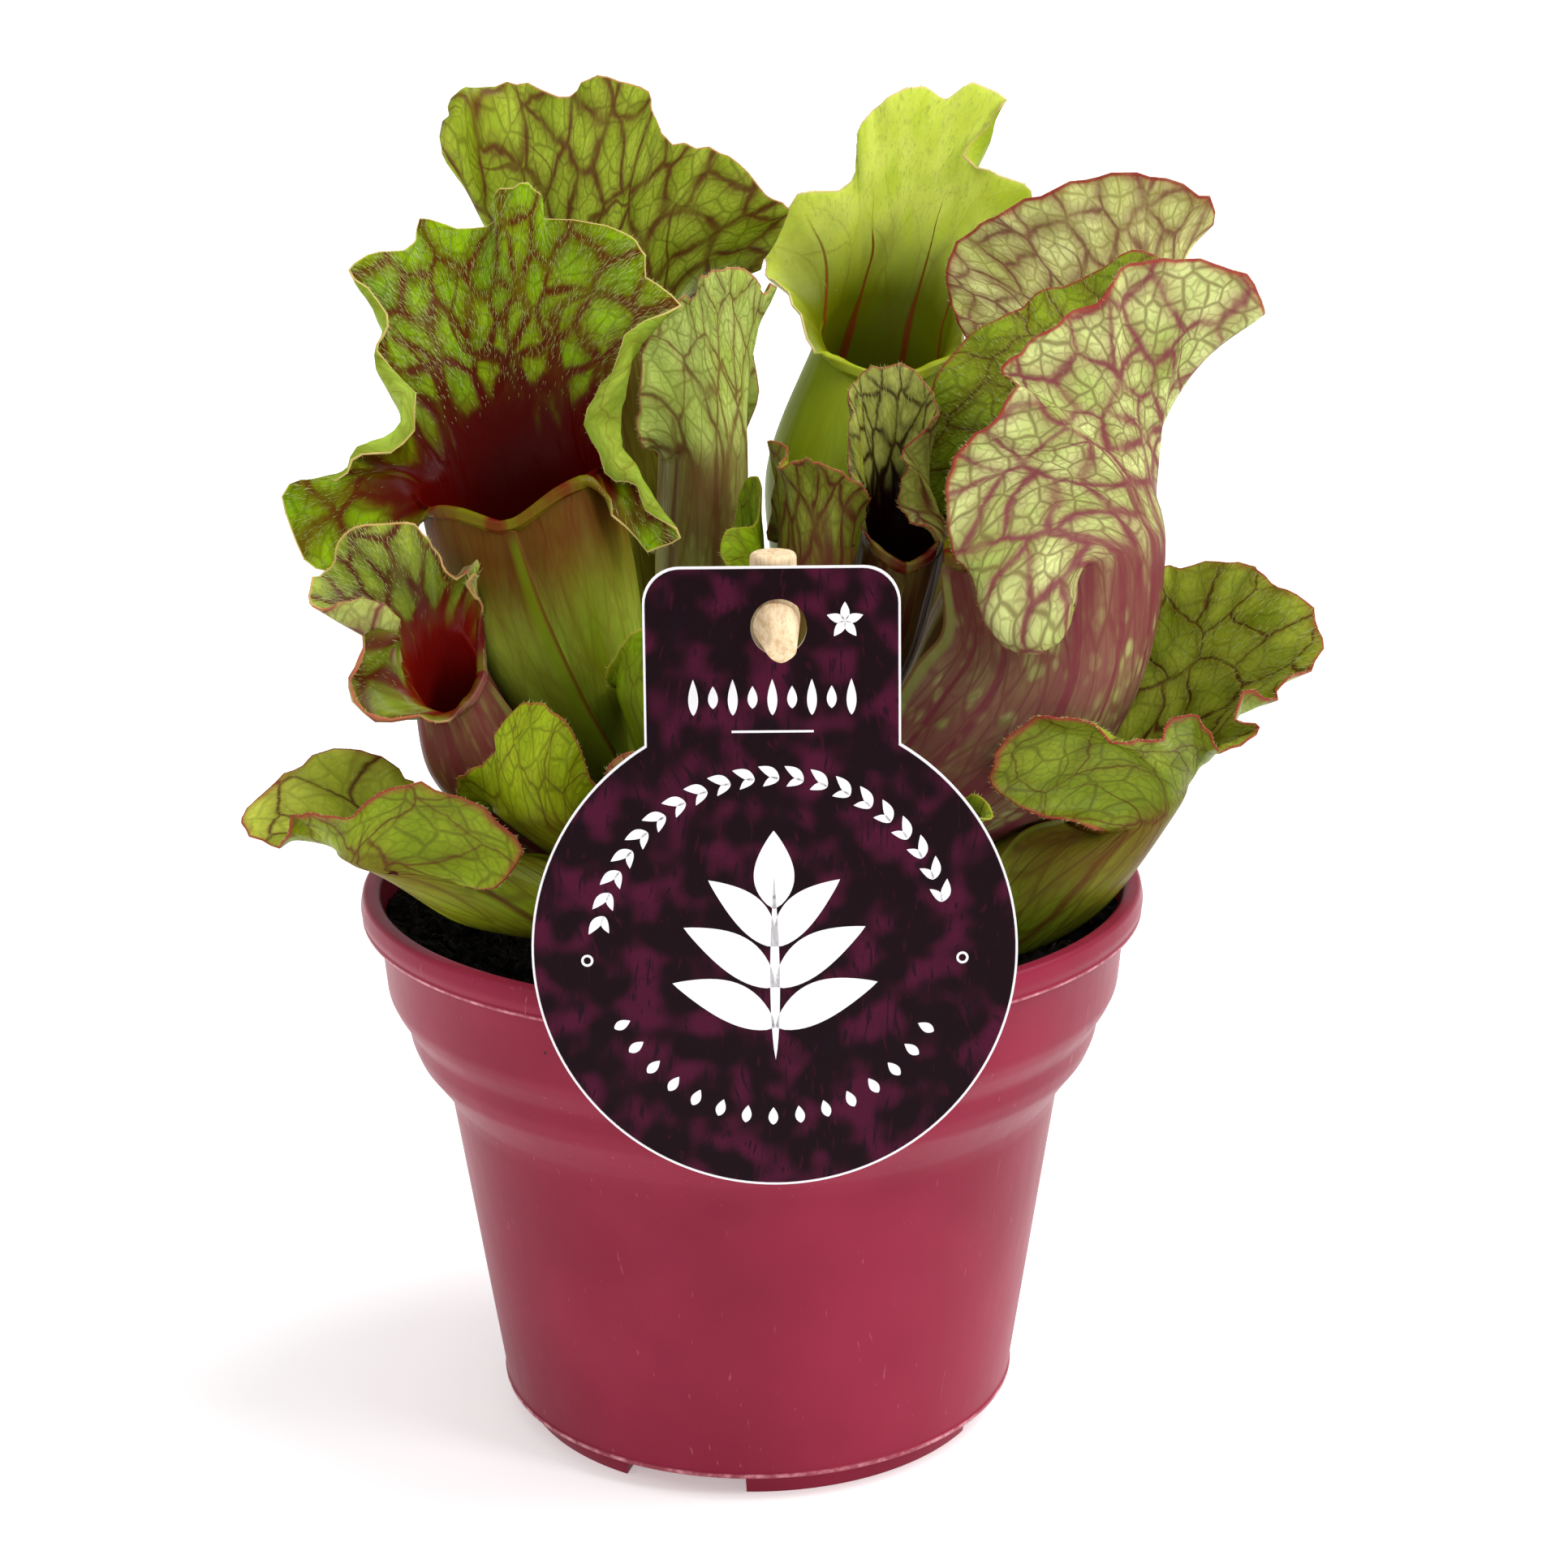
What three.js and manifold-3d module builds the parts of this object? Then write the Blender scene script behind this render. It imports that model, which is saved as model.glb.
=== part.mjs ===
// Potted pitcher plant: a nursery pot with soil, sixteen pitcher leaves of one crown, and a name card that
// hangs on the pin of a wooden stake. Millimetres, +Z up. The front of the plant looks towards -Y.
import * as THREE from "three";
import { mergeVertices } from "three/addons/utils/BufferGeometryUtils.js";
import Module from "manifold-3d";

const wasm = await Module();
wasm.setup();

// Sizes
const GAP = 0.35; // free space between neighbouring pieces
const POT_SIDES = 32;
const POT_WALL = [
  // radius and height of the pot's skin, from the middle of the base, over the rim, to the middle of the floor
  [0, 3.4], [38.6, 3.4], [40.4, 3.9], [40.5, 4.8], [47.6, 52.8], [48.1, 54.4], [50.2, 57.4], [52.3, 60.2],
  [53.3, 62.8], [53.6, 65.6], [55.5, 68.4], [56.4, 70.4], [56.6, 73.8], [57.4, 81.4], [59.6, 81.6],
  [60.0, 83.4], [59.6, 85.6], [57.0, 85.8], [55.4, 73.9], [55.2, 70.9], [54.3, 69.0], [52.4, 66.2],
  [52.1, 63.2], [51.1, 60.9], [49.0, 58.1], [46.9, 55.1], [46.4, 53.0], [39.4, 7.2], [38.2, 5.6], [0, 5.6],
];
const FOOT_RING = [[34.4, 0], [37.6, 0], [38.2, 4.1], [34.0, 4.1]];
const FOOT_SLOT_WIDTH = 19;
const FOOT_SLOT_TURN = -17; // degrees from the front to the nearest slot
const SOIL_WALL = [
  [0, 6.0], [38.0, 6.0], [46.0, 53.1], [46.5, 55.3], [48.6, 58.4], [50.7, 61.2], [51.7, 63.4], [52.0, 66.4],
  [53.9, 69.3], [54.8, 71.1], [55.1, 74.0],
];
const SOIL_TOP_RADII = [44, 30, 0];
const SOIL_TOP = 75;
const HOLE_SIDES = 8; // round each stem that stands in the soil
const HOLE_CLEARANCE = 0.6;
const HOLE_OVERRUN = 1.4; // each stretch of hole runs this far past both ends
const LOW_TUBE = 2.5; // a tube that comes nearer to the soil than this lies in a hollow
const SOIL_BUMP = 0.9;
const CROWN_RADIUS = 2.6;
const CROWN_TOP = 79;
const CARD_MIDDLE = [3.6, -60, 94.3]; // centre of the card's disc
const CARD_LEAN = 7; // degrees that the card leans back
const CARD_RADIUS = 32.4;
const CARD_NECK = 33.8; // width of the neck
const CARD_HEIGHT = 51.2; // from the disc's centre to the top of the neck
const CARD_CORNER = 4.8;
const CARD_THICKNESS = 0.8;
const STAKE_X = 3.9;
const STAKE_Y = -49.9;
const STAKE_RADIUS = 3.1;
const STAKE_BOTTOM = 64;
const STAKE_SHOULDER = 71; // below this the stake runs out to a blunt point
const STAKE_POINT = 0.9; // radius at the very bottom
const STAKE_TOP = 146.2;
const PIN_RADIUS = 3.4;
const PIN_HEIGHT = 138;
const PIN_END = -66;

// Colours
const COLOURS = {
  pot: 0xa53755, soil: 0x2c2018, crown: 0x6d5a3a, card: 0x2c1226, wood: 0xe3c79b,
  greenVeined: 0x6f8f2c, greenPale: 0x9fb45c, greenYellow: 0xa9c245, rosy: 0xa98567, deepGreen: 0x5f8a24,
  maroon: 0x5a2630,
};

// Pitcher shapes
// spine: base, two bends and mouth centre. front and side: from the mouth centre to the front of the lip and to
// the side that comes next clockwise. girth: half widths from base to mouth. margin: points along the edge of
// the hood, clockwise from the front, some with a fourth number that bows the hood outwards.
const LEAF_COMMON = {
  lipAngle: 60, lipColumns: 5, lipWidth: 2, notch: 0.5, wing: 2, wall: 0.7, depth: 1, flare: 1.5, rise: 0.35,
  lean: 0.35, blend: 0.8, smoothing: 2, tubeRows: 5, hoodRows: 6, innerFrom: 3,
};

const CROWN_AT = [0, 0.5];

const PITCHERS = [
  {
    name: "pitcher_front_left", colour: "greenVeined",
    spine: [[-7, -0.5, 71], [-18.5, -3, 97], [-29.5, -8, 121], [-34, -3, 146.5]],
    front: [0, -12, -1], side: [-14, 1, -3], girth: [2.1, 2.4, 3.9, 7.4, 12.4, 13.2, 13.5],
    lipAngle: 72, lipColumns: 7, notch: 3.5, wing: 3, depth: 0.95, hoodRows: 5, innerFrom: 4,
    margin: [
      [-49, -8, 140.5], [-56, -8, 135.5], [-63.5, -8, 135.5], [-67, -7, 141.5], [-67.5, -5, 147.5],
      [-61, -3, 148.5, 2], [-57.5, -2, 152.5, 6], [-53, 0, 154.5, 7], [-51.5, 2, 159.5, 7],
      [-55.5, 4, 165.5, 4], [-54.5, 6, 170.5, 4], [-59, 9, 177], [-54.5, 12, 179.5], [-50, 15, 180],
      [-49, 18, 183.5], [-43.5, 17, 182.5], [-38, 17, 182], [-34, 15, 188], [-28.5, 16, 183],
      [-20.5, 12, 183], [-15, 8, 180], [-14.5, 6, 176.5], [-9.5, 2, 172], [-15.5, -3, 167.5, 5],
      [-18.5, -7, 161, 8], [-20.5, -9, 157, 8], [-18.5, -11, 152, 6], [-15, -13, 149, 4],
      [-12, -15, 145, 3], [-9.5, -16, 141.5], [-14.5, -15, 139.5], [-18.5, -14, 144.5],
    ],
  },
  {
    name: "pitcher_back_left", colour: "deepGreen",
    spine: [[-7, 11, 71], [-12, 26, 98], [-22, 32, 130], [-24, 35, 161]],
    front: [0, 9, -1], side: [10, 0, 0], girth: [2.1, 2.8, 4.6, 7, 9.5, 10, 10],
    lipAngle: 55, notch: 1, hoodRows: 5, innerFrom: 4,
    margin: [
      [-11, 42, 168], [-3.5, 40, 171], [2, 35, 174.5], [5, 31, 179.5], [6.5, 28, 184], [3, 27, 186],
      [-1, 28, 191], [-5.5, 27, 193], [-11, 26, 194], [-13, 26, 196.5], [-14, 26, 199], [-14.5, 26, 201.5],
      [-19, 24, 203.5], [-23.5, 24, 204], [-26.5, 25, 201], [-31.5, 25, 202.5], [-36, 26, 203],
      [-40.5, 21, 201.5, 8], [-42, 19, 197.5, 9], [-46, 20, 193, 5], [-41.5, 26, 191.5], [-40, 30, 186],
      [-41, 36, 178.5], [-39, 41, 170.5],
    ],
  },
  {
    name: "pitcher_back_middle", colour: "greenVeined",
    spine: [[-4, 5.5, 71], [-7, 12, 92], [-8, 15, 120], [-7, 16, 147]],
    front: [-5, 5, 0], side: [4, 5, 0], girth: [2, 2.8, 4.4, 6, 7, 6.8, 6.6],
    lipAngle: 55, wing: 1.5, tubeRows: 4, hoodRows: 5,
    margin: [
      [-3, 26, 148], [1.5, 23, 154.5], [1, 20, 163.5], [1.5, 17, 169.5], [4.5, 15, 173.5], [2.5, 12, 173],
      [2, 11, 174.5], [0, 10, 176.5], [-2.5, 8, 177], [-5, 8, 176.5], [-7, 8, 175.5], [-7.5, 9, 173],
      [-10, 9, 172.5], [-14, 9, 168.5], [-16, 9, 162], [-16.5, 9, 156], [-16.5, 9, 152], [-15.5, 11, 149.5],
      [-13.5, 15.5, 149.5],
    ],
  },
  {
    name: "pitcher_back_right", colour: "greenYellow",
    spine: [[3, 10, 71], [7, 22, 95], [13, 33, 125], [21, 34, 160.5]],
    front: [0, -10, -3], side: [-10, 0, 1], girth: [2.1, 2.7, 4, 6, 10, 14, 10.5],
    wing: 5, smoothing: 1, hoodRows: 5, innerFrom: 4,
    margin: [
      [10, 26.5, 162.5], [8, 28.5, 167.5], [5, 31, 171.5], [3, 36, 173.5], [3.5, 39.5, 177], [8, 40, 185],
      [14.5, 40, 185.5], [17, 40, 188.5], [17.5, 40, 194.5], [20, 40, 198], [23.5, 40, 200.5],
      [28, 40, 201.5], [31.5, 40, 199.5], [35.5, 39, 202], [40.5, 38, 199.5], [39, 37, 195.5, 3],
      [35.5, 36, 191, 5], [39.5, 38, 188], [45, 39, 185.5], [43, 39, 179], [38.5, 38, 174.5],
      [36, 34.5, 170.5], [34.5, 31, 165.5], [33, 27.5, 161.5],
    ],
  },
  {
    name: "pitcher_far_right", colour: "greenPale",
    spine: [[10, 7.5, 71], [20, 22, 95], [40, 33, 112], [52, 35, 147]],
    front: [-8, 3, 0], side: [3, 8, 0], girth: [2.1, 2.8, 4.5, 7, 9, 9.5, 8.5],
    lipAngle: 55, hoodRows: 5, innerFrom: 4,
    margin: [
      [44.5, 44, 151], [43.5, 47, 158.5], [47, 47, 166.5], [53, 45, 174.5], [60, 41, 182.5],
      [65.5, 36, 184.5], [70.5, 31, 182.5], [67.5, 29, 186], [60.5, 28, 189.5], [52, 27, 188],
      [41, 27, 184], [35, 27, 180.5], [31, 27, 176], [31.5, 27, 169], [34.5, 27, 163.5], [39.5, 28, 157.5],
    ],
  },
  {
    name: "pitcher_front_right", colour: "rosy",
    spine: [[11.5, -2.5, 71], [14, -2, 97], [45, -4, 112], [47, -2, 135.5]],
    front: [-14, -3, 0], side: [-2, 11, 1], girth: [2.4, 4.6, 9, 14, 16, 14.5, 13.5],
    lipAngle: 84, lipColumns: 7, notch: 1, wing: 2.5, depth: 0.88, smoothing: 0, hoodRows: 5, innerFrom: 4,
    margin: [
      [33.5, 14, 134], [30, 17, 137], [26, 18, 142], [25, 18, 147.5], [26.5, 18, 152.5], [28, 18, 157.5],
      [34, 20, 165], [41, 22, 168.5], [45.5, 23, 171.5], [51.5, 23, 173.5], [59, 22, 177], [66.5, 19, 176],
      [74.5, 14, 175, -3], [77.5, 9, 170.5, -5], [73.5, 5, 176, -4], [66.5, 2, 178], [59, -1, 179], [53, -4, 176.5],
      [50.5, -6, 173], [45.5, -8, 171.5], [40.5, -10, 168], [37, -12, 165], [38.5, -13, 162.5],
      [35, -14, 157.5], [31.5, -15, 155], [29, -16, 151], [28.5, -17, 146], [29.5, -19, 140, 2],
      [32.5, -21, 136.5, 4], [33.5, -24, 132.5, 4], [36.5, -26, 128, 5], [41.5, -27, 127, 6],
      [45, -25, 128.5, 5], [47, -22, 131, 3],
    ],
  },
  {
    name: "pitcher_dark_throat", colour: "maroon",
    spine: [[6.5, 2, 71], [7, 11, 90], [20, 10, 112], [23.5, 7, 136]],
    front: [0, -6, -3], side: [-6.5, 0, 0], girth: [1.9, 2.3, 2.9, 3.6, 4.6, 6, 6.3],
    notch: 1, wing: 1, rise: 0.15, smoothing: 1, hoodRows: 5, innerFrom: 4,
    margin: [
      [17, 4, 138.5], [16, 5, 143.5], [15, 7.5, 148], [15.5, 9, 155.5], [15, 10, 158], [16.5, 11, 160],
      [18, 11, 161.5], [21, 11, 162], [24, 11, 162], [27.5, 9, 159], [28.5, 8, 156.5], [28, 7, 154.5],
      [24, 4, 150.5, 2], [24.5, 3, 148.5, 2], [23.5, 2, 145, 3], [24, 1, 141.5, 3], [26.5, 0, 140, 1],
      [28.5, 0, 137.5],
    ],
  },
  {
    name: "pitcher_slim_middle", colour: "greenVeined",
    spine: [[4, -7, 71], [2.5, -12, 86], [7, -9, 106], [10, 1, 134.5]],
    front: [1, 6, 0], side: [6, -1, 0], girth: [1.9, 2.2, 3.4, 4.8, 5.8, 6, 5.6],
    lipAngle: 55, wing: 0.8, tubeRows: 4, hoodRows: 5,
    margin: [
      [15.5, 4.5, 137], [17, 1.5, 140], [18, -1, 143], [17.5, -4, 146], [15, -6, 148], [11.5, -7, 150],
      [9, -7, 151], [6.5, -6, 150.5], [4.5, -4, 149], [6, 0, 151.5], [3, 3, 152], [4, 5, 146],
      [3.5, 6, 141], [3, 6, 136.5],
    ],
  },
  {
    name: "pitcher_thin_middle", colour: "greenYellow",
    spine: [[-1, -6, 71], [-3, -4, 90], [-3.5, 2, 105], [0, 2, 128.5]],
    front: [-2.4, -1.5, 0], side: [-1, 2.4, 0], girth: [1.5, 1.7, 2.1, 2.5, 2.8, 2.8, 2.6],
    lipColumns: 3, notch: 0.2, wing: 0.8, tubeRows: 4, hoodRows: 4, innerFrom: 2,
    margin: [
      [-3.5, 4, 133.5], [-2, 5, 139.5], [-1, 6, 144.5], [1, 5, 146.5], [2, 3, 145], [1.5, 0, 140.5],
      [0, -3, 140, 2], [-2.5, -5, 140, 2], [-3.5, -6, 137, 2], [-2, -5, 133.5],
    ],
  },
  {
    name: "pitcher_low_right", colour: "greenVeined",
    spine: [[9, -9, 71], [22, -13, 78], [40, -17, 82], [55.5, -8, 98]],
    front: [-8, -3, -1], side: [-2, 9, 1], girth: [2.1, 2.6, 4.2, 6.5, 8.6, 9.5, 9.5],
    lipAngle: 76, lipColumns: 7, wing: 1, hoodRows: 5, innerFrom: 4,
    margin: [
      [51, 4, 101], [56, 7, 109.5], [61.5, 9.5, 128.5], [66, 9, 131], [74.5, 6, 132.5], [77, 4, 131.5],
      [79.5, 1, 129.5], [83.5, -1, 128], [85.5, -5, 123], [84.5, -7, 119.5], [79.5, -10, 118.5],
      [77.5, -12, 116], [73, -14, 116.5, 2], [72, -16, 114, 2], [74.5, -18, 113], [71.5, -20, 110.5],
      [69, -20, 110.5], [66, -20, 114], [62.5, -20, 115.5], [59.5, -21, 112.5], [56, -22, 112],
      [52, -23, 112.5], [49, -24, 115.5], [42.5, -24, 117], [37.5, -24, 113], [34.5, -24, 108.5],
      [37, -24, 104], [45, -24, 101], [50.5, -21.5, 98.5],
    ],
  },
  {
    name: "pitcher_low_left", colour: "greenVeined",
    spine: [[-10, -13, 71], [-12, -29, 92], [-36, -33, 91], [-48.5, -28, 97]],
    front: [8, 2, -1], side: [1, -6.2, 0], girth: [2, 2.3, 3, 4.4, 6, 6.8, 6.8],
    lipAngle: 86, lipColumns: 7, wing: 0.8, hoodRows: 5, innerFrom: 4,
    margin: [
      [-41.5, -36, 96], [-35.5, -41, 97], [-31.5, -38, 101.5], [-37, -38, 107.5], [-41.5, -38, 110],
      [-47.5, -38, 111.5], [-53, -38, 109], [-56, -37, 106], [-59, -36, 106], [-62, -36, 107],
      [-64.5, -36, 105], [-66.5, -34, 101], [-71, -30, 101.5], [-73, -27, 103.5], [-70, -22, 106],
      [-66.5, -19, 108], [-62.5, -16, 110], [-55.5, -15, 109.5], [-50.5, -15, 106], [-47.5, -17, 102],
    ],
  },
  {
    name: "pitcher_curled_left", colour: "greenVeined",
    spine: [[-13, -4, 71], [-19, -9, 93], [-42.5, -15, 102], [-43.5, -17, 120.5]],
    front: [5.5, -1, 0.5], side: [-0.5, -4, -6], girth: [1.9, 2.4, 3.7, 5.6, 7.3, 7.3, 6.5],
    lipAngle: 62, notch: 0.3, wing: 1.5, hoodRows: 5, innerFrom: 4,
    margin: [
      [-43, -25, 116.5], [-47, -26, 117], [-52, -26, 118], [-54.5, -25, 122], [-52.5, -25, 125.5],
      [-50.5, -25, 129], [-51.5, -26, 132.5], [-54.5, -26, 133.5], [-59, -26, 133], [-62, -24, 134],
      [-62, -20, 136.5], [-59.5, -18, 138], [-58.5, -17, 141.5], [-56, -17, 143.5], [-51.5, -16, 144],
      [-47.5, -16, 143.5], [-45, -16, 140.5], [-43.5, -17, 138], [-41, -19, 137.5], [-37.5, -22, 140],
      [-38.5, -18, 136.5], [-38, -16, 132],
    ],
  },
  {
    name: "pitcher_young_left", colour: "greenYellow",
    spine: [[1, -12, 71], [1, -16, 85], [-9, -18, 96], [-15, -18, 118.5]],
    front: [3, 3, 0], side: [2, -3, 0], girth: [1.5, 1.8, 2.4, 3.2, 3.8, 4, 3.6],
    lipAngle: 55, lipColumns: 3, notch: 0.2, wing: 0.6, tubeRows: 4, hoodRows: 4, innerFrom: 2,
    margin: [
      [-10.5, -21, 121.5], [-10, -23, 126.5], [-12.5, -24, 129.5], [-16, -24, 129.5], [-18.5, -23, 126.5],
      [-20.5, -21, 122.5], [-19.5, -18, 119.5, 1], [-18, -14, 120, 1], [-15, -11.5, 120],
    ],
  },
  {
    name: "pitcher_low_middle", colour: "greenVeined",
    spine: [[-5.5, -6.5, 71], [-7.5, -11, 92], [-23, -22.5, 96], [-29.5, -26, 103]],
    front: [2, 5, 0], side: [6, -2, 0], girth: [1.8, 2, 2.4, 3, 4, 5.2, 6],
    lipAngle: 55, notch: 0.3, wing: 0.8, tubeRows: 4, hoodRows: 5,
    margin: [
      [-21, -27, 105], [-21.5, -29, 107.5], [-23, -31, 111.5], [-24, -32, 116], [-26.5, -32, 119.5],
      [-29.5, -31, 121], [-32, -30, 120.5], [-35, -29, 117], [-36, -28, 113.5], [-38, -29, 111.5],
      [-40.5, -30, 110.5], [-41.5, -28.5, 108, 1], [-41, -26.5, 105, 1.5], [-37.5, -24.5, 103, 1.5],
    ],
  },
  {
    name: "pitcher_bud_left", colour: "rosy",
    spine: [[-4.5, -12.5, 71], [-4, -22, 80], [-12, -28, 84], [-15.5, -30, 109]],
    front: [3, 2, -1], side: [0.5, -3, 0], girth: [1.4, 1.7, 2.2, 2.7, 3, 3, 2.8],
    lipColumns: 3, notch: 0.1, wing: 0.4, tubeRows: 4, hoodRows: 3, innerFrom: 2,
    margin: [
      [-14, -33, 111.5], [-15.5, -34, 114.5], [-18, -34, 114], [-20, -32, 111.5], [-20, -29, 108.5],
      [-19, -25, 109.5], [-16, -24, 110.5],
    ],
  },
  {
    name: "pitcher_bud_right", colour: "greenYellow",
    spine: [[6, -13, 71], [14, -20, 80], [22, -26, 88], [30, -30, 102]],
    front: [-3, 2, -1], side: [0.5, 3, 0], girth: [1.4, 1.7, 2.2, 2.7, 3, 3, 2.8],
    lipColumns: 3, notch: 0.1, wing: 0.4, smoothing: 1, tubeRows: 4, hoodRows: 3, innerFrom: 2,
    margin: [
      [30, -25, 103.5], [32, -26, 105.5], [33.5, -28, 105.5], [34.5, -30, 104.5], [34.5, -31.5, 103.5],
      [32, -34, 104.5], [29.5, -34, 105],
    ],
  },
];

// Small helpers
const vec = ([x, y, z]) => new THREE.Vector3(x, y, z);

function mix(a, b, share) {
  return a.clone().lerp(b, share);
}

function solid(positions, triangles) {
  const geometry = new THREE.BufferGeometry();
  geometry.setAttribute("position", new THREE.Float32BufferAttribute(positions.flatMap((p) => p.toArray()), 3));
  geometry.setIndex(triangles.flat());
  return geometry;
}

function toManifold(geometry) {
  const bare = new THREE.BufferGeometry();
  const source = geometry.index ? geometry.toNonIndexed() : geometry;
  bare.setAttribute("position", source.getAttribute("position"));
  const merged = mergeVertices(bare, 1e-4);
  return new wasm.Manifold(
    new wasm.Mesh({
      numProp: 3,
      vertProperties: merged.getAttribute("position").array,
      triVerts: new Uint32Array(merged.index.array),
    }),
  );
}

function fromManifold(body) {
  const mesh = body.getMesh();
  const geometry = new THREE.BufferGeometry();
  geometry.setAttribute("position", new THREE.Float32BufferAttribute(Array.from(mesh.vertProperties), 3));
  geometry.setIndex(Array.from(mesh.triVerts));
  return geometry;
}

// Turns a profile of [radius, height] about the Z axis. A profile that starts and ends on the axis is closed
// by its poles, any other one is closed in a ring.
function revolve(profile, sides) {
  const onAxis = profile[0][0] === 0;
  const rings = onAxis ? profile.slice(1, -1) : profile;
  const points = [];
  for (const [radius, height] of rings) {
    for (let side = 0; side < sides; side += 1) {
      const turn = (2 * Math.PI * side) / sides;
      points.push(new THREE.Vector3(radius * Math.cos(turn), radius * Math.sin(turn), height));
    }
  }
  const at = (ring, side) => (ring % rings.length) * sides + (side % sides);
  const triangles = [];
  const last = onAxis ? rings.length - 1 : rings.length;
  for (let ring = 0; ring < last; ring += 1) {
    for (let side = 0; side < sides; side += 1) {
      triangles.push([at(ring, side), at(ring, side + 1), at(ring + 1, side + 1)]);
      triangles.push([at(ring, side), at(ring + 1, side + 1), at(ring + 1, side)]);
    }
  }
  if (onAxis) {
    const bottom = points.push(new THREE.Vector3(0, 0, profile[0][1])) - 1;
    const top = points.push(new THREE.Vector3(0, 0, profile.at(-1)[1])) - 1;
    for (let side = 0; side < sides; side += 1) {
      triangles.push([at(0, side + 1), at(0, side), bottom]);
      triangles.push([at(rings.length - 1, side), at(rings.length - 1, side + 1), top]);
    }
  }
  return solid(points, triangles);
}

// A round bar between two points, with its own radius at each end.
function bar(from, to, fromRadius, toRadius, sides) {
  const axis = to.clone().sub(from).normalize();
  const across = new THREE.Vector3(1, 0, 0).projectOnPlane(axis).normalize();
  const beside = axis.clone().cross(across);
  const points = [];
  for (const [centre, radius] of [[from, fromRadius], [to, toRadius]]) {
    for (let side = 0; side < sides; side += 1) {
      const turn = (2 * Math.PI * side) / sides;
      points.push(centre.clone().addScaledVector(across, radius * Math.cos(turn))
        .addScaledVector(beside, radius * Math.sin(turn)));
    }
  }
  const bottom = points.push(from.clone()) - 1;
  const top = points.push(to.clone()) - 1;
  const triangles = [];
  for (let side = 0; side < sides; side += 1) {
    const next = (side + 1) % sides;
    triangles.push([side, next, sides + next], [side, sides + next, sides + side]);
    triangles.push([next, side, bottom], [sides + side, sides + next, top]);
  }
  return solid(points, triangles);
}

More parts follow.
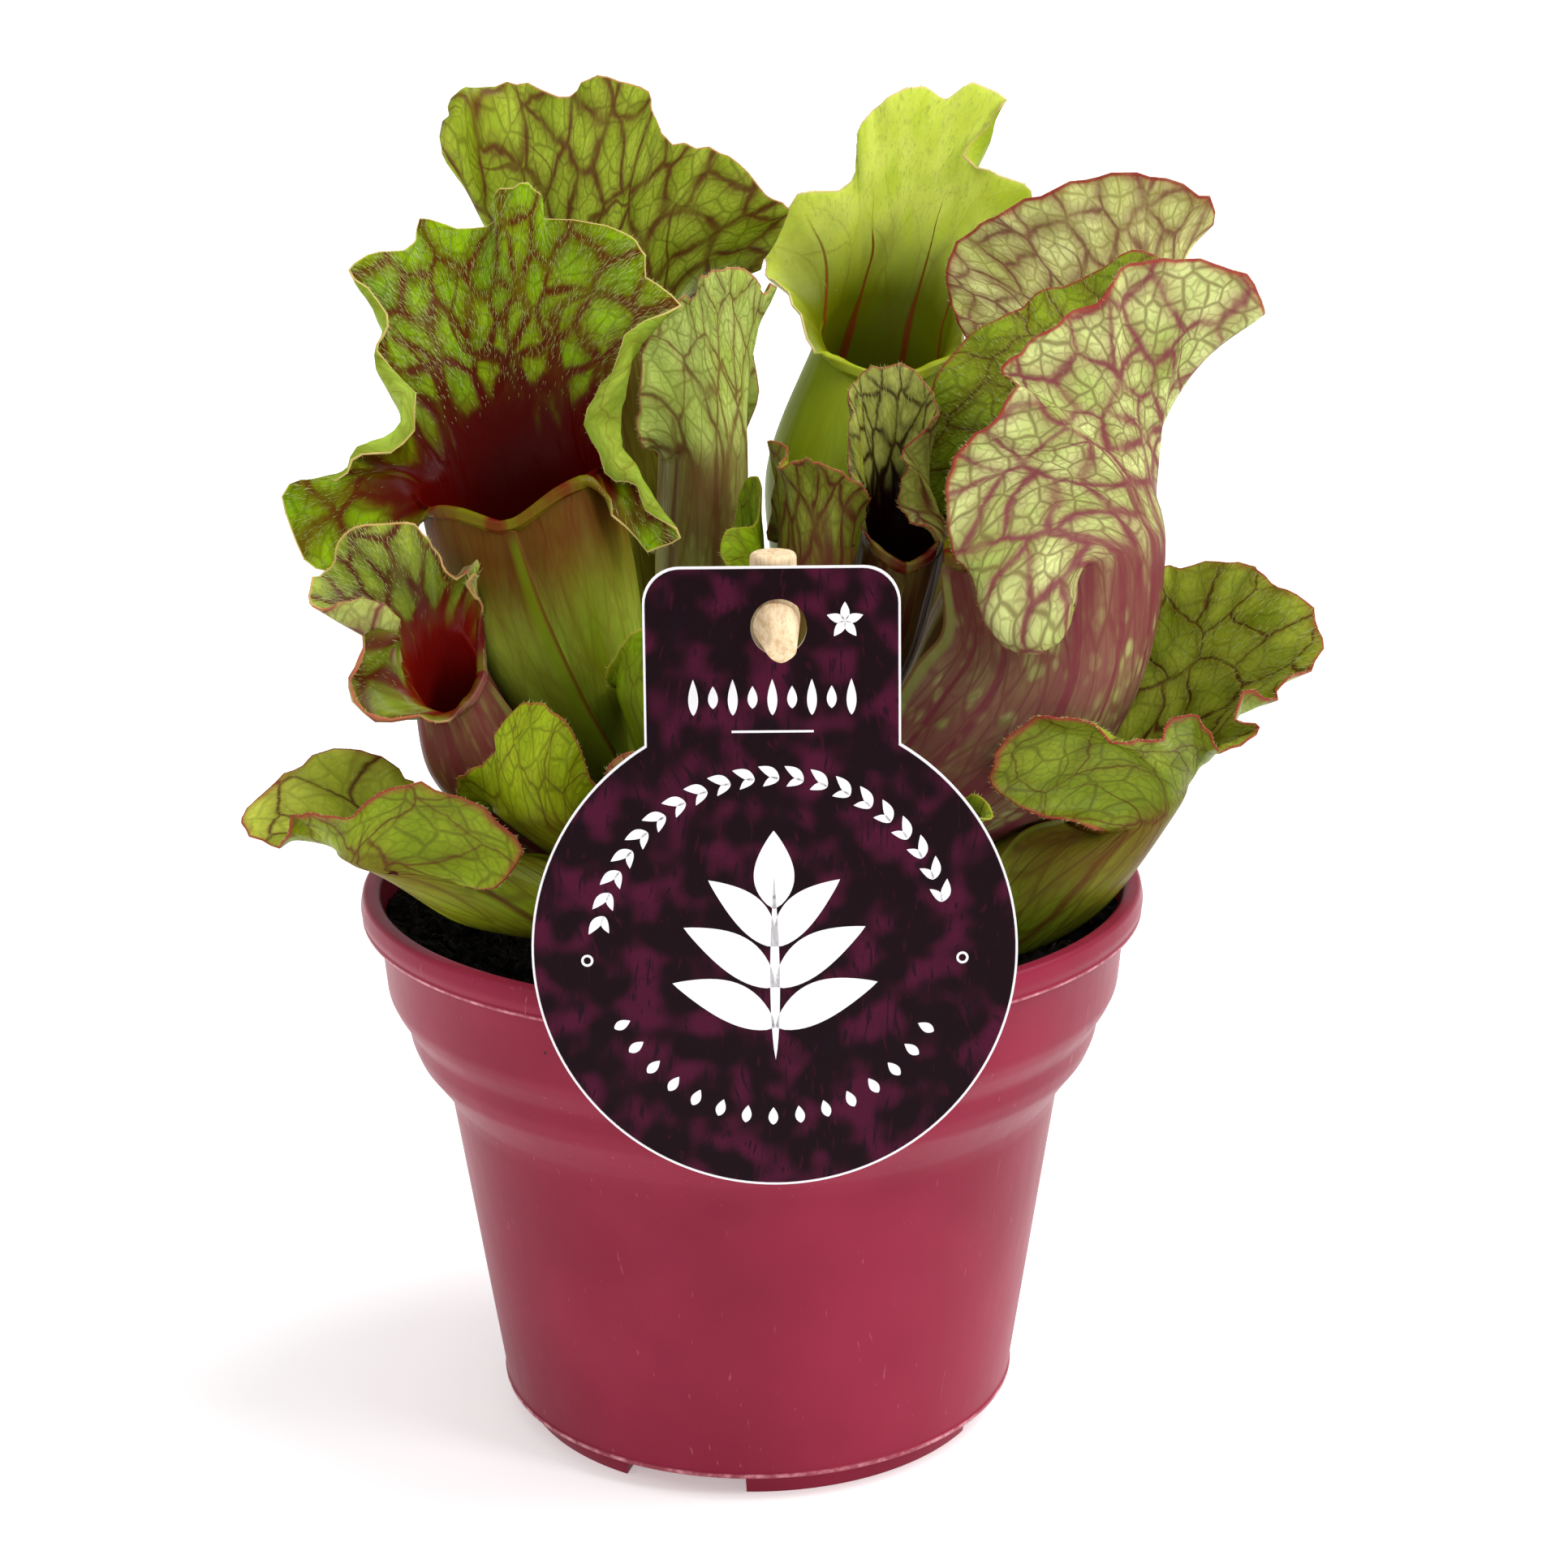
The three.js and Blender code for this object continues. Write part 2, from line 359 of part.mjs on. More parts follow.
// A pitcher is one closed skin: a tube that widens along a bent spine to the mouth, a small rolled lip at the
// front of the mouth, and a hood whose rays run from the mouth to a wavy margin.
class PitcherLeaf {
  constructor(shape) {
    Object.assign(this, LEAF_COMMON, shape);
    this.path = new THREE.CubicBezierCurve3(...this.spine.map(vec));
    this.mouth = this.path.v3;
    this.frontArm = vec(this.front);
    this.sideArm = vec(this.side);
  }

  directionAt(t) {
    return this.path.getTangent(t);
  }

  // Half width of the tube, a smooth curve through the given widths.
  girthAt(t) {
    const widths = this.girth;
    const last = widths.length - 1;
    const step = Math.min(Math.floor(t * last), last - 1);
    const a = t * last - step;
    const p0 = widths[Math.max(step - 1, 0)];
    const p1 = widths[step];
    const p2 = widths[step + 1];
    const p3 = widths[Math.min(step + 2, last)];
    return 0.5 * (2 * p1 + (p2 - p0) * a + (2 * p0 - 5 * p1 + 4 * p2 - p3) * a * a
      + (3 * p1 - p0 - 3 * p2 + p3) * a ** 3);
  }

  // Axes across the tube: towards the front, and to the clockwise side.
  crossAt(t) {
    const along = this.directionAt(t);
    const front = this.frontArm.clone().projectOnPlane(along).normalize();
    const side = this.sideArm.clone().projectOnPlane(along);
    side.addScaledVector(front, -side.dot(front)).normalize();
    return { along, front, side };
  }

  // The mouth's edge at an angle from the front, with the notch of the lip.
  mouthAt(angle) {
    const turned = ((angle + 180) % 360) - 180;
    const drop = this.notch * Math.exp(-((turned / 22) ** 2));
    const rad = THREE.MathUtils.degToRad(angle);
    return this.mouth.clone().addScaledVector(this.frontArm, Math.cos(rad))
      .addScaledVector(this.sideArm, Math.sin(rad)).add(new THREE.Vector3(0, 0, -drop));
  }

  tubePoint(t, angle) {
    const width = this.girthAt(t);
    const deep = width * (1 + (this.depth - 1) * Math.min(1, 2 * t));
    const { front, side } = this.crossAt(t);
    const rad = THREE.MathUtils.degToRad(angle);
    const centre = this.path.getPoint(t);
    const round = centre.clone().addScaledVector(front, Math.cos(rad) * deep)
      .addScaledVector(side, Math.sin(rad) * width);
    const part = Math.max(0, (t - 0.72) / 0.28);
    const blend = part * part * (3 - 2 * part);
    const open = this.mouthAt(angle).sub(this.mouth).multiplyScalar(width / this.sideArm.length()).add(centre);
    return round.lerp(open, blend);
  }

  // Angle and margin point of each column, clockwise from the front. The lip's columns have no margin point.
  columns() {
    const half = (this.lipColumns - 1) / 2;
    const lip = [8];
    for (let k = 1; k < half; k += 1) {
      lip.push(8 + ((this.lipAngle - 8) * k) / half);
    }
    const hood = this.margin.map((point, k) => ({
      angle: this.lipAngle + ((360 - 2 * this.lipAngle) * k) / (this.margin.length - 1),
      point,
    }));
    return [{ angle: 0 }, ...lip.map((angle) => ({ angle })), ...hood,
      ...lip.toReversed().map((angle) => ({ angle: 360 - angle }))];
  }

  // Offsets of a column's curve from the mouth's edge: two handles and the end.
  rayOf({ angle, point }) {
    const start = this.tubePoint(1, angle);
    const along = start.clone().sub(this.tubePoint(0.92, angle)).normalize();
    const out = start.clone().sub(this.mouth).setZ(0).projectOnPlane(along).normalize();
    if (!point) {
      const w = this.lipWidth;
      return [
        along.clone().multiplyScalar(0.33 * w),
        along.clone().multiplyScalar(0.66 * w).addScaledVector(out, 0.15 * w),
        along.clone().multiplyScalar(0.9 * w).addScaledVector(out, 0.5 * w),
      ];
    }
    const end = vec(point).sub(start);
    const bulge = point[3] ?? 0;
    const length = end.length();
    const first = along.multiplyScalar(this.rise * length);
    const second = end.clone().addScaledVector(end.clone().sub(first), -this.lean)
      .addScaledVector(out, (bulge - this.flare) * Math.min(1, length / 12));
    return [first, second, end];
  }

  // Middle surface as rows of points, from the base of the tube to the lip and margin.
  middleSurface() {
    const columns = this.columns();
    const rays = columns.map((column) => this.rayOf(column));
    const hood = columns.flatMap((column, k) => (column.point ? [k] : []));
    columns.forEach((column, k) => {
      if (!column.point) {
        const near = column.angle < 180 ? hood[0] : hood.at(-1);
        const share = (Math.min(column.angle, 360 - column.angle) / this.lipAngle) ** 2 * this.blend;
        rays[k] = rays[k].map((offset, n) => mix(offset, rays[near][n], share));
      }
    });
    let rows = [];
    for (let row = 0; row <= this.tubeRows; row += 1) {
      rows.push(columns.map(({ angle }) => this.tubePoint(row / this.tubeRows, angle)));
    }
    for (let row = 1; row <= this.hoodRows; row += 1) {
      const t = row / this.hoodRows;
      rows.push(rays.map(([first, second, end], k) => rows[this.tubeRows][k].clone()
        .addScaledVector(first, 3 * t * (1 - t) ** 2).addScaledVector(second, 3 * t * t * (1 - t))
        .addScaledVector(end, t ** 3)));
    }
    for (let pass = 0; pass < this.smoothing; pass += 1) {
      rows = this.smoothed(rows, columns);
    }
    return rows;
  }

  smoothed(rows, columns) {
    const count = columns.length;
    return rows.map((row, i) => {
      if (i <= this.tubeRows || i === rows.length - 1) {
        return row;
      }
      return row.map((point, j) => {
        if (!columns[j].point) {
          return point;
        }
        return point.clone().multiplyScalar(0.5)
          .addScaledVector(row[(j + count - 1) % count], 0.125).addScaledVector(row[(j + 1) % count], 0.125)
          .addScaledVector(rows[i - 1][j], 0.125).addScaledVector(rows[i + 1][j], 0.125);
      });
    });
  }

  // Half-thickness vectors at the points of the middle surface. Tight folds and short cells get thinner walls.
  wallOffsets(rows) {
    const count = rows[0].length;
    const sums = rows.map((row) => row.map(() => ({ total: new THREE.Vector3(), faces: 0 })));
    const add = (i, j, normal) => {
      sums[i][j % count].total.add(normal);
      sums[i][j % count].faces += 1;
    };
    for (let i = 0; i + 1 < rows.length; i += 1) {
      for (let j = 0; j < count; j += 1) {
        const a = rows[i][j];
        const b = rows[i][(j + 1) % count];
        const c = rows[i + 1][(j + 1) % count];
        const d = rows[i + 1][j];
        const lower = b.clone().sub(a).cross(c.clone().sub(a)).normalize();
        const upper = c.clone().sub(a).cross(d.clone().sub(a)).normalize();
        for (const [row, column, normal] of [[i, j, lower], [i, j + 1, lower], [i + 1, j + 1, lower],
          [i, j, upper], [i + 1, j + 1, upper], [i + 1, j, upper]]) {
          add(row, column, normal);
        }
      }
    }
    const mean = sums.map((row) => row.map(({ total, faces }) => total.divideScalar(faces)));
    const soft = mean.map((row, i) => row.map((normal, j) => {
      const near = [normal, row[(j + 1) % count], row[(j + count - 1) % count]];
      if (i > 0) {
        near.push(mean[i - 1][j]);
      }
      if (i + 1 < mean.length) {
        near.push(mean[i + 1][j]);
      }
      const total = near.reduce((sum, n) => sum.add(n), new THREE.Vector3());
      return total.divideScalar(near.length);
    }));
    const outward = rows[1][0].clone().sub(this.path.getPoint(1 / this.tubeRows)).dot(soft[1][0]);
    const half = (Math.sign(outward) * this.wall) / 2;
    return soft.map((row, i) => row.map((normal, j) => {
      let thin = 1;
      if (i >= this.tubeRows) {
        const here = rows[i][j];
        const near = [rows[i][(j + 1) % count], rows[i][(j + count - 1) % count], rows[i - 1][j]];
        if (i + 1 < rows.length) {
          near.push(rows[i + 1][j]);
        }
        const step = Math.min(...near.map((point) => point.distanceTo(here)));
        thin = THREE.MathUtils.clamp(step / (1.2 * this.wall), 0.35, 1);
      }
      return normal.clone().multiplyScalar(half * thin);
    }));
  }

  // The wing is a thin fin down the front of the tube.
  addWing(outer) {
    for (let row = 1; row <= this.tubeRows; row += 1) {
      const t = row / this.tubeRows;
      const height = this.wing * Math.sin(Math.PI * Math.min(1, t / 1.12)) ** 0.7;
      outer[row][0].addScaledVector(this.crossAt(t).front, height);
    }
  }

  geometry() {
    const middle = this.middleSurface();
    const offsets = this.wallOffsets(middle);
    const outer = middle.map((row, i) => row.map((point, j) => point.clone().add(offsets[i][j])));
    const inner = middle.map((row, i) => row.map((point, j) => point.clone().sub(offsets[i][j])))
      .slice(this.innerFrom);
    this.addWing(outer);
    const count = middle[0].length;
    const points = [...outer.flat(), ...inner.flat()];
    const outerAt = (i, j) => i * count + (j % count);
    const innerAt = (i, j) => (outer.length + i) * count + (j % count);
    const triangles = [];
    const cell = (at, i, j, turned) => {
      const [a, b, c, d] = [at(i, j), at(i, j + 1), at(i + 1, j + 1), at(i + 1, j)];
      triangles.push(...(turned ? [[a, c, b], [a, d, c]] : [[a, b, c], [a, c, d]]));
    };
    for (let j = 0; j < count; j += 1) {
      for (let i = 0; i + 1 < outer.length; i += 1) {
        cell(outerAt, i, j, false);
      }
      for (let i = 0; i + 1 < inner.length; i += 1) {
        cell(innerAt, i, j, true);
      }
      const [a, b] = [outerAt(outer.length - 1, j), outerAt(outer.length - 1, j + 1)];
      const [c, d] = [innerAt(inner.length - 1, j + 1), innerAt(inner.length - 1, j)];
      triangles.push([a, b, c], [a, c, d]);
    }
    const centreOf = (row) => row.reduce((sum, p) => sum.add(p), new THREE.Vector3()).divideScalar(row.length);
    const base = points.push(centreOf(outer[0])) - 1;
    const floor = points.push(centreOf(inner[0])) - 1;
    for (let j = 0; j < count; j += 1) {
      triangles.push([outerAt(0, j + 1), outerAt(0, j), base]);
      triangles.push([innerAt(0, j), innerAt(0, j + 1), floor]);
    }
    const flipped = this.frontArm.clone().cross(this.sideArm).dot(this.directionAt(1)) < 0;
    this.outer = outer;
    return solid(points, flipped ? triangles.map(([a, b, c]) => [a, c, b]) : triangles);
  }

  // The hole in the soil round the foot of the leaf, and the hollow under a tube that lies low.
  soilHoles() {
    const grow = 1 / Math.cos(Math.PI / HOLE_SIDES);
    const centres = this.outer.map((row) => row.reduce((sum, p) => sum.add(p), new THREE.Vector3())
      .divideScalar(row.length));
    const reach = this.outer.map((row, k) => {
      const widest = Math.max(...row.map((p) => p.distanceTo(centres[k])));
      return (widest + HOLE_CLEARANCE) * grow;
    });
    const holes = [];
    for (let row = 0; row < this.tubeRows; row += 1) {
      const lowest = Math.min(...this.outer[row].map((p) => p.z));
      if (lowest < SOIL_TOP + LOW_TUBE) {
        const ahead = centres[row + 1].clone().sub(centres[row]).setLength(HOLE_OVERRUN);
        const from = centres[row].clone().sub(ahead);
        const to = centres[row + 1].clone().add(ahead);
        holes.push(bar(from, to, reach[row], reach[row + 1], HOLE_SIDES));
      }
    }
    return holes;
  }
}

// Pot, soil and crown
function potGeometry() {
  const cup = toManifold(revolve(POT_WALL, POT_SIDES));
  let feet = toManifold(revolve(FOOT_RING, POT_SIDES));
  for (const quarter of [0, 90]) {
    const slot = new THREE.BoxGeometry(FOOT_SLOT_WIDTH, 100, 8);
    slot.rotateZ(THREE.MathUtils.degToRad(FOOT_SLOT_TURN + quarter));
    feet = feet.subtract(toManifold(slot));
  }
  return fromManifold(cup.add(feet));
}

function soilHeight(x, y) {
  const waves = Math.sin(0.31 * x + 0.7) * Math.cos(0.27 * y - 0.4) + 0.6 * Math.sin(0.55 * x - 0.48 * y);
  return SOIL_TOP + SOIL_BUMP * waves;
}

function soilBody() {
  const top = SOIL_TOP_RADII.map((radius) => [radius, SOIL_TOP]);
  const geometry = revolve([...SOIL_WALL, ...top], POT_SIDES);
  const place = geometry.getAttribute("position");
  for (let k = 0; k < place.count; k += 1) {
    if (place.getZ(k) === SOIL_TOP) {
      place.setZ(k, soilHeight(place.getX(k), place.getY(k)));
    }
  }
  return toManifold(geometry);
}

// Name card and stake
function arc(x, y, radius, from, to, steps) {
  const points = [];
  for (let step = 0; step <= steps; step += 1) {
    const turn = from + ((to - from) * step) / steps;
    points.push(new THREE.Vector2(x + radius * Math.cos(turn), y + radius * Math.sin(turn)));
  }
  return points;
}

function cardGeometry() {
  const half = CARD_NECK / 2;
  const joint = Math.acos(half / CARD_RADIUS);
  const inside = half - CARD_CORNER;
  const top = CARD_HEIGHT - CARD_CORNER;
  const outline = new THREE.Shape([
    ...arc(inside, top, CARD_CORNER, 0, Math.PI / 2, 4),
    ...arc(-inside, top, CARD_CORNER, Math.PI / 2, Math.PI, 4),
    ...arc(0, 0, CARD_RADIUS, Math.PI - joint, 2 * Math.PI + joint, 44),
  ]);
  const geometry = new THREE.ExtrudeGeometry(outline, { depth: CARD_THICKNESS, bevelEnabled: false });
  geometry.translate(0, 0, -CARD_THICKNESS / 2);
  geometry.rotateX(Math.PI / 2 - THREE.MathUtils.degToRad(CARD_LEAN));
  geometry.translate(...CARD_MIDDLE);
  const end = new THREE.Vector3(STAKE_X, PIN_END, PIN_HEIGHT);
  const start = new THREE.Vector3(STAKE_X, STAKE_Y, PIN_HEIGHT);
  const hole = bar(start, end, PIN_RADIUS + GAP, PIN_RADIUS + GAP, 20);
  return fromManifold(toManifold(geometry).subtract(toManifold(hole)));
}

function stakeBody(extra) {
  const foot = new THREE.Vector3(STAKE_X, STAKE_Y, STAKE_BOTTOM - extra);
  const head = new THREE.Vector3(STAKE_X, STAKE_Y, STAKE_TOP);
  const pinStart = new THREE.Vector3(STAKE_X, STAKE_Y, PIN_HEIGHT);
  const pinNeck = new THREE.Vector3(STAKE_X, PIN_END + 1, PIN_HEIGHT);
  const pinEnd = new THREE.Vector3(STAKE_X, PIN_END, PIN_HEIGHT);
  const shoulder = new THREE.Vector3(STAKE_X, STAKE_Y, STAKE_SHOULDER);
  const radius = STAKE_RADIUS + extra;
  const upright = toManifold(bar(shoulder, head, radius, radius, 16))
    .add(toManifold(bar(foot, shoulder, STAKE_POINT + extra, radius, 16)));
  if (extra > 0) {
    return upright;
  }
  return upright.add(toManifold(bar(pinStart, pinNeck, PIN_RADIUS, PIN_RADIUS, 16)))
    .add(toManifold(bar(pinNeck, pinEnd, PIN_RADIUS, PIN_RADIUS - 1, 16)));
}

function crownBody(extra) {
  const foot = new THREE.Vector3(CROWN_AT[0], CROWN_AT[1], 70.5 - extra);
  const waist = new THREE.Vector3(CROWN_AT[0], CROWN_AT[1], 77);
  const head = new THREE.Vector3(CROWN_AT[0], CROWN_AT[1], CROWN_TOP);
  const radius = CROWN_RADIUS + extra;
  return toManifold(bar(foot, waist, radius, radius, 12)).add(toManifold(bar(waist, head, radius, 1, 12)));
}

// Assembly
const group = new THREE.Group();
group.name = "potted_pitcher_plant";

function addPiece(name, geometry, color, roughness) {
  const mesh = new THREE.Mesh(geometry, new THREE.MeshStandardMaterial({ color, roughness, metalness: 0 }));
  mesh.name = name;
  group.add(mesh);
}

const leaves = PITCHERS.map((shape) => new PitcherLeaf(shape));
let soil = soilBody();
for (const leaf of leaves) {
  addPiece(leaf.name, leaf.geometry(), COLOURS[leaf.colour], 0.5);
  for (const hole of leaf.soilHoles()) {
    soil = soil.subtract(toManifold(hole));
  }
}
soil = soil.subtract(stakeBody(GAP)).subtract(crownBody(GAP));
addPiece("soil", fromManifold(soil), COLOURS.soil, 0.95);
addPiece("pot", potGeometry(), COLOURS.pot, 0.4);
addPiece("crown", fromManifold(crownBody(0)), COLOURS.crown, 0.8);
addPiece("name_card", cardGeometry(), COLOURS.card, 0.45);
addPiece("card_stake", fromManifold(stakeBody(0)), COLOURS.wood, 0.7);

// The frame's origin is the middle of the underside of the whole piece.
const bounds = new THREE.Box3().setFromObject(group);
const middle = bounds.getCenter(new THREE.Vector3());
for (const mesh of group.children) {
  mesh.geometry.translate(-middle.x, -middle.y, -bounds.min.z);
}

export default group;
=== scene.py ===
"""Potted pitcher plant: hooded leaves, nursery pot, soil, and a name card on a wooden stake.

Shapes are worked out in millimetres round the pot's axis and placed in the frame in metres.
The front of the plant looks towards -Y.
"""

from __future__ import annotations

import logging
import math
from collections.abc import Iterator
from contextlib import contextmanager
from dataclasses import dataclass, field, replace
from enum import Enum

import bpy
import numpy as np
from mathutils import Euler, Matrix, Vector

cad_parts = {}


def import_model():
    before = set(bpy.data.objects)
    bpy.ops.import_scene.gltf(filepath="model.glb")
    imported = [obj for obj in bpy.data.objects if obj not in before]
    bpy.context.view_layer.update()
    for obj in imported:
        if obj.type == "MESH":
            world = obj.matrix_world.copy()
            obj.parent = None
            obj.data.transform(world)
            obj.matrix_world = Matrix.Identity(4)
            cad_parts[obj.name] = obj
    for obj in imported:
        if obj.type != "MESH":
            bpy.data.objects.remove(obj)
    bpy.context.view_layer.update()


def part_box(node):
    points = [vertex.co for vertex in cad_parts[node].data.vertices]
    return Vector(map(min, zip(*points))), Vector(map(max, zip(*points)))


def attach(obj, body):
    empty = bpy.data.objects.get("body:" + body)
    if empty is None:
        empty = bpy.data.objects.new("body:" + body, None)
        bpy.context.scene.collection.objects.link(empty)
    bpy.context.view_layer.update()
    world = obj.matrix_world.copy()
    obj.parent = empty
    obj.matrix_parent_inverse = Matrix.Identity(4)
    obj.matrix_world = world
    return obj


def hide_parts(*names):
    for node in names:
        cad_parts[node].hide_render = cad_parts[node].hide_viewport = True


logging.basicConfig(level=logging.INFO, format="%(message)s")
LOG = logging.getLogger("pitcher_plant")

Colour = tuple[float, float, float]
MM = 0.001
BODY = "root"
# Millimetres that a unit of a UV map stands for.
UV_REACH = 100.0
# A full turn in radians, rounded, for random angles.
FULL_TURN = 6.28


def srgb(red: int, green: int, blue: int) -> Colour:
    """Linear colour from the 0 to 255 values of a screen colour.

    Args:
        red: Red of the screen colour.
        green: Green of the screen colour.
        blue: Blue of the screen colour.

    Returns:
        The colour as a shader socket takes it.
    """
    def linear(value: float) -> float:
        """Linear value of one channel."""
        share = value / 255
        return share / 12.92 if share <= 0.04045 else ((share + 0.055) / 1.055) ** 2.4

    return (linear(red), linear(green), linear(blue))


def unit(vectors: np.ndarray) -> np.ndarray:
    """Vectors of length one in the same directions."""
    return vectors / (np.linalg.norm(vectors, axis=-1, keepdims=True) + 1e-12)


def smoothstep(values: np.ndarray | float, low: float, high: float) -> np.ndarray:
    """Smooth rise from 0 at low to 1 at high."""
    share = np.clip((np.asarray(values, float) - low) / (high - low), 0.0, 1.0)
    return share * share * (3 - 2 * share)


def waves(values: np.ndarray, seed: int, terms: int = 6, rise: float = 1.0) -> np.ndarray:
    """Smooth seeded noise of period 1 along a line, between about -1 and 1.

    Args:
        values: Places on the line.
        seed: Seed of the phases.
        terms: Number of waves that are added.
        rise: First whole number of waves in the period.

    Returns:
        The noise at each place.
    """
    random = np.random.default_rng(seed)
    total = np.zeros_like(np.asarray(values, float))
    for term in range(terms):
        count = round(rise * (1 + term * 0.75))
        total += np.sin(2 * np.pi * (count * values + random.random())) / math.sqrt(terms)
    return total


@dataclass(frozen=True)
class Site:
    """Place of the plant in the frame: the pot's axis and the surface it stands on."""

    shift: np.ndarray

    def metres(self, points: np.ndarray) -> np.ndarray:
        """Frame points in metres of plant points in millimetres."""
        return (np.asarray(points, float) + self.shift) * MM


# Mesh work


def deselect() -> None:
    """Leaves nothing selected, so that an operator acts on its own piece alone."""
    bpy.ops.object.select_all(action="DESELECT")


def activate(piece: bpy.types.Object) -> None:
    """Selects one piece alone and makes it active."""
    deselect()
    piece.select_set(True)
    bpy.context.view_layer.objects.active = piece


def named(name: str) -> bpy.types.Object:
    """Names the active piece and its mesh."""
    piece = bpy.context.object
    piece.name = name
    piece.data.name = name
    return piece


def reshape(piece: bpy.types.Object, points: np.ndarray) -> None:
    """Gives the vertices of a piece new places, in their order."""
    piece.data.vertices.foreach_set("co", np.ascontiguousarray(points, dtype=np.float32).reshape(-1))
    piece.data.update()


@contextmanager
def editing(piece: bpy.types.Object) -> Iterator[None]:
    """Edit mode on one piece alone, with all of it selected."""
    activate(piece)
    bpy.ops.object.mode_set(mode="EDIT")
    bpy.ops.mesh.select_all(action="SELECT")
    yield
    bpy.ops.object.mode_set(mode="OBJECT")


def weld(piece: bpy.types.Object) -> None:
    """Merges points that lie within a thousandth of a millimetre, and turns all faces outwards."""
    with editing(piece):
        bpy.ops.mesh.remove_doubles(threshold=0.001 * MM)
        bpy.ops.mesh.normals_make_consistent(inside=False)


def raise_ring(site: Site, start: tuple[float, float], profile: list | tuple) -> None:
    """Extrudes the selected ring through further rings round the pot's axis.

    Args:
        site: Place of the pot.
        start: Radius and height of the ring, in millimetres.
        profile: Radius and height of each further ring.
    """
    x, y, _ = site.metres(np.zeros(3))
    radius, height = start
    for new_radius, new_height in profile:
        rise = {"value": (0, 0, (new_height - height) * MM)}
        bpy.ops.mesh.extrude_region_move(TRANSFORM_OT_translate=rise)
        grow = new_radius / radius
        bpy.ops.transform.resize(value=(grow, grow, 1.0), center_override=(x, y, new_height * MM))
        radius, height = new_radius, new_height


def sheet_of(name: str, points: np.ndarray) -> bpy.types.Object:
    """A grid whose rows and columns lie on the given points.

    Args:
        name: Name of the piece.
        points: Places in metres, as rows of columns.

    Returns:
        The piece, with its seams still open.
    """
    rows, columns, _ = points.shape
    deselect()
    bpy.ops.mesh.primitive_grid_add(x_subdivisions=columns - 1, y_subdivisions=rows - 1, size=1.0,
                                    calc_uvs=False)
    piece = named(name)
    reshape(piece, points)
    return piece


def mesh_of(name: str, points: np.ndarray, faces: np.ndarray) -> bpy.types.Object:
    """A piece from points and faces, for small shapes that are repeated many times.

    Args:
        name: Name of the piece.
        points: Places in metres.
        faces: Corner numbers of triangles.

    Returns:
        The piece.
    """
    mesh = bpy.data.meshes.new(name)
    mesh.from_pydata(points.tolist(), [], faces.tolist())
    mesh.update()
    piece = bpy.data.objects.new(name, mesh)
    bpy.context.scene.collection.objects.link(piece)
    return piece


def add_uv(piece: bpy.types.Object, name: str, values: np.ndarray) -> None:
    """Adds a UV map whose values are given for each vertex."""
    corners = np.empty(len(piece.data.loops), dtype=np.int32)
    piece.data.loops.foreach_get("vertex_index", corners)
    layer = piece.data.uv_layers.new(name=name)
    layer.data.foreach_set("uv", values.reshape(-1, 2)[corners].astype(np.float32).reshape(-1))


def apply_modifiers(piece: bpy.types.Object) -> None:
    """Applies every modifier of a piece."""
    activate(piece)
    for modifier in list(piece.modifiers):
        bpy.ops.object.modifier_apply(modifier=modifier.name)


def settle(piece: bpy.types.Object) -> None:
    """Puts a piece's place, turn and scale into its mesh."""
    activate(piece)
    bpy.ops.object.transform_apply(location=True, rotation=True, scale=True)


def carve(piece: bpy.types.Object) -> None:
    """Cuts the active piece out of the given one and removes it."""
    cutter = bpy.context.object
    settle(cutter)
    cut = piece.modifiers.new("cut", "BOOLEAN")
    cut.operation = "DIFFERENCE"
    cut.object = cutter
    apply_modifiers(piece)
    bpy.data.objects.remove(cutter)


def bevel(piece: bpy.types.Object, width: float, segments: int) -> None:
    """Rounds a piece's sharp edges by a width in millimetres."""
    rounding = piece.modifiers.new("bevel", "BEVEL")
    rounding.width = width * MM
    rounding.segments = segments
    rounding.angle_limit = math.radians(50)
    apply_modifiers(piece)


def paint(piece: bpy.types.Object, *materials: bpy.types.Material) -> None:
    """Gives a piece these materials and no others."""
    piece.data.materials.clear()
    for material in materials:
        piece.data.materials.append(material)


def smooth(piece: bpy.types.Object, degrees: float | None = None) -> None:
    """Shades a piece smooth, with creases over an angle if one is given."""
    activate(piece)
    if degrees is None:
        bpy.ops.object.shade_smooth()
    else:
        bpy.ops.object.shade_smooth_by_angle(angle=math.radians(degrees))


def hand_over(piece: bpy.types.Object, slot: str, *nodes: str) -> None:
    """Ties a finished piece to the model: puts it under its body and hides the nodes it stands for.

    Args:
        piece: The finished piece.
        slot: The record's material slot. Not used.
        nodes: Nodes of the model that the piece replaces.
    """
    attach(piece, BODY)
    if nodes:
        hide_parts(*nodes)
    LOG.info("%s: %d faces", piece.name, len(piece.data.polygons))


# Shader work


class Value:
    """An output of a shader graph. Arithmetic on it adds maths nodes to the graph."""

    def __init__(self, graph: Graph, socket: bpy.types.NodeSocket) -> None:
        """Keeps an output and the graph that it belongs to."""
        self.graph = graph
        self.socket = socket

    def __add__(self, other: Value | float) -> Value:
        """Sum."""
        return self.graph.math("ADD", self, other)

    def __sub__(self, other: Value | float) -> Value:
        """Difference."""
        return self.graph.math("SUBTRACT", self, other)

    def __rsub__(self, other: float) -> Value:
        """A number less this value."""
        return self.graph.math("SUBTRACT", other, self)

    def __mul__(self, other: Value | float) -> Value:
        """Product."""
        return self.graph.math("MULTIPLY", self, other)

    def __truediv__(self, other: Value | float) -> Value:
        """Quotient."""
        return self.graph.math("DIVIDE", self, other)

    def __rpow__(self, base: float) -> Value:
        """A number to the power of this value."""
        return self.graph.math("POWER", base, self)

    def __abs__(self) -> Value:
        """Size without its sign."""
        return self.graph.math("ABSOLUTE", self)


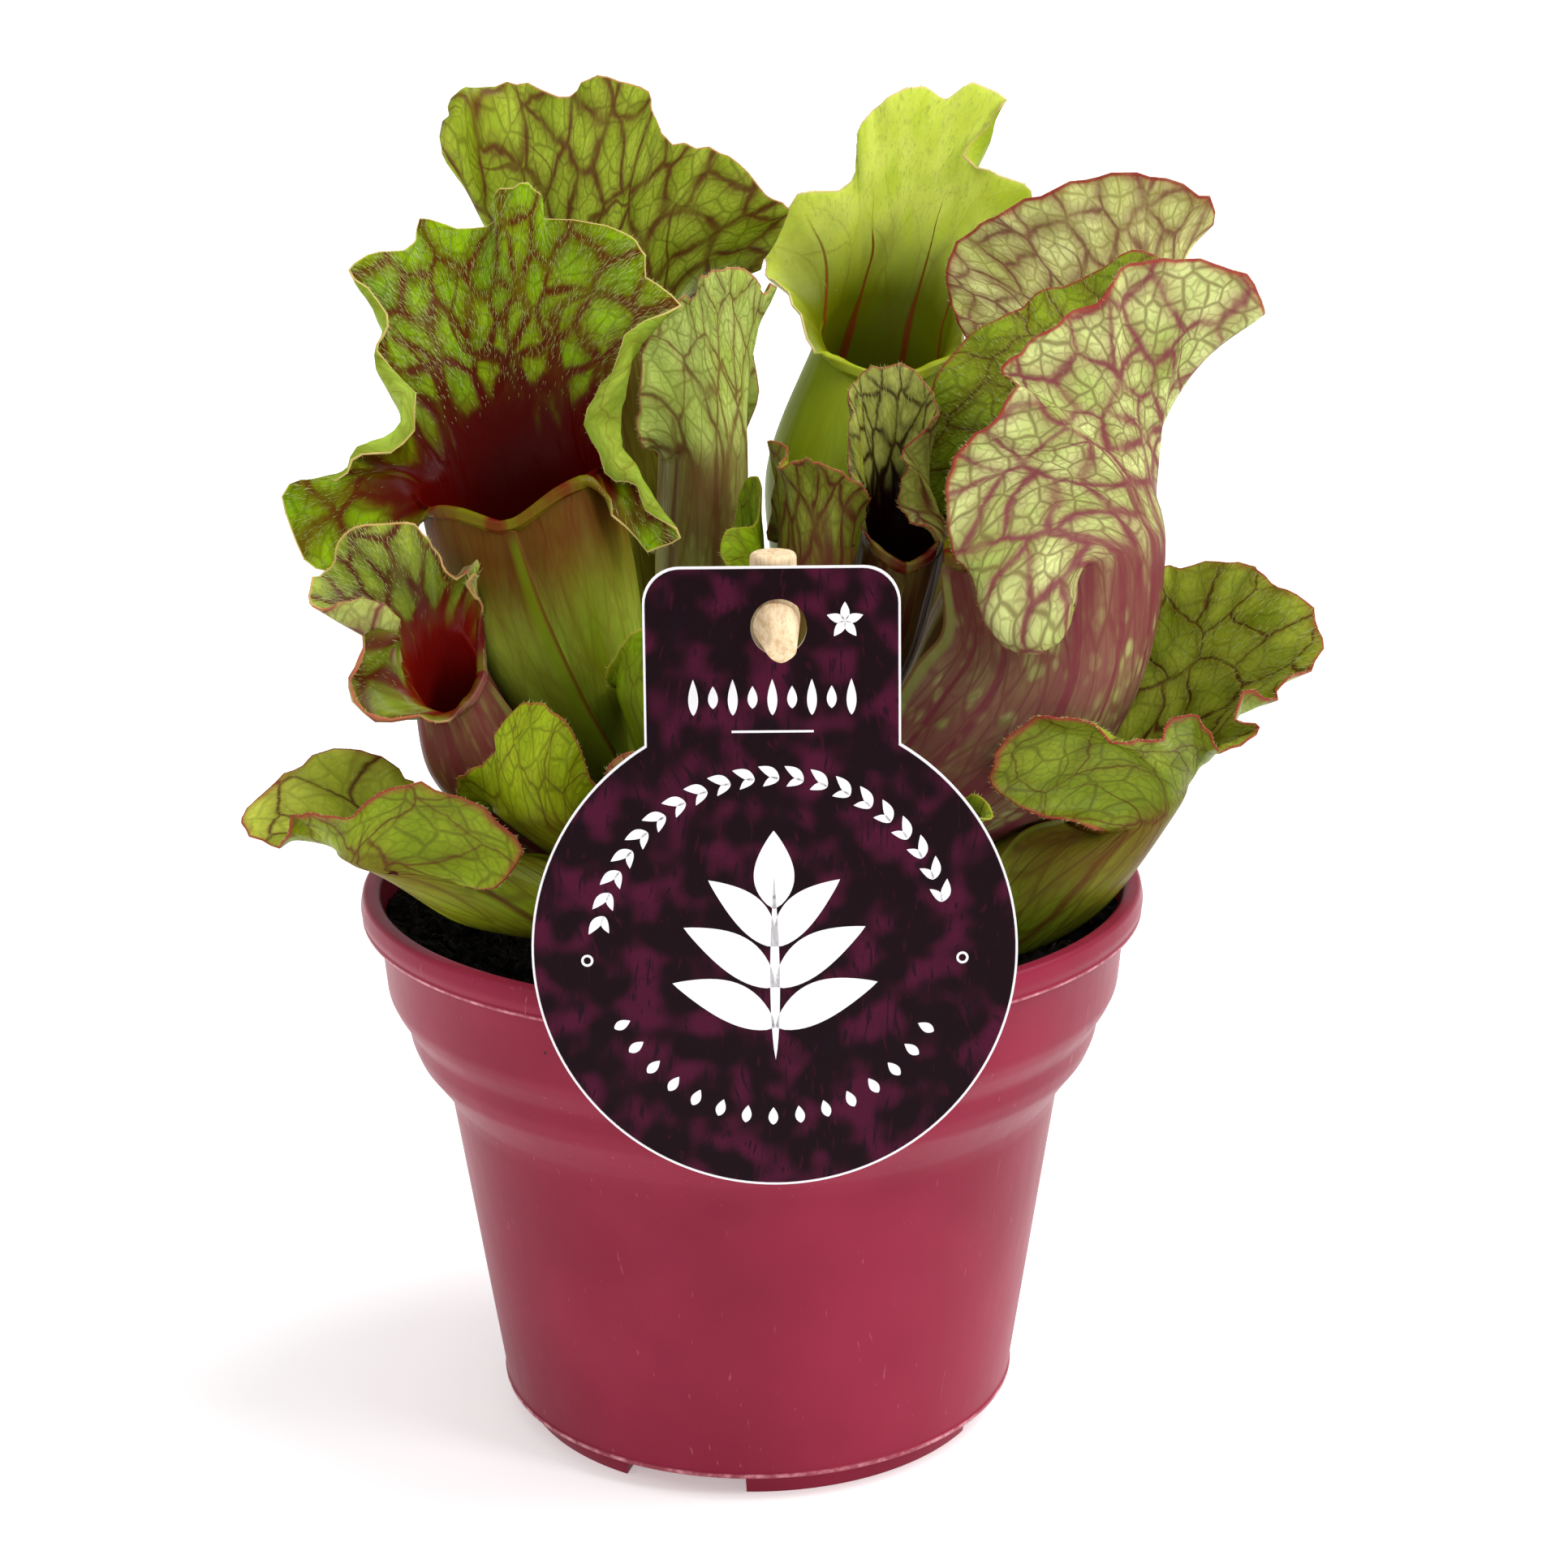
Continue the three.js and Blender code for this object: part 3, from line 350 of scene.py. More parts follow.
# What an input of a node takes.
Input = Value | float | tuple


class Graph:
    """A material's shader graph, with short calls for the nodes that the finishes use."""

    def __init__(self, name: str) -> None:
        """Starts a material with a plain shader.

        Args:
            name: Name of the material.
        """
        self.material = bpy.data.materials.new(name)
        self.material.use_nodes = True
        self.tree = self.material.node_tree
        self.shader = self.tree.nodes["Principled BSDF"]

    def node(self, kind: str, inputs: dict, **settings: str | bool) -> bpy.types.Node:
        """Adds a node.

        Args:
            kind: Type name of the node.
            inputs: Values by input name or number.
            settings: The node's own options.

        Returns:
            The node.
        """
        made = self.tree.nodes.new(kind)
        for key, value in settings.items():
            setattr(made, key, value)
        for key, value in inputs.items():
            self.feed(made.inputs[key], value)
        return made

    def value(self, kind: str, inputs: dict, output: int | str = 0, **settings: str | bool) -> Value:
        """Adds a node and takes one of its outputs."""
        return Value(self, self.node(kind, inputs, **settings).outputs[output])

    def feed(self, target: bpy.types.NodeSocket, value: Input) -> None:
        """Links a value to an input or sets the input's number or colour."""
        if isinstance(value, Value):
            self.tree.links.new(value.socket, target)
        elif isinstance(value, tuple) and len(value) == 3 and target.type == "RGBA":
            target.default_value = (*value, 1.0)
        else:
            target.default_value = value

    def math(self, operation: str, *values: Input, clamp: bool = False) -> Value:
        """Result of a maths node, kept between 0 and 1 on request."""
        return self.value("ShaderNodeMath", dict(enumerate(values)), operation=operation, use_clamp=clamp)

    def larger(self, first: Input, second: Input) -> Value:
        """The larger of two values."""
        return self.math("MAXIMUM", first, second)

    def vector(self, operation: str, *values: Input) -> Value:
        """Vector result of a vector maths node."""
        return self.value("ShaderNodeVectorMath", dict(enumerate(values)), operation=operation)

    def scaled(self, vector: Value, factor: float) -> Value:
        """A vector times a number."""
        return self.value("ShaderNodeVectorMath", {0: vector, "Scale": factor}, operation="SCALE")

    def length(self, vector: Value) -> Value:
        """Length of a vector."""
        return self.value("ShaderNodeVectorMath", {0: vector}, "Value", operation="LENGTH")

    def rise(self, value: Input, low: Input, high: Input, first: Input = 0.0, last: Input = 1.0) -> Value:
        """Smooth change from first to last while the value goes from low to high."""
        return self.value("ShaderNodeMapRange", {0: value, 1: low, 2: high, 3: first, 4: last},
                          interpolation_type="SMOOTHSTEP")

    def mix(self, share: Input, first: Input, second: Input, blend: str = "MIX") -> Value:
        """Mix of two colours."""
        return self.value("ShaderNodeMix", {0: share, 6: first, 7: second}, 2, data_type="RGBA",
                          blend_type=blend)

    def noise(self, vector: Value, scale: float, detail: float = 2.0, rough: float = 0.5,
              output: int = 0) -> Value:
        """Noise from 0 to 1, or as a colour with output 1."""
        inputs = {"Vector": vector, "Scale": scale, "Detail": detail, "Roughness": rough}
        return self.value("ShaderNodeTexNoise", inputs, output)

    def warp(self, vector: Value, scale: float, amount: float) -> Value:
        """A vector that wanders about its place."""
        centred = self.vector("SUBTRACT", self.noise(vector, scale, 1.0, output=1), (0.5, 0.5, 0.5))
        return self.vector("ADD", vector, self.scaled(centred, amount))

    def voronoi(self, vector: Value, scale: float, output: str, feature: str, randomness: float) -> Value:
        """An output of flat random cells."""
        inputs = {"Vector": vector, "Scale": scale, "Randomness": randomness}
        return self.value("ShaderNodeTexVoronoi", inputs, output, voronoi_dimensions="2D", feature=feature)

    def borders(self, vector: Value, scale: float, randomness: float = 1.0) -> Value:
        """Distance to the nearest border between cells, in the vector's own measure."""
        return self.voronoi(vector, scale, "Distance", "DISTANCE_TO_EDGE", randomness) / scale

    def cells(self, vector: Value, scale: float, randomness: float = 1.0) -> Value:
        """A random value for each cell."""
        tint = self.voronoi(vector, scale, "Color", "F1", randomness)
        return self.value("ShaderNodeSeparateColor", {0: tint})

    def dots(self, vector: Value, spacing: float, share: float) -> tuple[Value, Value]:
        """Distance to scattered points, and whether a point is one of the chosen share."""
        made = self.node("ShaderNodeTexVoronoi", {"Vector": vector, "Scale": 1 / spacing})
        distance, tint = (Value(self, made.outputs[name]) for name in ("Distance", "Color"))
        pick = self.value("ShaderNodeSeparateColor", {0: tint})
        return distance * spacing, self.math("LESS_THAN", pick, share)

    def uv(self, name: str) -> Value:
        """A UV map as a vector."""
        return self.value("ShaderNodeUVMap", {}, uv_map=name)

    def parts(self, vector: Value) -> tuple[Value, ...]:
        """The x, y and z of a vector."""
        split = self.node("ShaderNodeSeparateXYZ", {0: vector})
        return tuple(Value(self, socket) for socket in split.outputs)

    def place(self) -> Value:
        """Object coordinates in millimetres."""
        return self.scaled(self.value("ShaderNodeTexCoord", {}, "Object"), 1 / MM)

    def relief(self, height: Value, strength: float, distance: float) -> None:
        """Raises the surface by a height, over what is raised already."""
        inputs = {"Height": height, "Strength": strength, "Distance": distance}
        for link in self.shader.inputs["Normal"].links:
            inputs["Normal"] = Value(self, link.from_socket)
        self.feed(self.shader.inputs["Normal"], self.value("ShaderNodeBump", inputs))

    def finish(self, **values: Input) -> bpy.types.Material:
        """Sets the shader's own inputs.

        Args:
            values: Values by input name, with _ for a space.

        Returns:
            The material.
        """
        for key, value in values.items():
            self.feed(self.shader.inputs[key.replace("_", " ")], value)
        return self.material


# Leaf finishes


@dataclass(frozen=True)
class LeafFace:
    """Colours and vein pattern of one side of a leaf. Lengths are in millimetres.

    Attributes:
        base, light: The two greens that the tissue clouds between.
        vein, throat, edge, lip: Colours of the veins, the mouth's inside, the margin and the rolled lip.
        cell: Size of the cells between the main veins.
        near, far, tube: Half widths of the veins by the mouth, out on the hood and down the tube.
        reach: How far up the hood the wide veins run.
        throat_reach: How far the throat's colour runs up the back of the hood.
        throat_side: Share of reach and throat_reach that is lost for each turn away from the back.
        fine: Strength of the side veins and the finest ones.
        long_veins: Number of long veins round the leaf.
        net: Strength of the net of main veins.
        edge_width: Width of the coloured margin.
        blush, flush_top, streak: Strength of the tube's flush, the height where it starts, and its least
            strength between streaks.
        spots: How far pale spots clear the flush.
        halo: Strength of the glow along the veins.
        strength: Strength of the main veins.
        fringe: Strength of the red fringe inside the margin.
        under: Share of the throat's colour outside, under the lip: partly red flush, partly painted shade.
        over: Strength of veins drawn over the throat's colour.
        sway: How far the long veins wander, in veins.
        roughness, shine: The surface's own roughness and specular level.
    """

    base: Colour
    light: Colour
    vein: Colour
    throat: Colour
    edge: Colour
    lip: Colour
    cell: float = 6.0
    near: float = 0.5
    far: float = 0.2
    reach: float = 16.0
    tube: float = 0.5
    throat_reach: float = 8.0
    throat_side: float = 0.5
    fine: float = 0.4
    long_veins: float = 12.0
    net: float = 1.0
    edge_width: float = 0.4
    blush: float = 0.0
    flush_top: float = 10.0
    streak: float = 0.45
    spots: float = 0.0
    halo: float = 0.4
    strength: float = 0.92
    fringe: float = 0.0
    under: float = 0.55
    over: float = 0.0
    sway: float = 1.6
    roughness: float = 0.42
    shine: float = 0.10


class LeafPaint:
    """Material of one side of a leaf: cells of tissue between veins that widen towards the throat."""

    # Height above the mouth, in millimetres, at which the tube's own look has fully taken over.
    TUBE_FROM = -9.0

    def __init__(self, name: str, look: LeafFace, inner: bool, lip_angle: float) -> None:
        """Starts the material and reads the leaf's maps.

        Args:
            name: Name of the material.
            look: Colours and sizes of the side.
            inner: Whether the side faces the mouth.
            lip_angle: Degrees that the lip spans to either side of the front.
        """
        self.graph = graph = Graph(name)
        self.look = look
        self.inner = inner
        self.lip_angle = lip_angle
        self.net = graph.scaled(graph.uv("net"), UV_REACH)
        self.height, self.rim, _ = graph.parts(graph.scaled(graph.uv("span"), UV_REACH))
        self.fan, _, _ = graph.parts(graph.uv("fan"))
        self.back = abs(self.fan - 0.5)
        self.low = graph.rise(self.height, 0.0, self.TUBE_FROM)
        self.patch = graph.noise(self.net, 0.16)
        self.grain = graph.noise(self.net, 2.4, 2.0, 0.6)

    def spread(self) -> Value:
        """Half width of the veins: widest by the mouth, thin out on the hood."""
        graph, look = self.graph, self.look
        above = graph.larger(self.height, 0.0)
        halving = self.back * (-look.throat_side * look.reach * 0.54) + look.reach * 0.6
        fade = 0.5 ** (above / graph.larger(halving, 1.0))
        hood = fade * (look.near - look.far) + look.far
        width = hood * (1.0 - self.low) + self.low * look.tube
        return width * (self.patch * 1.1 + 0.45) * (graph.noise(self.net, 0.35) * 1.8 + 0.1)

    def rays(self, spread: Value, soft: Value) -> Value:
        """Long veins that fan out from the mouth.

        Args:
            spread: Half width of the veins.
            soft: Width over which their sides fade.

        Returns:
            Their strength.
        """
        graph, look = self.graph, self.look
        sway = graph.noise(self.net, 0.055) * (2 * look.sway) - look.sway
        lane = graph.math("FRACT", self.fan * look.long_veins + sway)
        off = abs(lane - 0.5) * (graph.length(self.net) * (FAN_ANGLE / max(look.long_veins, 1.0)))
        width = spread * 1.25
        strength = graph.rise(off, width - soft, width + soft, 1.0, 0.0)
        strength = strength * graph.rise(self.rim, 1.0, 16.0, 0.1, 1.0)
        return strength * graph.rise(spread, 0.01, 0.09, 0.0, 0.9)

    def veins(self) -> tuple[Value, Value, Value]:
        """The main veins, the glow along them, and a random value for each cell between them."""
        graph, look = self.graph, self.look
        spread = self.spread()
        soft = spread * 0.6 + 0.08
        wander = graph.warp(graph.warp(graph.warp(self.net, 0.12, 3.6), 0.5, 1.0), 1.5, 0.3)
        border = graph.borders(wander, 1 / look.cell, 0.95)
        webs = graph.rise(border, spread - soft, spread + soft, 1.0, 0.0)
        weak = graph.rise(graph.noise(self.net, 0.27, 1.0), 0.34, 0.56, 0.6, 1.0) * (self.low * -0.8 + 1.0)
        glow = graph.rise(border, spread, spread * 1.5 + 1.3, 1.0, 0.0) * look.net
        veins = graph.larger(webs * weak * look.net, self.rays(spread, soft)) * look.strength
        return veins, glow, graph.cells(wander, 1 / look.cell, 0.95)

    def hatch(self) -> Value:
        """The side veins and the finest veins between them."""
        graph, look = self.graph, self.look
        side = graph.borders(graph.warp(self.net, 0.4, 1.1), 2.3 / look.cell)
        finest = graph.borders(graph.warp(self.net, 0.9, 0.6), 1 / 0.95)
        return graph.larger(graph.rise(side, 0.03, 0.26, look.fine, 0.0),
                            graph.rise(finest, 0.02, 0.16, look.fine * 0.5, 0.0))

    def tissue(self, glow: Value, cell: Value, hatch: Value) -> Value:
        """Colour of the tissue between the main veins.

        Args:
            glow: Glow along the main veins.
            cell: A random value for each cell.
            hatch: The fine veins.

        Returns:
            The colour.
        """
        graph, look = self.graph, self.look
        tissue = graph.mix(graph.rise(self.patch, 0.3, 0.7), look.base, look.light)
        tissue = graph.mix(cell * 0.45, tissue, look.light)
        speckle = graph.math("MULTIPLY_ADD", self.grain, 0.7, -0.15, clamp=True)
        tissue = graph.mix(speckle, tissue, graph.mix(0.6, look.base, look.light, "MULTIPLY"))
        tissue = graph.mix(glow * look.halo, tissue, look.vein)
        fine = graph.mix(0.5, graph.mix(1.0, look.base, look.base, "MULTIPLY"), look.vein)
        return graph.mix(hatch * 0.85, tissue, fine)

    def flushed(self, tissue: Value) -> Value:
        """The tissue with the tube's flush of vein colour, and the pale spots in that."""
        graph, look = self.graph, self.look
        if look.blush <= 0:
            return tissue
        skin = graph.value("ShaderNodeCombineXYZ", {0: self.fan * 80.0, 1: self.height * (1 / 1.7)})
        flush = graph.rise(self.height, look.flush_top, self.TUBE_FROM) * look.blush
        flush = flush * graph.rise(graph.noise(skin, 0.07, 3.0), 0.32, 0.62, look.streak, 1.0)
        if look.spots > 0:
            far, _ = graph.dots(graph.warp(skin, 0.35, 1.2), 2.2, 1.0)
            dot = graph.rise(far, 0.4, 1.05, 1.0, 0.0)
            dot = dot * graph.rise(graph.noise(skin, 0.13), 0.40, 0.58, 0.3, 1.0)
            flush = flush * (dot * -look.spots + 1.0)
        return graph.mix(flush, tissue, look.vein)

    def throated(self, colour: Value, veins: Value) -> Value:
        """The colour with the dark throat, which runs up along the veins, and partly painted shade under the
        lip outside.
        """
        graph, look = self.graph, self.look
        reach = self.back * (-look.throat_reach * look.throat_side) + look.throat_reach
        reach = reach * (self.patch * 1.4 + 0.3) * (veins * 0.7 + 0.75)
        dark = graph.rise(self.height, reach * 0.25, reach + 4.0, 1.0, 0.0)
        # Outside, the throat's colour just under the lip is partly the red flush there and partly painted
        # shade under the lip.
        if not self.inner:
            dark = dark * graph.rise(self.height, -22.0, -4.0, 0.0, look.under)
        colour = graph.mix(dark, colour, look.throat)
        return graph.mix(veins * look.over, colour, look.vein) if look.over > 0 else colour

    def edged(self, colour: Value) -> Value:
        """The colour with the thin margin and the fringe inside it."""
        graph, look = self.graph, self.look
        band = graph.rise(self.rim, look.edge_width * 0.6, look.edge_width * 1.8, 1.0, 0.0)
        ragged = graph.math("MULTIPLY", band, graph.noise(self.net, 0.35) * 0.9 + 0.45, clamp=True)
        colour = graph.mix(ragged, colour, look.edge)
        if look.fringe > 0:
            fringe = graph.rise(self.rim, 0.2, 1.7, look.fringe, 0.0)
            fringe = fringe * graph.rise(graph.noise(self.net, 0.14), 0.38, 0.6, 0.1, 1.0)
            colour = graph.mix(fringe, colour, look.edge)
        return colour

    def lipped(self, colour: Value, bead: Value) -> Value:
        """The colour with the mottled lip and, outside, the red crest of the wing below it.

        Args:
            colour: The colour so far.
            bead: Where the lip's rolled bead is.

        Returns:
            The colour.
        """
        graph, look = self.graph, self.look
        blotch = graph.rise(graph.noise(self.net, 0.22), 0.36, 0.64)
        mottle = graph.mix(blotch, look.lip, graph.mix(0.45, look.lip, look.base))
        colour = graph.mix(bead, colour, graph.mix(0.9, look.lip, mottle))
        if self.inner:
            return colour
        tube = graph.rise(self.height, 0.5, -3.0)
        flank = graph.rise(self.back, 0.486, 0.494) * tube
        colour = graph.mix(flank * 0.6, colour, look.base)
        crest = graph.rise(self.back, 0.4966, 0.4986) * tube
        return graph.mix(crest * 0.75, colour, look.lip)

    def material(self) -> bpy.types.Material:
        """The finished material."""
        graph, look = self.graph, self.look
        veins, glow, cell = self.veins()
        hatch = self.hatch()
        colour = self.flushed(self.tissue(glow, cell, hatch))
        colour = graph.mix(veins, colour, graph.mix(self.grain * 0.4, look.vein, look.throat))
        colour = self.edged(self.throated(colour, veins))
        front = graph.rise(self.back, 0.5 - self.lip_angle / 345, 0.5 - self.lip_angle / 430)
        bead = front * graph.rise(self.rim, 1.6, 2.8, 1.0, 0.0)
        colour = self.lipped(colour, bead)
        graph.relief(1.0 - graph.larger(veins, hatch * 0.4), 0.5, 0.3 * MM)
        graph.relief(self.grain, 0.35, 0.12 * MM)
        gloss = bead * -0.18 + (self.grain * 0.25 + (look.roughness - 0.12))
        return graph.finish(Base_Color=colour, Roughness=gloss, Specular_IOR_Level=look.shine,
                            Subsurface_Weight=0.10, Subsurface_Radius=(1.0, 1.0, 0.3),
                            Subsurface_Scale=0.0010)


@dataclass(frozen=True)
class LeafFinish:
    """The outer and the inner face of a leaf."""

    slot: str
    outer: LeafFace
    inner: LeafFace

    def materials(self, name: str, lip_angle: float) -> list[bpy.types.Material]:
        """Materials of the outer and the inner face of a leaf whose lip spans the angle either way."""
        return [LeafPaint(f"{name}_outer", self.outer, False, lip_angle).material(),
                LeafPaint(f"{name}_inner", self.inner, True, lip_angle).material()]


PALE_EDGE = srgb(208, 182, 112)
RED_EDGE = srgb(142, 54, 44)
DARK_RED = srgb(50, 2, 1)
LIP_RED = srgb(96, 20, 12)

PALE_OUTER = LeafFace(
    base=srgb(154, 170, 82), light=srgb(216, 220, 148), vein=srgb(118, 48, 61), throat=srgb(108, 42, 44),
    edge=RED_EDGE, lip=LIP_RED, cell=4.6, near=0.78, far=0.13, reach=24, tube=0.5, throat_reach=3, fine=0.85,
    long_veins=11, blush=0.8, flush_top=16, streak=0.75, spots=0.98, halo=0.4, roughness=0.5, strength=0.9,
    fringe=0.7,
)
HAIRY_INNER = LeafFace(
    base=srgb(120, 144, 14), light=srgb(164, 184, 40), vein=srgb(92, 32, 16), throat=DARK_RED, edge=RED_EDGE,
    lip=LIP_RED, cell=4.4, near=0.6, far=0.08, reach=10, tube=1.4, throat_reach=8, fine=0.5, long_veins=11,
    strength=0.85,
)
DEEP_OUTER = LeafFace(
    base=srgb(134, 154, 18), light=srgb(182, 198, 64), vein=srgb(90, 38, 18), throat=srgb(84, 28, 14),
    edge=srgb(180, 130, 80), lip=LIP_RED, cell=5.8, near=0.62, far=0.24, reach=26, tube=0.7, throat_reach=4,
    fine=0.6, long_veins=7, edge_width=0.16, blush=0.4, strength=0.85,
)
GOLDEN_OUTER = LeafFace(
    base=srgb(150, 172, 18), light=srgb(184, 202, 50), vein=srgb(140, 120, 24), throat=srgb(118, 130, 8),
    edge=PALE_EDGE, lip=srgb(150, 160, 30), cell=7, near=0.03, far=0.02, reach=10, tube=0.03, throat_reach=1,
    fine=0.15, long_veins=8, net=0.3, edge_width=0.35, shine=0.16,
)
LOW_OUTER = LeafFace(
    base=srgb(100, 118, 10), light=srgb(144, 160, 42), vein=srgb(82, 36, 14), throat=srgb(92, 40, 20),
    edge=RED_EDGE, lip=LIP_RED, cell=6.2, near=0.13, far=0.05, reach=14, tube=0.16, throat_reach=2,
    fine=0.55, long_veins=6, edge_width=0.2, blush=0.08, halo=0.22, strength=0.8, fringe=0.8,
)
LOW_INNER = LeafFace(
    base=srgb(118, 136, 14), light=srgb(178, 190, 60), vein=srgb(84, 38, 14), throat=srgb(62, 8, 4),
    edge=RED_EDGE, lip=LIP_RED, cell=5.6, near=0.5, far=0.08, reach=14, tube=0.6, throat_reach=9,
    fine=0.35, long_veins=6, edge_width=0.2, halo=0.28, fringe=0.7,
)
PLAIN_OUTER = LeafFace(
    base=srgb(114, 146, 6), light=srgb(152, 182, 26), vein=srgb(100, 88, 14), throat=srgb(90, 104, 6),
    edge=srgb(150, 146, 40), lip=srgb(130, 118, 24), cell=3.4, near=0.05, far=0.03, reach=8, tube=0.05,
    throat_reach=1, fine=0.4, long_veins=6, edge_width=0.25,
)
GREEN_OUTER = LeafFace(
    base=srgb(146, 168, 8), light=srgb(182, 200, 34), vein=srgb(98, 66, 16), throat=srgb(90, 56, 14),
    edge=srgb(146, 80, 40), lip=LIP_RED, cell=5.2, near=0.1, far=0.05, reach=14, tube=0.1, throat_reach=1,
    fine=0.6, long_veins=6, edge_width=0.25, halo=0.2, strength=0.75,
)
BUD_OUTER = LeafFace(
    base=srgb(196, 164, 92), light=srgb(214, 186, 112), vein=srgb(146, 74, 58), throat=srgb(136, 70, 54),
    edge=srgb(160, 80, 62), lip=LIP_RED, cell=2.6, near=0.15, far=0.1, reach=10, tube=0.15, throat_reach=1,
    fine=0.4, long_veins=6, edge_width=0.25,
)


class Skin(Enum):
    """The leaves' finishes."""

    FRONT_LEFT = LeafFinish(
        "leaf_green_veined",
        # Outside: a strong band of throat colour under the lip, partly red flush and partly painted shade
        # under the lip.
        LeafFace(base=srgb(108, 132, 10), light=srgb(166, 190, 70), vein=srgb(104, 60, 14), edge=PALE_EDGE,
                 throat=srgb(84, 8, 4), lip=srgb(100, 46, 16), cell=4.6, near=0.04, far=0.03, reach=14,
                 tube=0.03, throat_reach=7, fine=0.25, long_veins=5, edge_width=0.2, blush=0.18, halo=0.2,
                 roughness=0.48, shine=0.05, strength=0.55, under=0.85),
        LeafFace(base=srgb(102, 142, 2), light=srgb(154, 190, 16), vein=srgb(88, 18, 8), edge=PALE_EDGE,
                 throat=srgb(72, 3, 1), lip=LIP_RED, cell=4.3, near=1.1, far=0.16, reach=26, tube=2.5,
                 throat_reach=20, throat_side=2.15, fine=0.5, long_veins=13, edge_width=0.16, halo=0.5,
                 roughness=0.3, shine=0.05, strength=0.88),
    )
    DEEP = LeafFinish(
        "leaf_deep_green",
        DEEP_OUTER,
        replace(DEEP_OUTER, base=srgb(122, 146, 18), light=srgb(172, 194, 74), vein=srgb(88, 30, 20),
                throat=DARK_RED, near=0.7, far=0.26, tube=1.4, throat_reach=12, fine=0.45, long_veins=8,
                blush=0.0, strength=0.92),
    )
    BACK_MIDDLE = LeafFinish(
        "leaf_green_veined",
        LeafFace(base=srgb(178, 198, 84), light=srgb(214, 230, 130), vein=srgb(116, 74, 42), lip=LIP_RED,
                 throat=srgb(96, 48, 26), edge=srgb(176, 112, 80), cell=5.0, near=0.36, far=0.12, reach=16,
                 tube=0.5, throat_reach=2, fine=0.62, long_veins=5, edge_width=0.25, blush=0.55, spots=0.7,
                 halo=0.3, strength=0.8),
        HAIRY_INNER,
    )
    GOLDEN = LeafFinish(
        "leaf_yellow_green",
        GOLDEN_OUTER,
        # Inside, the olive throat colour that runs far up the hood is painted shade deepening into the mouth.
        replace(GOLDEN_OUTER, base=srgb(190, 210, 44), light=srgb(236, 246, 112), vein=srgb(132, 40, 10),
                throat=srgb(104, 112, 1), edge=srgb(222, 200, 140), near=0.6, far=0.0, reach=9, tube=0.5,
                throat_reach=24, throat_side=0.0, fine=0.06, net=0.1, edge_width=0.25, halo=0.2, sway=0.5,
                over=1.0),
    )
    FAR_RIGHT = LeafFinish(
        "leaf_pale_green",
        LeafFace(base=srgb(198, 204, 116), light=srgb(244, 244, 172), vein=srgb(124, 66, 58), edge=RED_EDGE,
                 throat=srgb(96, 44, 36), lip=LIP_RED, cell=4.4, near=0.55, far=0.16, reach=24, tube=0.7,
                 throat_reach=3, fine=0.68, long_veins=12, blush=0.5, halo=0.5, roughness=0.48,
                 strength=0.8, fringe=0.7),
        HAIRY_INNER,
    )
    ROSY = LeafFinish("leaf_rosy", PALE_OUTER, HAIRY_INNER)
    DARK = LeafFinish(
        "leaf_maroon",
        LeafFace(base=srgb(140, 148, 56), light=srgb(176, 182, 88), vein=srgb(86, 34, 24), edge=RED_EDGE,
                 throat=srgb(64, 16, 12), lip=LIP_RED, cell=3.2, near=0.4, far=0.14, reach=14, tube=0.6,
                 throat_reach=3, fine=0.4, long_veins=9, edge_width=0.25, blush=0.8),
        LeafFace(base=srgb(172, 180, 64), light=srgb(216, 220, 118), vein=srgb(62, 24, 10), lip=LIP_RED,
                 throat=srgb(26, 2, 2), edge=srgb(150, 84, 60), cell=3.0, near=0.55, far=0.10, reach=13,
                 tube=2.4, throat_reach=9, throat_side=0.4, fine=0.35, long_veins=9, edge_width=0.25,
                 roughness=0.3),
    )
    SLIM = LeafFinish(
        "leaf_green_veined",
        LeafFace(base=srgb(118, 130, 30), light=srgb(154, 164, 56), vein=srgb(90, 40, 26), lip=LIP_RED,
                 throat=srgb(84, 32, 22), edge=srgb(150, 80, 50), cell=3.6, near=0.35, far=0.15, reach=16,
                 tube=0.4, throat_reach=2, fine=0.45, long_veins=8, edge_width=0.25, blush=0.5),
        HAIRY_INNER,
    )
    PLAIN = LeafFinish(
        "leaf_yellow_green",
        PLAIN_OUTER,
        replace(PLAIN_OUTER, base=srgb(112, 144, 6), light=srgb(150, 180, 24), vein=srgb(96, 78, 14),
                throat=srgb(70, 76, 4), near=0.08, far=0.04, tube=0.1, throat_reach=3, fine=0.35),
    )
    LOW = LeafFinish("leaf_green_veined", LOW_OUTER, LOW_INNER)
    LOW_LEFT = LeafFinish(
        "leaf_green_veined",
        replace(LOW_OUTER, base=srgb(110, 130, 6), light=srgb(152, 170, 36), vein=srgb(88, 30, 18)),
        replace(LOW_INNER, base=srgb(146, 164, 18), light=srgb(208, 214, 84), near=0.35),
    )
    CURLED = LeafFinish(
        "leaf_green_veined",
        LeafFace(base=srgb(140, 152, 66), light=srgb(190, 198, 108), vein=srgb(112, 48, 52),
                 throat=srgb(112, 40, 40), edge=srgb(176, 100, 72), lip=srgb(140, 70, 72), cell=3.8, near=0.5,
                 far=0.12, reach=14, tube=0.7, throat_reach=3, fine=0.5, long_veins=8, edge_width=0.25,
                 blush=0.8, spots=0.9, fringe=0.4),
        LeafFace(base=srgb(112, 136, 12), light=srgb(172, 188, 60), vein=srgb(70, 16, 12), lip=LIP_RED,
                 throat=srgb(116, 12, 7), edge=srgb(200, 160, 100), cell=3.6, near=0.85, far=0.22, reach=14,
                 tube=1.4, throat_reach=7, fine=0.25, long_veins=11, edge_width=0.22, roughness=0.32,
                 shine=0.14),
    )
    LOW_GREEN = LeafFinish(
        "leaf_green_veined",
        GREEN_OUTER,
        replace(GREEN_OUTER, base=srgb(148, 172, 8), light=srgb(184, 202, 34), vein=srgb(98, 68, 16),
                throat=srgb(84, 44, 10), cell=5.0, near=0.14, far=0.04, reach=12, tube=0.15, throat_reach=3),
    )
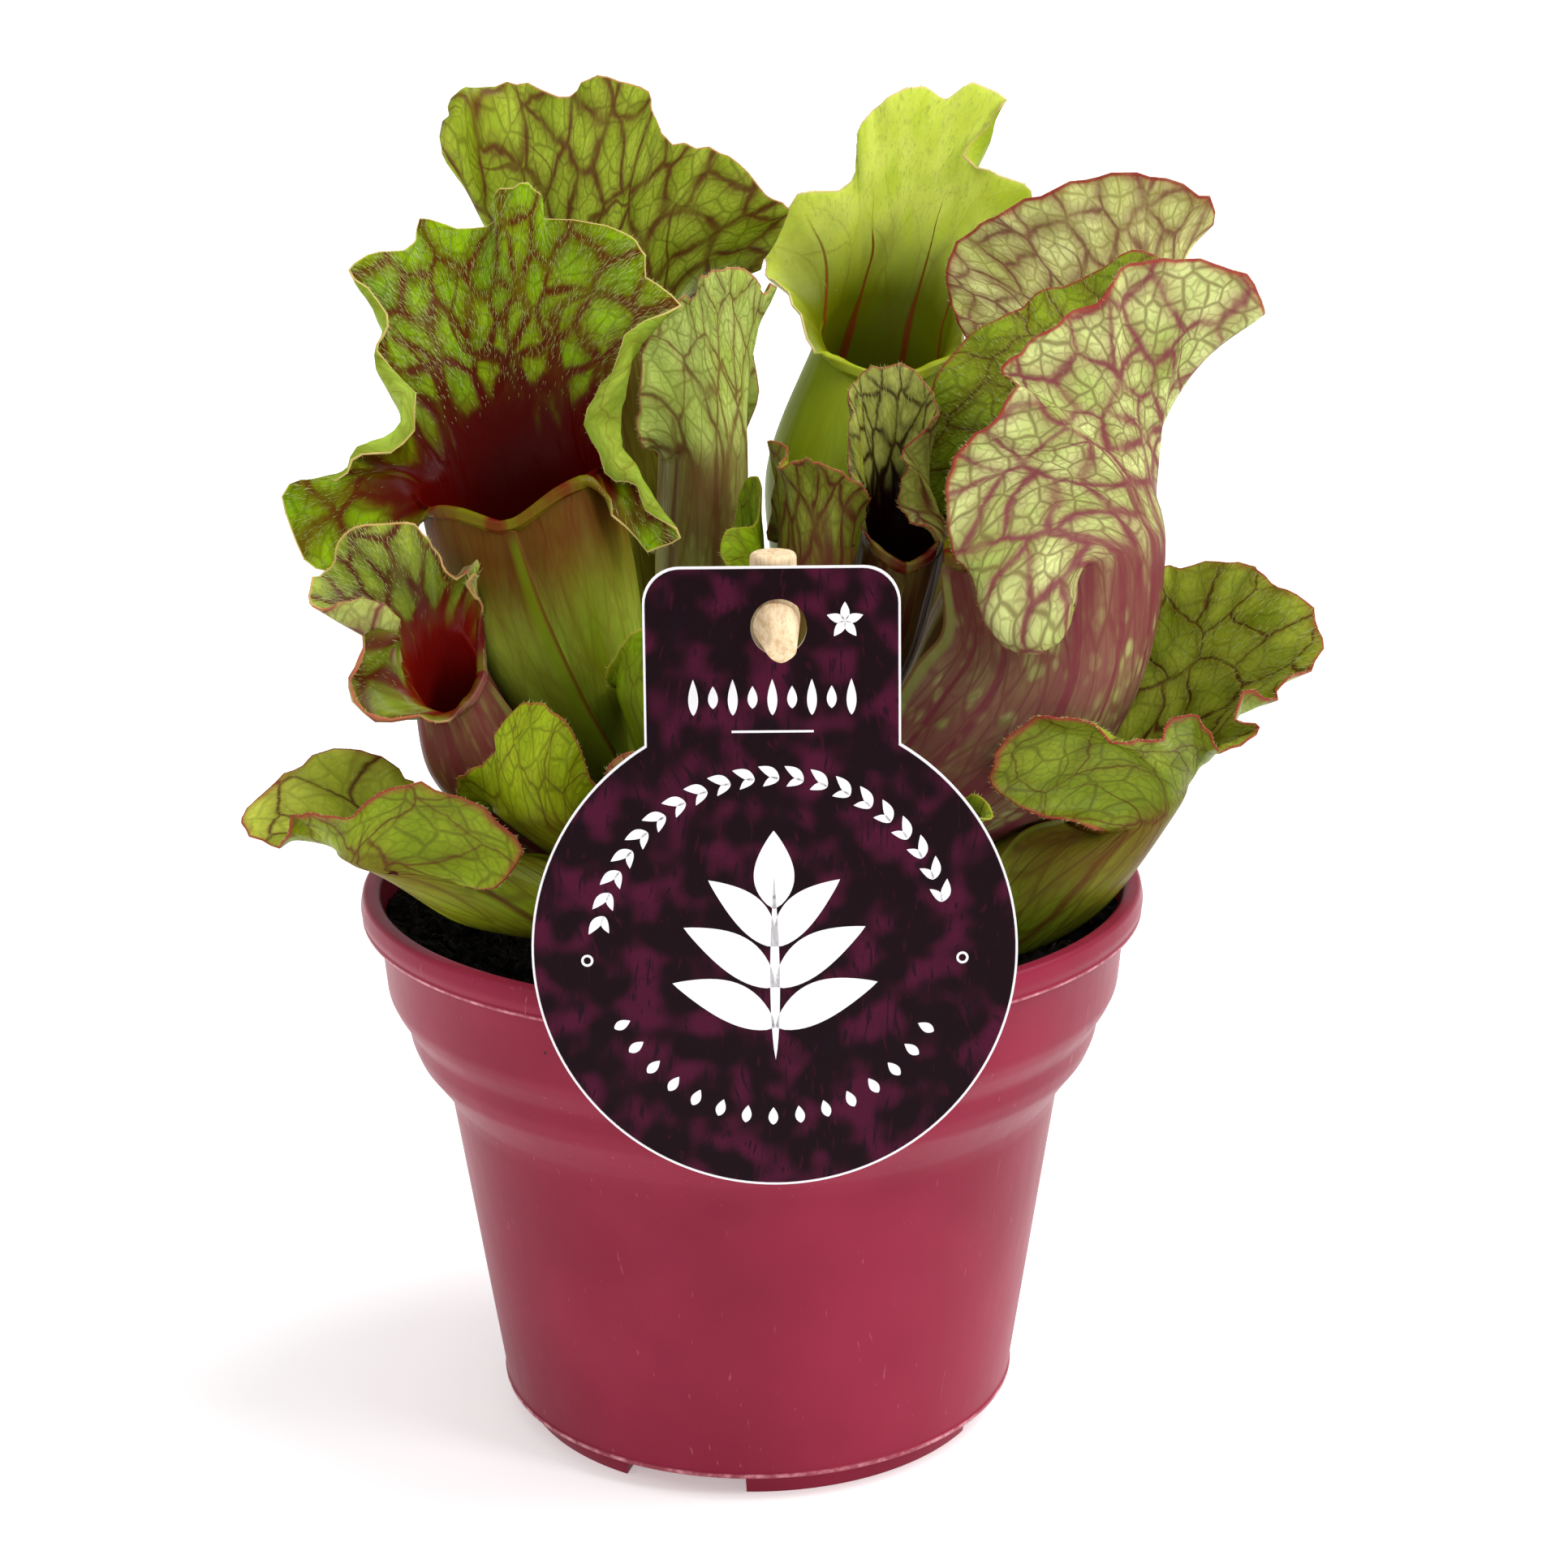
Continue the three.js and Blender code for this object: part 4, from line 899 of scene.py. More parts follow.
    BUD_ROSY = LeafFinish(
        "leaf_rosy",
        BUD_OUTER,
        replace(BUD_OUTER, base=srgb(176, 152, 74), light=srgb(202, 176, 98), throat=srgb(110, 44, 32),
                throat_reach=2),
    )


# Leaves


@dataclass(frozen=True)
class LeafShape:
    """One pitcher in millimetres: a tube along a bent spine, and a hood from its mouth to a wavy margin.

    Attributes:
        name, skin: Node of its solid, and its finish.
        spine: The base, two bends and the mouth's centre.
        front, side: From the mouth's centre to the front of the lip, and to the side next to it clockwise.
        girth: Half widths from base to mouth.
        margin: Points along the hood's edge, clockwise from the front. A fourth number bows the hood out.
        spacing: Spacing of the fine mesh.
        lip_angle, lip_columns, lip_width: Degrees from the front to an end of the lip, the number of columns
            on it, and its height.
        notch: How far the mouth dips at its front.
        wing, wing_lean: Height of the wing along the front, and how far it leans to the side.
        wall: Thickness of the tissue.
        depth: Depth of the tube for each unit of its width.
        flare: How far the hood is drawn in on its way to the margin.
        rise, lean: Shares of the way over which the hood keeps the tube's direction, and the margin's.
        blend: How far the lip follows the hood beside it.
        smoothing: Rounds of smoothing.
        tube_rows, hood_rows: Rows of the tube and of the hood in the solid.
    """

    name: str
    skin: Skin
    spine: tuple
    front: tuple
    side: tuple
    girth: tuple
    margin: tuple
    spacing: float = 0.8
    lip_angle: float = 60
    lip_columns: int = 5
    lip_width: float = 2.0
    notch: float = 0.5
    wing: float = 2.0
    wing_lean: float = 0.0
    wall: float = 0.7
    depth: float = 1.0
    flare: float = 1.5
    rise: float = 0.35
    lean: float = 0.35
    blend: float = 0.8
    smoothing: int = 2
    tube_rows: int = 5
    hood_rows: int = 5


# The net map is a fan: its angle in radians, and the shares to which hood and tube lengths are drawn in.
FAN_ANGLE = 5.5
FAN_SQUEEZE = 0.50
TUBE_SQUEEZE = 0.78
# Rows that the fine surface has by the margin, in coarse rows from it.
EDGE_ROWS = (0.07, 0.03, 0.0)
# Heights in millimetres of the margin's ruffles, crimps and nicks, and of the swells round the leaf.
RUFFLE = 0.55
CRIMP = 0.22
NICK = 0.28
SWELL = 0.16
LONG_SWELLS = 9
# Where the margin rolls in: its width, the rows that give its direction, and its depth for each mm of bow.
CURL_REACH = 7.0
CURL_ROWS = 8
CURL_SHARE = 0.46
CURL_FORWARD = 0.9
# Height of the rolled lip, share of the tube from which the leaf is hollow, and the wing's width in degrees.
LIP_BEAD = 0.75
HOLLOW_FROM = 0.42
FIN_WIDTH = 3.0


def spline(p0: np.ndarray, p1: np.ndarray, p2: np.ndarray, p3: np.ndarray, a: float) -> np.ndarray:
    """Point at share a, or an array of shares, of the smooth curve between the middle two of four values."""
    return 0.5 * (2 * p1 + (p2 - p0) * a + (2 * p0 - 5 * p1 + 4 * p2 - p3) * a * a
                  + (3 * p1 - p0 - 3 * p2 + p3) * a ** 3)


def curve_through(values: np.ndarray, share: np.ndarray) -> np.ndarray:
    """Points on the smooth curve through evenly set values.

    Args:
        values: The values, first axis along the curve.
        share: Places from 0 to 1.

    Returns:
        The value at each place.
    """
    last = len(values) - 1
    spot = np.asarray(share, float) * last
    step = np.minimum(spot.astype(int), last - 1)
    a = (spot - step).reshape(-1, *([1] * (values.ndim - 1)))
    p0, p1 = values[np.maximum(step - 1, 0)], values[step]
    p2, p3 = values[step + 1], values[np.minimum(step + 2, last)]
    return spline(p0, p1, p2, p3, a)


@dataclass
class PitcherLeaf:
    """A finished pitcher leaf.

    refine sets middle, the fine surface between the walls in rows and columns, with its outward normals. It
    also sets each point's height above the mouth's edge and distance to the rim, and each column's turn from
    0 to 1.
    """

    shape: LeafShape
    site: Site
    seed: int
    middle: np.ndarray = field(init=False, repr=False)
    normals: np.ndarray = field(init=False, repr=False)
    height: np.ndarray = field(init=False, repr=False)
    rim: np.ndarray = field(init=False, repr=False)
    turn: np.ndarray = field(init=False, repr=False)
    mouth_row: int = field(init=False, repr=False)

    def __post_init__(self) -> None:
        """Takes the shape's points as arrays."""
        self.spine = np.asarray(self.shape.spine, float)
        self.front = np.asarray(self.shape.front, float)
        self.side = np.asarray(self.shape.side, float)
        self.girth = np.asarray(self.shape.girth, float)
        self.mouth = self.spine[3]

    def centre(self, t: float) -> np.ndarray:
        """Point of the spine."""
        a, b, c, d = self.spine
        return a * (1 - t) ** 3 + 3 * b * t * (1 - t) ** 2 + 3 * c * t * t * (1 - t) + d * t ** 3

    def along(self, t: float) -> np.ndarray:
        """Direction of the spine."""
        a, b, c, d = self.spine
        return unit(3 * (b - a) * (1 - t) ** 2 + 6 * (c - b) * t * (1 - t) + 3 * (d - c) * t * t)

    def cross(self, t: float) -> tuple[np.ndarray, np.ndarray]:
        """Axes across the tube, towards the front and to the side."""
        along = self.along(t)
        front = unit(self.front - along * np.dot(self.front, along))
        side = self.side - along * np.dot(self.side, along)
        return front, unit(side - front * np.dot(side, front))

    def tube(self, t: float, angles: np.ndarray) -> np.ndarray:
        """Ring of the tube's wall.

        Args:
            t: Place along the spine, from 0 at the base to 1 at the mouth.
            angles: Degrees from the front.

        Returns:
            A point for each angle.
        """
        width = float(curve_through(self.girth, np.array([t]))[0])
        deep = width * (1 + (self.shape.depth - 1) * min(1.0, 2 * t))
        front, side = self.cross(t)
        rad = np.radians(angles)[:, None]
        ring = self.centre(t) + front * np.cos(rad) * deep + side * np.sin(rad) * width
        part = float(smoothstep(t, 0.72, 1.0))
        drop = self.shape.notch * np.exp(-((((angles + 180) % 360) - 180) / 22.0) ** 2)
        open_ring = self.front * np.cos(rad) + self.side * np.sin(rad) - np.outer(drop, (0.0, 0.0, 1.0))
        open_ring = open_ring * (width / np.linalg.norm(self.side)) + self.centre(t)
        return ring * (1 - part) + open_ring * part

    def columns(self) -> tuple[np.ndarray, list]:
        """Angle of each column and its margin point, or None on the lip."""
        shape = self.shape
        half = (shape.lip_columns - 1) // 2
        lip = [8 + (shape.lip_angle - 8) * k / half for k in range(half)]
        hood = [shape.lip_angle + (360 - 2 * shape.lip_angle) * k / (len(shape.margin) - 1)
                for k in range(len(shape.margin))]
        angles = [0.0, *lip, *hood, *[360 - a for a in reversed(lip)]]
        points = [None] * (1 + half) + list(shape.margin) + [None] * half
        return np.array(angles), points

    def rays(self, angles: np.ndarray, points: list, ring: np.ndarray) -> np.ndarray:
        """Offsets of each column's curve from the mouth's edge: two handles and the end.

        Args:
            angles: Degrees of the columns.
            points: Margin points of the columns.
            ring: The mouth's edge.

        Returns:
            Three offsets for each column.
        """
        shape = self.shape
        along = unit(ring - self.tube(0.92, angles))
        out = ring - self.mouth
        out[:, 2] = 0
        out = unit(out)
        out = unit(out - along * np.sum(out * along, 1, keepdims=True))
        offsets = np.zeros((3, len(angles), 3))
        for k, point in enumerate(points):
            t, o, w = along[k], out[k], shape.lip_width
            if point is None:
                offsets[:, k] = t * 0.33 * w, t * 0.66 * w + o * 0.15 * w, t * 0.9 * w + o * 0.5 * w
                continue
            end = np.asarray(point[:3], float) - ring[k]
            bulge = point[3] if len(point) > 3 else 0.0
            length = float(np.linalg.norm(end))
            first = t * shape.rise * length
            second = end - (end - first) * shape.lean + o * (bulge - shape.flare) * min(1.0, length / 12)
            offsets[:, k] = first, second, end
        hood = [k for k, point in enumerate(points) if point is not None]
        result = offsets.copy()
        for k, point in enumerate(points):
            if point is None:
                near = hood[0] if angles[k] < 180 else hood[-1]
                share = (min(angles[k], 360 - angles[k]) / shape.lip_angle) ** 2 * shape.blend
                result[:, k] = offsets[:, k] * (1 - share) + offsets[:, near] * share
        return result

    def coarse(self) -> tuple[np.ndarray, np.ndarray]:
        """Rows of points from base to margin, as in the solid, and the columns' angles."""
        shape = self.shape
        angles, points = self.columns()
        rows = [self.tube(k / shape.tube_rows, angles) for k in range(shape.tube_rows + 1)]
        ring = rows[-1]
        first, second, end = self.rays(angles, points, ring)
        for k in range(1, shape.hood_rows + 1):
            t = k / shape.hood_rows
            rows.append(ring + 3 * first * t * (1 - t) ** 2 + 3 * second * t * t * (1 - t) + end * t ** 3)
        grid = np.array(rows)
        free = np.array([0.0 if point is None else 1.0 for point in points])[None, :, None]
        low, top = shape.tube_rows + 1, len(rows) - 1
        for _ in range(shape.smoothing):
            beside = (np.roll(grid, 1, 1) + np.roll(grid, -1, 1))[low:top]
            around = grid[low - 1:top - 1] + grid[low + 1:top + 1]
            here = grid[low:top]
            new = grid.copy()
            new[low:top] = here + free * (0.125 * (beside + around) - 0.5 * here)
            grid = new
        return grid, angles

    def fine_rows(self, grid: np.ndarray) -> tuple[np.ndarray, np.ndarray]:
        """Rows at the fine spacing, closer together by the margin.

        Args:
            grid: Rows of the coarse surface.

        Returns:
            The rows, and their places from 0 at the base to 1 at the margin.
        """
        steps = np.linalg.norm(np.diff(grid, axis=0), axis=2).mean(1)
        top = len(steps)
        shares = []
        for k, length in enumerate(steps):
            count = max(2, round(float(length) / self.shape.spacing))
            shares.extend((k + a / count) / top for a in range(count))
        shares.extend((top - rest) / top for rest in EDGE_ROWS)
        places = np.array(sorted(set(shares)))
        return curve_through(grid, places), places

    def fine_columns(self, rows: np.ndarray, angles: np.ndarray) -> np.ndarray:
        """Rows with columns at the fine spacing, closest by the front, and the first column again at the end.

        Args:
            rows: Rows with a point at each coarse column.
            angles: Degrees of the coarse columns.

        Returns:
            The surface. The columns' turns are kept.
        """
        closed = np.concatenate([rows[:, -2:], rows, rows[:, :3]], axis=1)
        turns = np.concatenate([angles, [360.0]])
        columns, turn = [], []
        for j in range(len(angles)):
            gap = np.linalg.norm(closed[:, j + 3] - closed[:, j + 2], axis=1)
            count = max(3, round(float(np.percentile(gap[len(gap) // 3:], 80)) / self.shape.spacing))
            count *= 3 if j in (0, len(angles) - 1) else 1
            for a in np.arange(count) / count:
                columns.append(spline(*(closed[:, j + 1 + k] for k in range(4)), a))
                turn.append(turns[j] + (turns[j + 1] - turns[j]) * a)
        self.turn = np.array([*turn, 360.0]) / 360.0
        return np.stack([*columns, columns[0]], axis=1)

    def curled(self, surface: np.ndarray, normals: np.ndarray, angles: np.ndarray) -> np.ndarray:
        """The surface with its margin rolled in over the hood.

        Args:
            surface: The smooth surface.
            normals: Its outward directions.
            angles: Degrees of the coarse columns.

        Returns:
            The curled surface.
        """
        curl = self.curl_of(angles) * smoothstep(self.height, 1.0, 6.0)
        reach = np.clip(1 - self.rim / CURL_REACH, 0, 1)
        away = unit(surface[-1] - surface[-CURL_ROWS])[None]
        surface = surface + away * (curl * np.sin(math.pi * reach))[..., None]
        return surface - normals * (curl * CURL_FORWARD * reach ** 2)[..., None]

    def waved(self, surface: np.ndarray, normals: np.ndarray) -> np.ndarray:
        """The surface with ruffles, crimps and nicks by the margin, and swells between the long veins.

        Args:
            surface: The smooth surface.
            normals: Its outward directions before the margin was curled.

        Returns:
            The waved surface.
        """
        free = 1 - self.lip_share()
        size = min(1.0, float(self.girth[-1]) / 9)
        near = np.exp(-(self.rim / 7.0) ** 2) * smoothstep(self.height, 2.0, 12.0)
        ruffle = waves(self.turn, self.seed, 7, 9.0) * free
        crimp = waves(self.turn, self.seed + 50, 6, 22.0) * free
        surface = surface + normals * (near * (ruffle * RUFFLE + crimp * CRIMP) * size)[..., None]
        up = np.zeros_like(surface)
        up[1:] = unit(np.diff(surface, axis=0))
        edge = np.exp(-(self.rim / 2.5) ** 2) * smoothstep(self.height, 2.0, 9.0)
        nick = waves(self.turn, self.seed + 90, 6, 16.0) * free
        surface = surface + up * (edge * nick * NICK * size)[..., None]
        shift = 3 * waves(self.height / 90, self.seed + 9)
        swell = np.sin(self.turn * 2 * np.pi * LONG_SWELLS + shift) * SWELL
        swell = swell * smoothstep(self.height, 1.0, 9.0) * smoothstep(self.rim, 1, 8)
        return surface + normals * swell[..., None]

    def refine(self) -> None:
        """Works out the fine middle surface and what the finish reads from it."""
        grid, angles = self.coarse()
        rows, places = self.fine_rows(grid)
        surface = self.fine_columns(rows, angles)
        walk = np.concatenate([np.zeros((1, surface.shape[1])),
                               np.cumsum(np.linalg.norm(np.diff(surface, axis=0), axis=2), axis=0)])
        self.mouth_row = int(np.argmin(np.abs(places * (len(grid) - 1) - self.shape.tube_rows)))
        self.height = walk - walk[self.mouth_row]
        self.rim = walk[-1] - walk
        normals = self.normals_of(surface)
        surface = self.waved(self.curled(surface, normals, angles), normals)
        surface[:, -1] = surface[:, 0]
        self.middle = surface
        self.normals = self.normals_of(surface)

    def curl_of(self, angles: np.ndarray) -> np.ndarray:
        """How far each fine column's margin curls in over the hood, in millimetres."""
        _, points = self.columns()
        bows = [max(point[3], 0.0) if point is not None and len(point) > 3 else 0.0 for point in points]
        return CURL_SHARE * np.interp(self.turn * 360, [*angles, 360.0], [*bows, bows[0]])

    def lip_share(self) -> np.ndarray:
        """How far each column belongs to the lip, from 0 to 1."""
        angle = np.minimum(self.turn, 1 - self.turn) * 360
        return 1 - smoothstep(angle, self.shape.lip_angle * 0.62, self.shape.lip_angle * 0.98)

    def normals_of(self, surface: np.ndarray) -> np.ndarray:
        """Outward directions at the points of a surface, a little smoothed.

        Args:
            surface: Points in rows and closed columns.

        Returns:
            A unit vector for each point.
        """
        across = np.empty_like(surface)
        across[:, 1:-1] = surface[:, 2:] - surface[:, :-2]
        across[:, 0] = across[:, -1] = surface[:, 1] - surface[:, -2]
        up = np.gradient(surface, axis=0)
        normals = unit(np.cross(across, up))
        outward = np.sum(normals[2, 0] * (surface[2, 0] - surface[2, :-1].mean(0)))
        normals = normals if outward > 0 else -normals
        soft = normals.copy()
        soft[1:-1] += normals[2:] + normals[:-2]
        soft[:, 1:-1] += soft[:, 2:] + soft[:, :-2]
        soft[:, 0] = soft[:, -1] = soft[:, 0] + soft[:, 1] + soft[:, -2]
        return unit(soft)

    def half_wall(self) -> np.ndarray:
        """Half of the wall's thickness, with a rolled lip and a rounded edge."""
        half = np.full(self.rim.shape, self.shape.wall / 2)
        half *= 1 - 0.42 * np.exp(-(self.rim / 1.6) ** 2) * (1 - self.lip_share())
        size = min(1.0, float(self.girth[-1]) / 10)
        bead = np.exp(-((self.rim - 0.9) / 1.1) ** 2) * self.lip_share()
        half = half + bead * LIP_BEAD * size
        close = np.where(self.lip_share() > 0.3, 1.3 * size + 0.3, 0.35)
        depth = np.clip(self.rim / close, 0, 1)
        return half * np.sqrt(np.clip(1 - (1 - depth) ** 2, 0, 1))

    def skins(self) -> tuple[np.ndarray, np.ndarray, int]:
        """Outer and inner surface, and the row from which the leaf is hollow."""
        half = self.half_wall()[..., None]
        outer = self.middle + self.normals * half
        inner = self.middle - self.normals * half
        first = max(1, int(self.mouth_row * HOLLOW_FROM))
        angle = np.minimum(self.turn, 1 - self.turn) * 360
        reach = np.exp(-(angle / FIN_WIDTH) ** 1.3)
        for row in range(1, self.mouth_row + 1):
            t = row / self.mouth_row
            height = self.shape.wing * 1.25 * math.sin(math.pi * min(1.0, t / 1.12)) ** 0.7
            front, side = self.cross(t)
            fin = front + side * (self.shape.wing_lean + 0.35 * math.sin(t * 3.0 + self.seed))
            outer[row] += np.outer(reach * height, fin)
        outer[:, -1] = outer[:, 0]
        return outer, inner, first

    def maps(self) -> dict[str, np.ndarray]:
        """The UV maps that the finish reads, by name.

        net spreads the leaf into a flat fan, span holds the height above the mouth and the distance to the
        margin, and fan holds the turn round the leaf and the radius in net.
        """
        circumference = float(np.linalg.norm(np.diff(self.middle[self.mouth_row], axis=0), axis=1).sum())
        start = circumference / FAN_ANGLE
        length = -self.height[0]
        stretch = np.where(self.height > 0,
                           self.height * FAN_SQUEEZE * (0.6 + 0.4 * smoothstep(self.height, 0, 30)),
                           self.height * start * TUBE_SQUEEZE / length)
        radius = start + stretch
        bearing = (self.turn - 0.5) * FAN_ANGLE
        net = np.stack([radius * np.cos(bearing), radius * np.sin(bearing)], -1)
        span = np.stack([self.height, self.rim], -1)
        fan = np.stack([np.broadcast_to(self.turn, self.rim.shape), radius / UV_REACH], -1)
        return {"net": net / UV_REACH, "span": span / UV_REACH, "fan": fan}

    def build(self) -> None:
        """Makes the leaf's mesh with its maps and finish."""
        self.refine()
        outer, inner, first = self.skins()
        base = np.broadcast_to(outer[0, :-1].mean(0), outer[0].shape)[None]
        floor = np.broadcast_to(inner[first, :-1].mean(0), outer[0].shape)[None]
        rows = np.concatenate([base, outer, inner[first:-1][::-1], floor])
        back = np.arange(len(outer) - 2, first - 1, -1)
        index = np.concatenate([[0], np.arange(len(outer)), back, [first]])
        piece = sheet_of(self.shape.name + "_leaf", self.site.metres(rows))
        for name, values in self.maps().items():
            add_uv(piece, name, values[index])
        sides = np.zeros((rows.shape[0] - 1, rows.shape[1] - 1), dtype=np.int32)
        sides[len(outer):] = 1
        paint(piece, *self.shape.skin.value.materials(self.shape.name, self.shape.lip_angle))
        piece.data.polygons.foreach_set("material_index", sides.reshape(-1))
        weld(piece)
        smooth(piece)
        hand_over(piece, self.shape.skin.value.slot, self.shape.name)


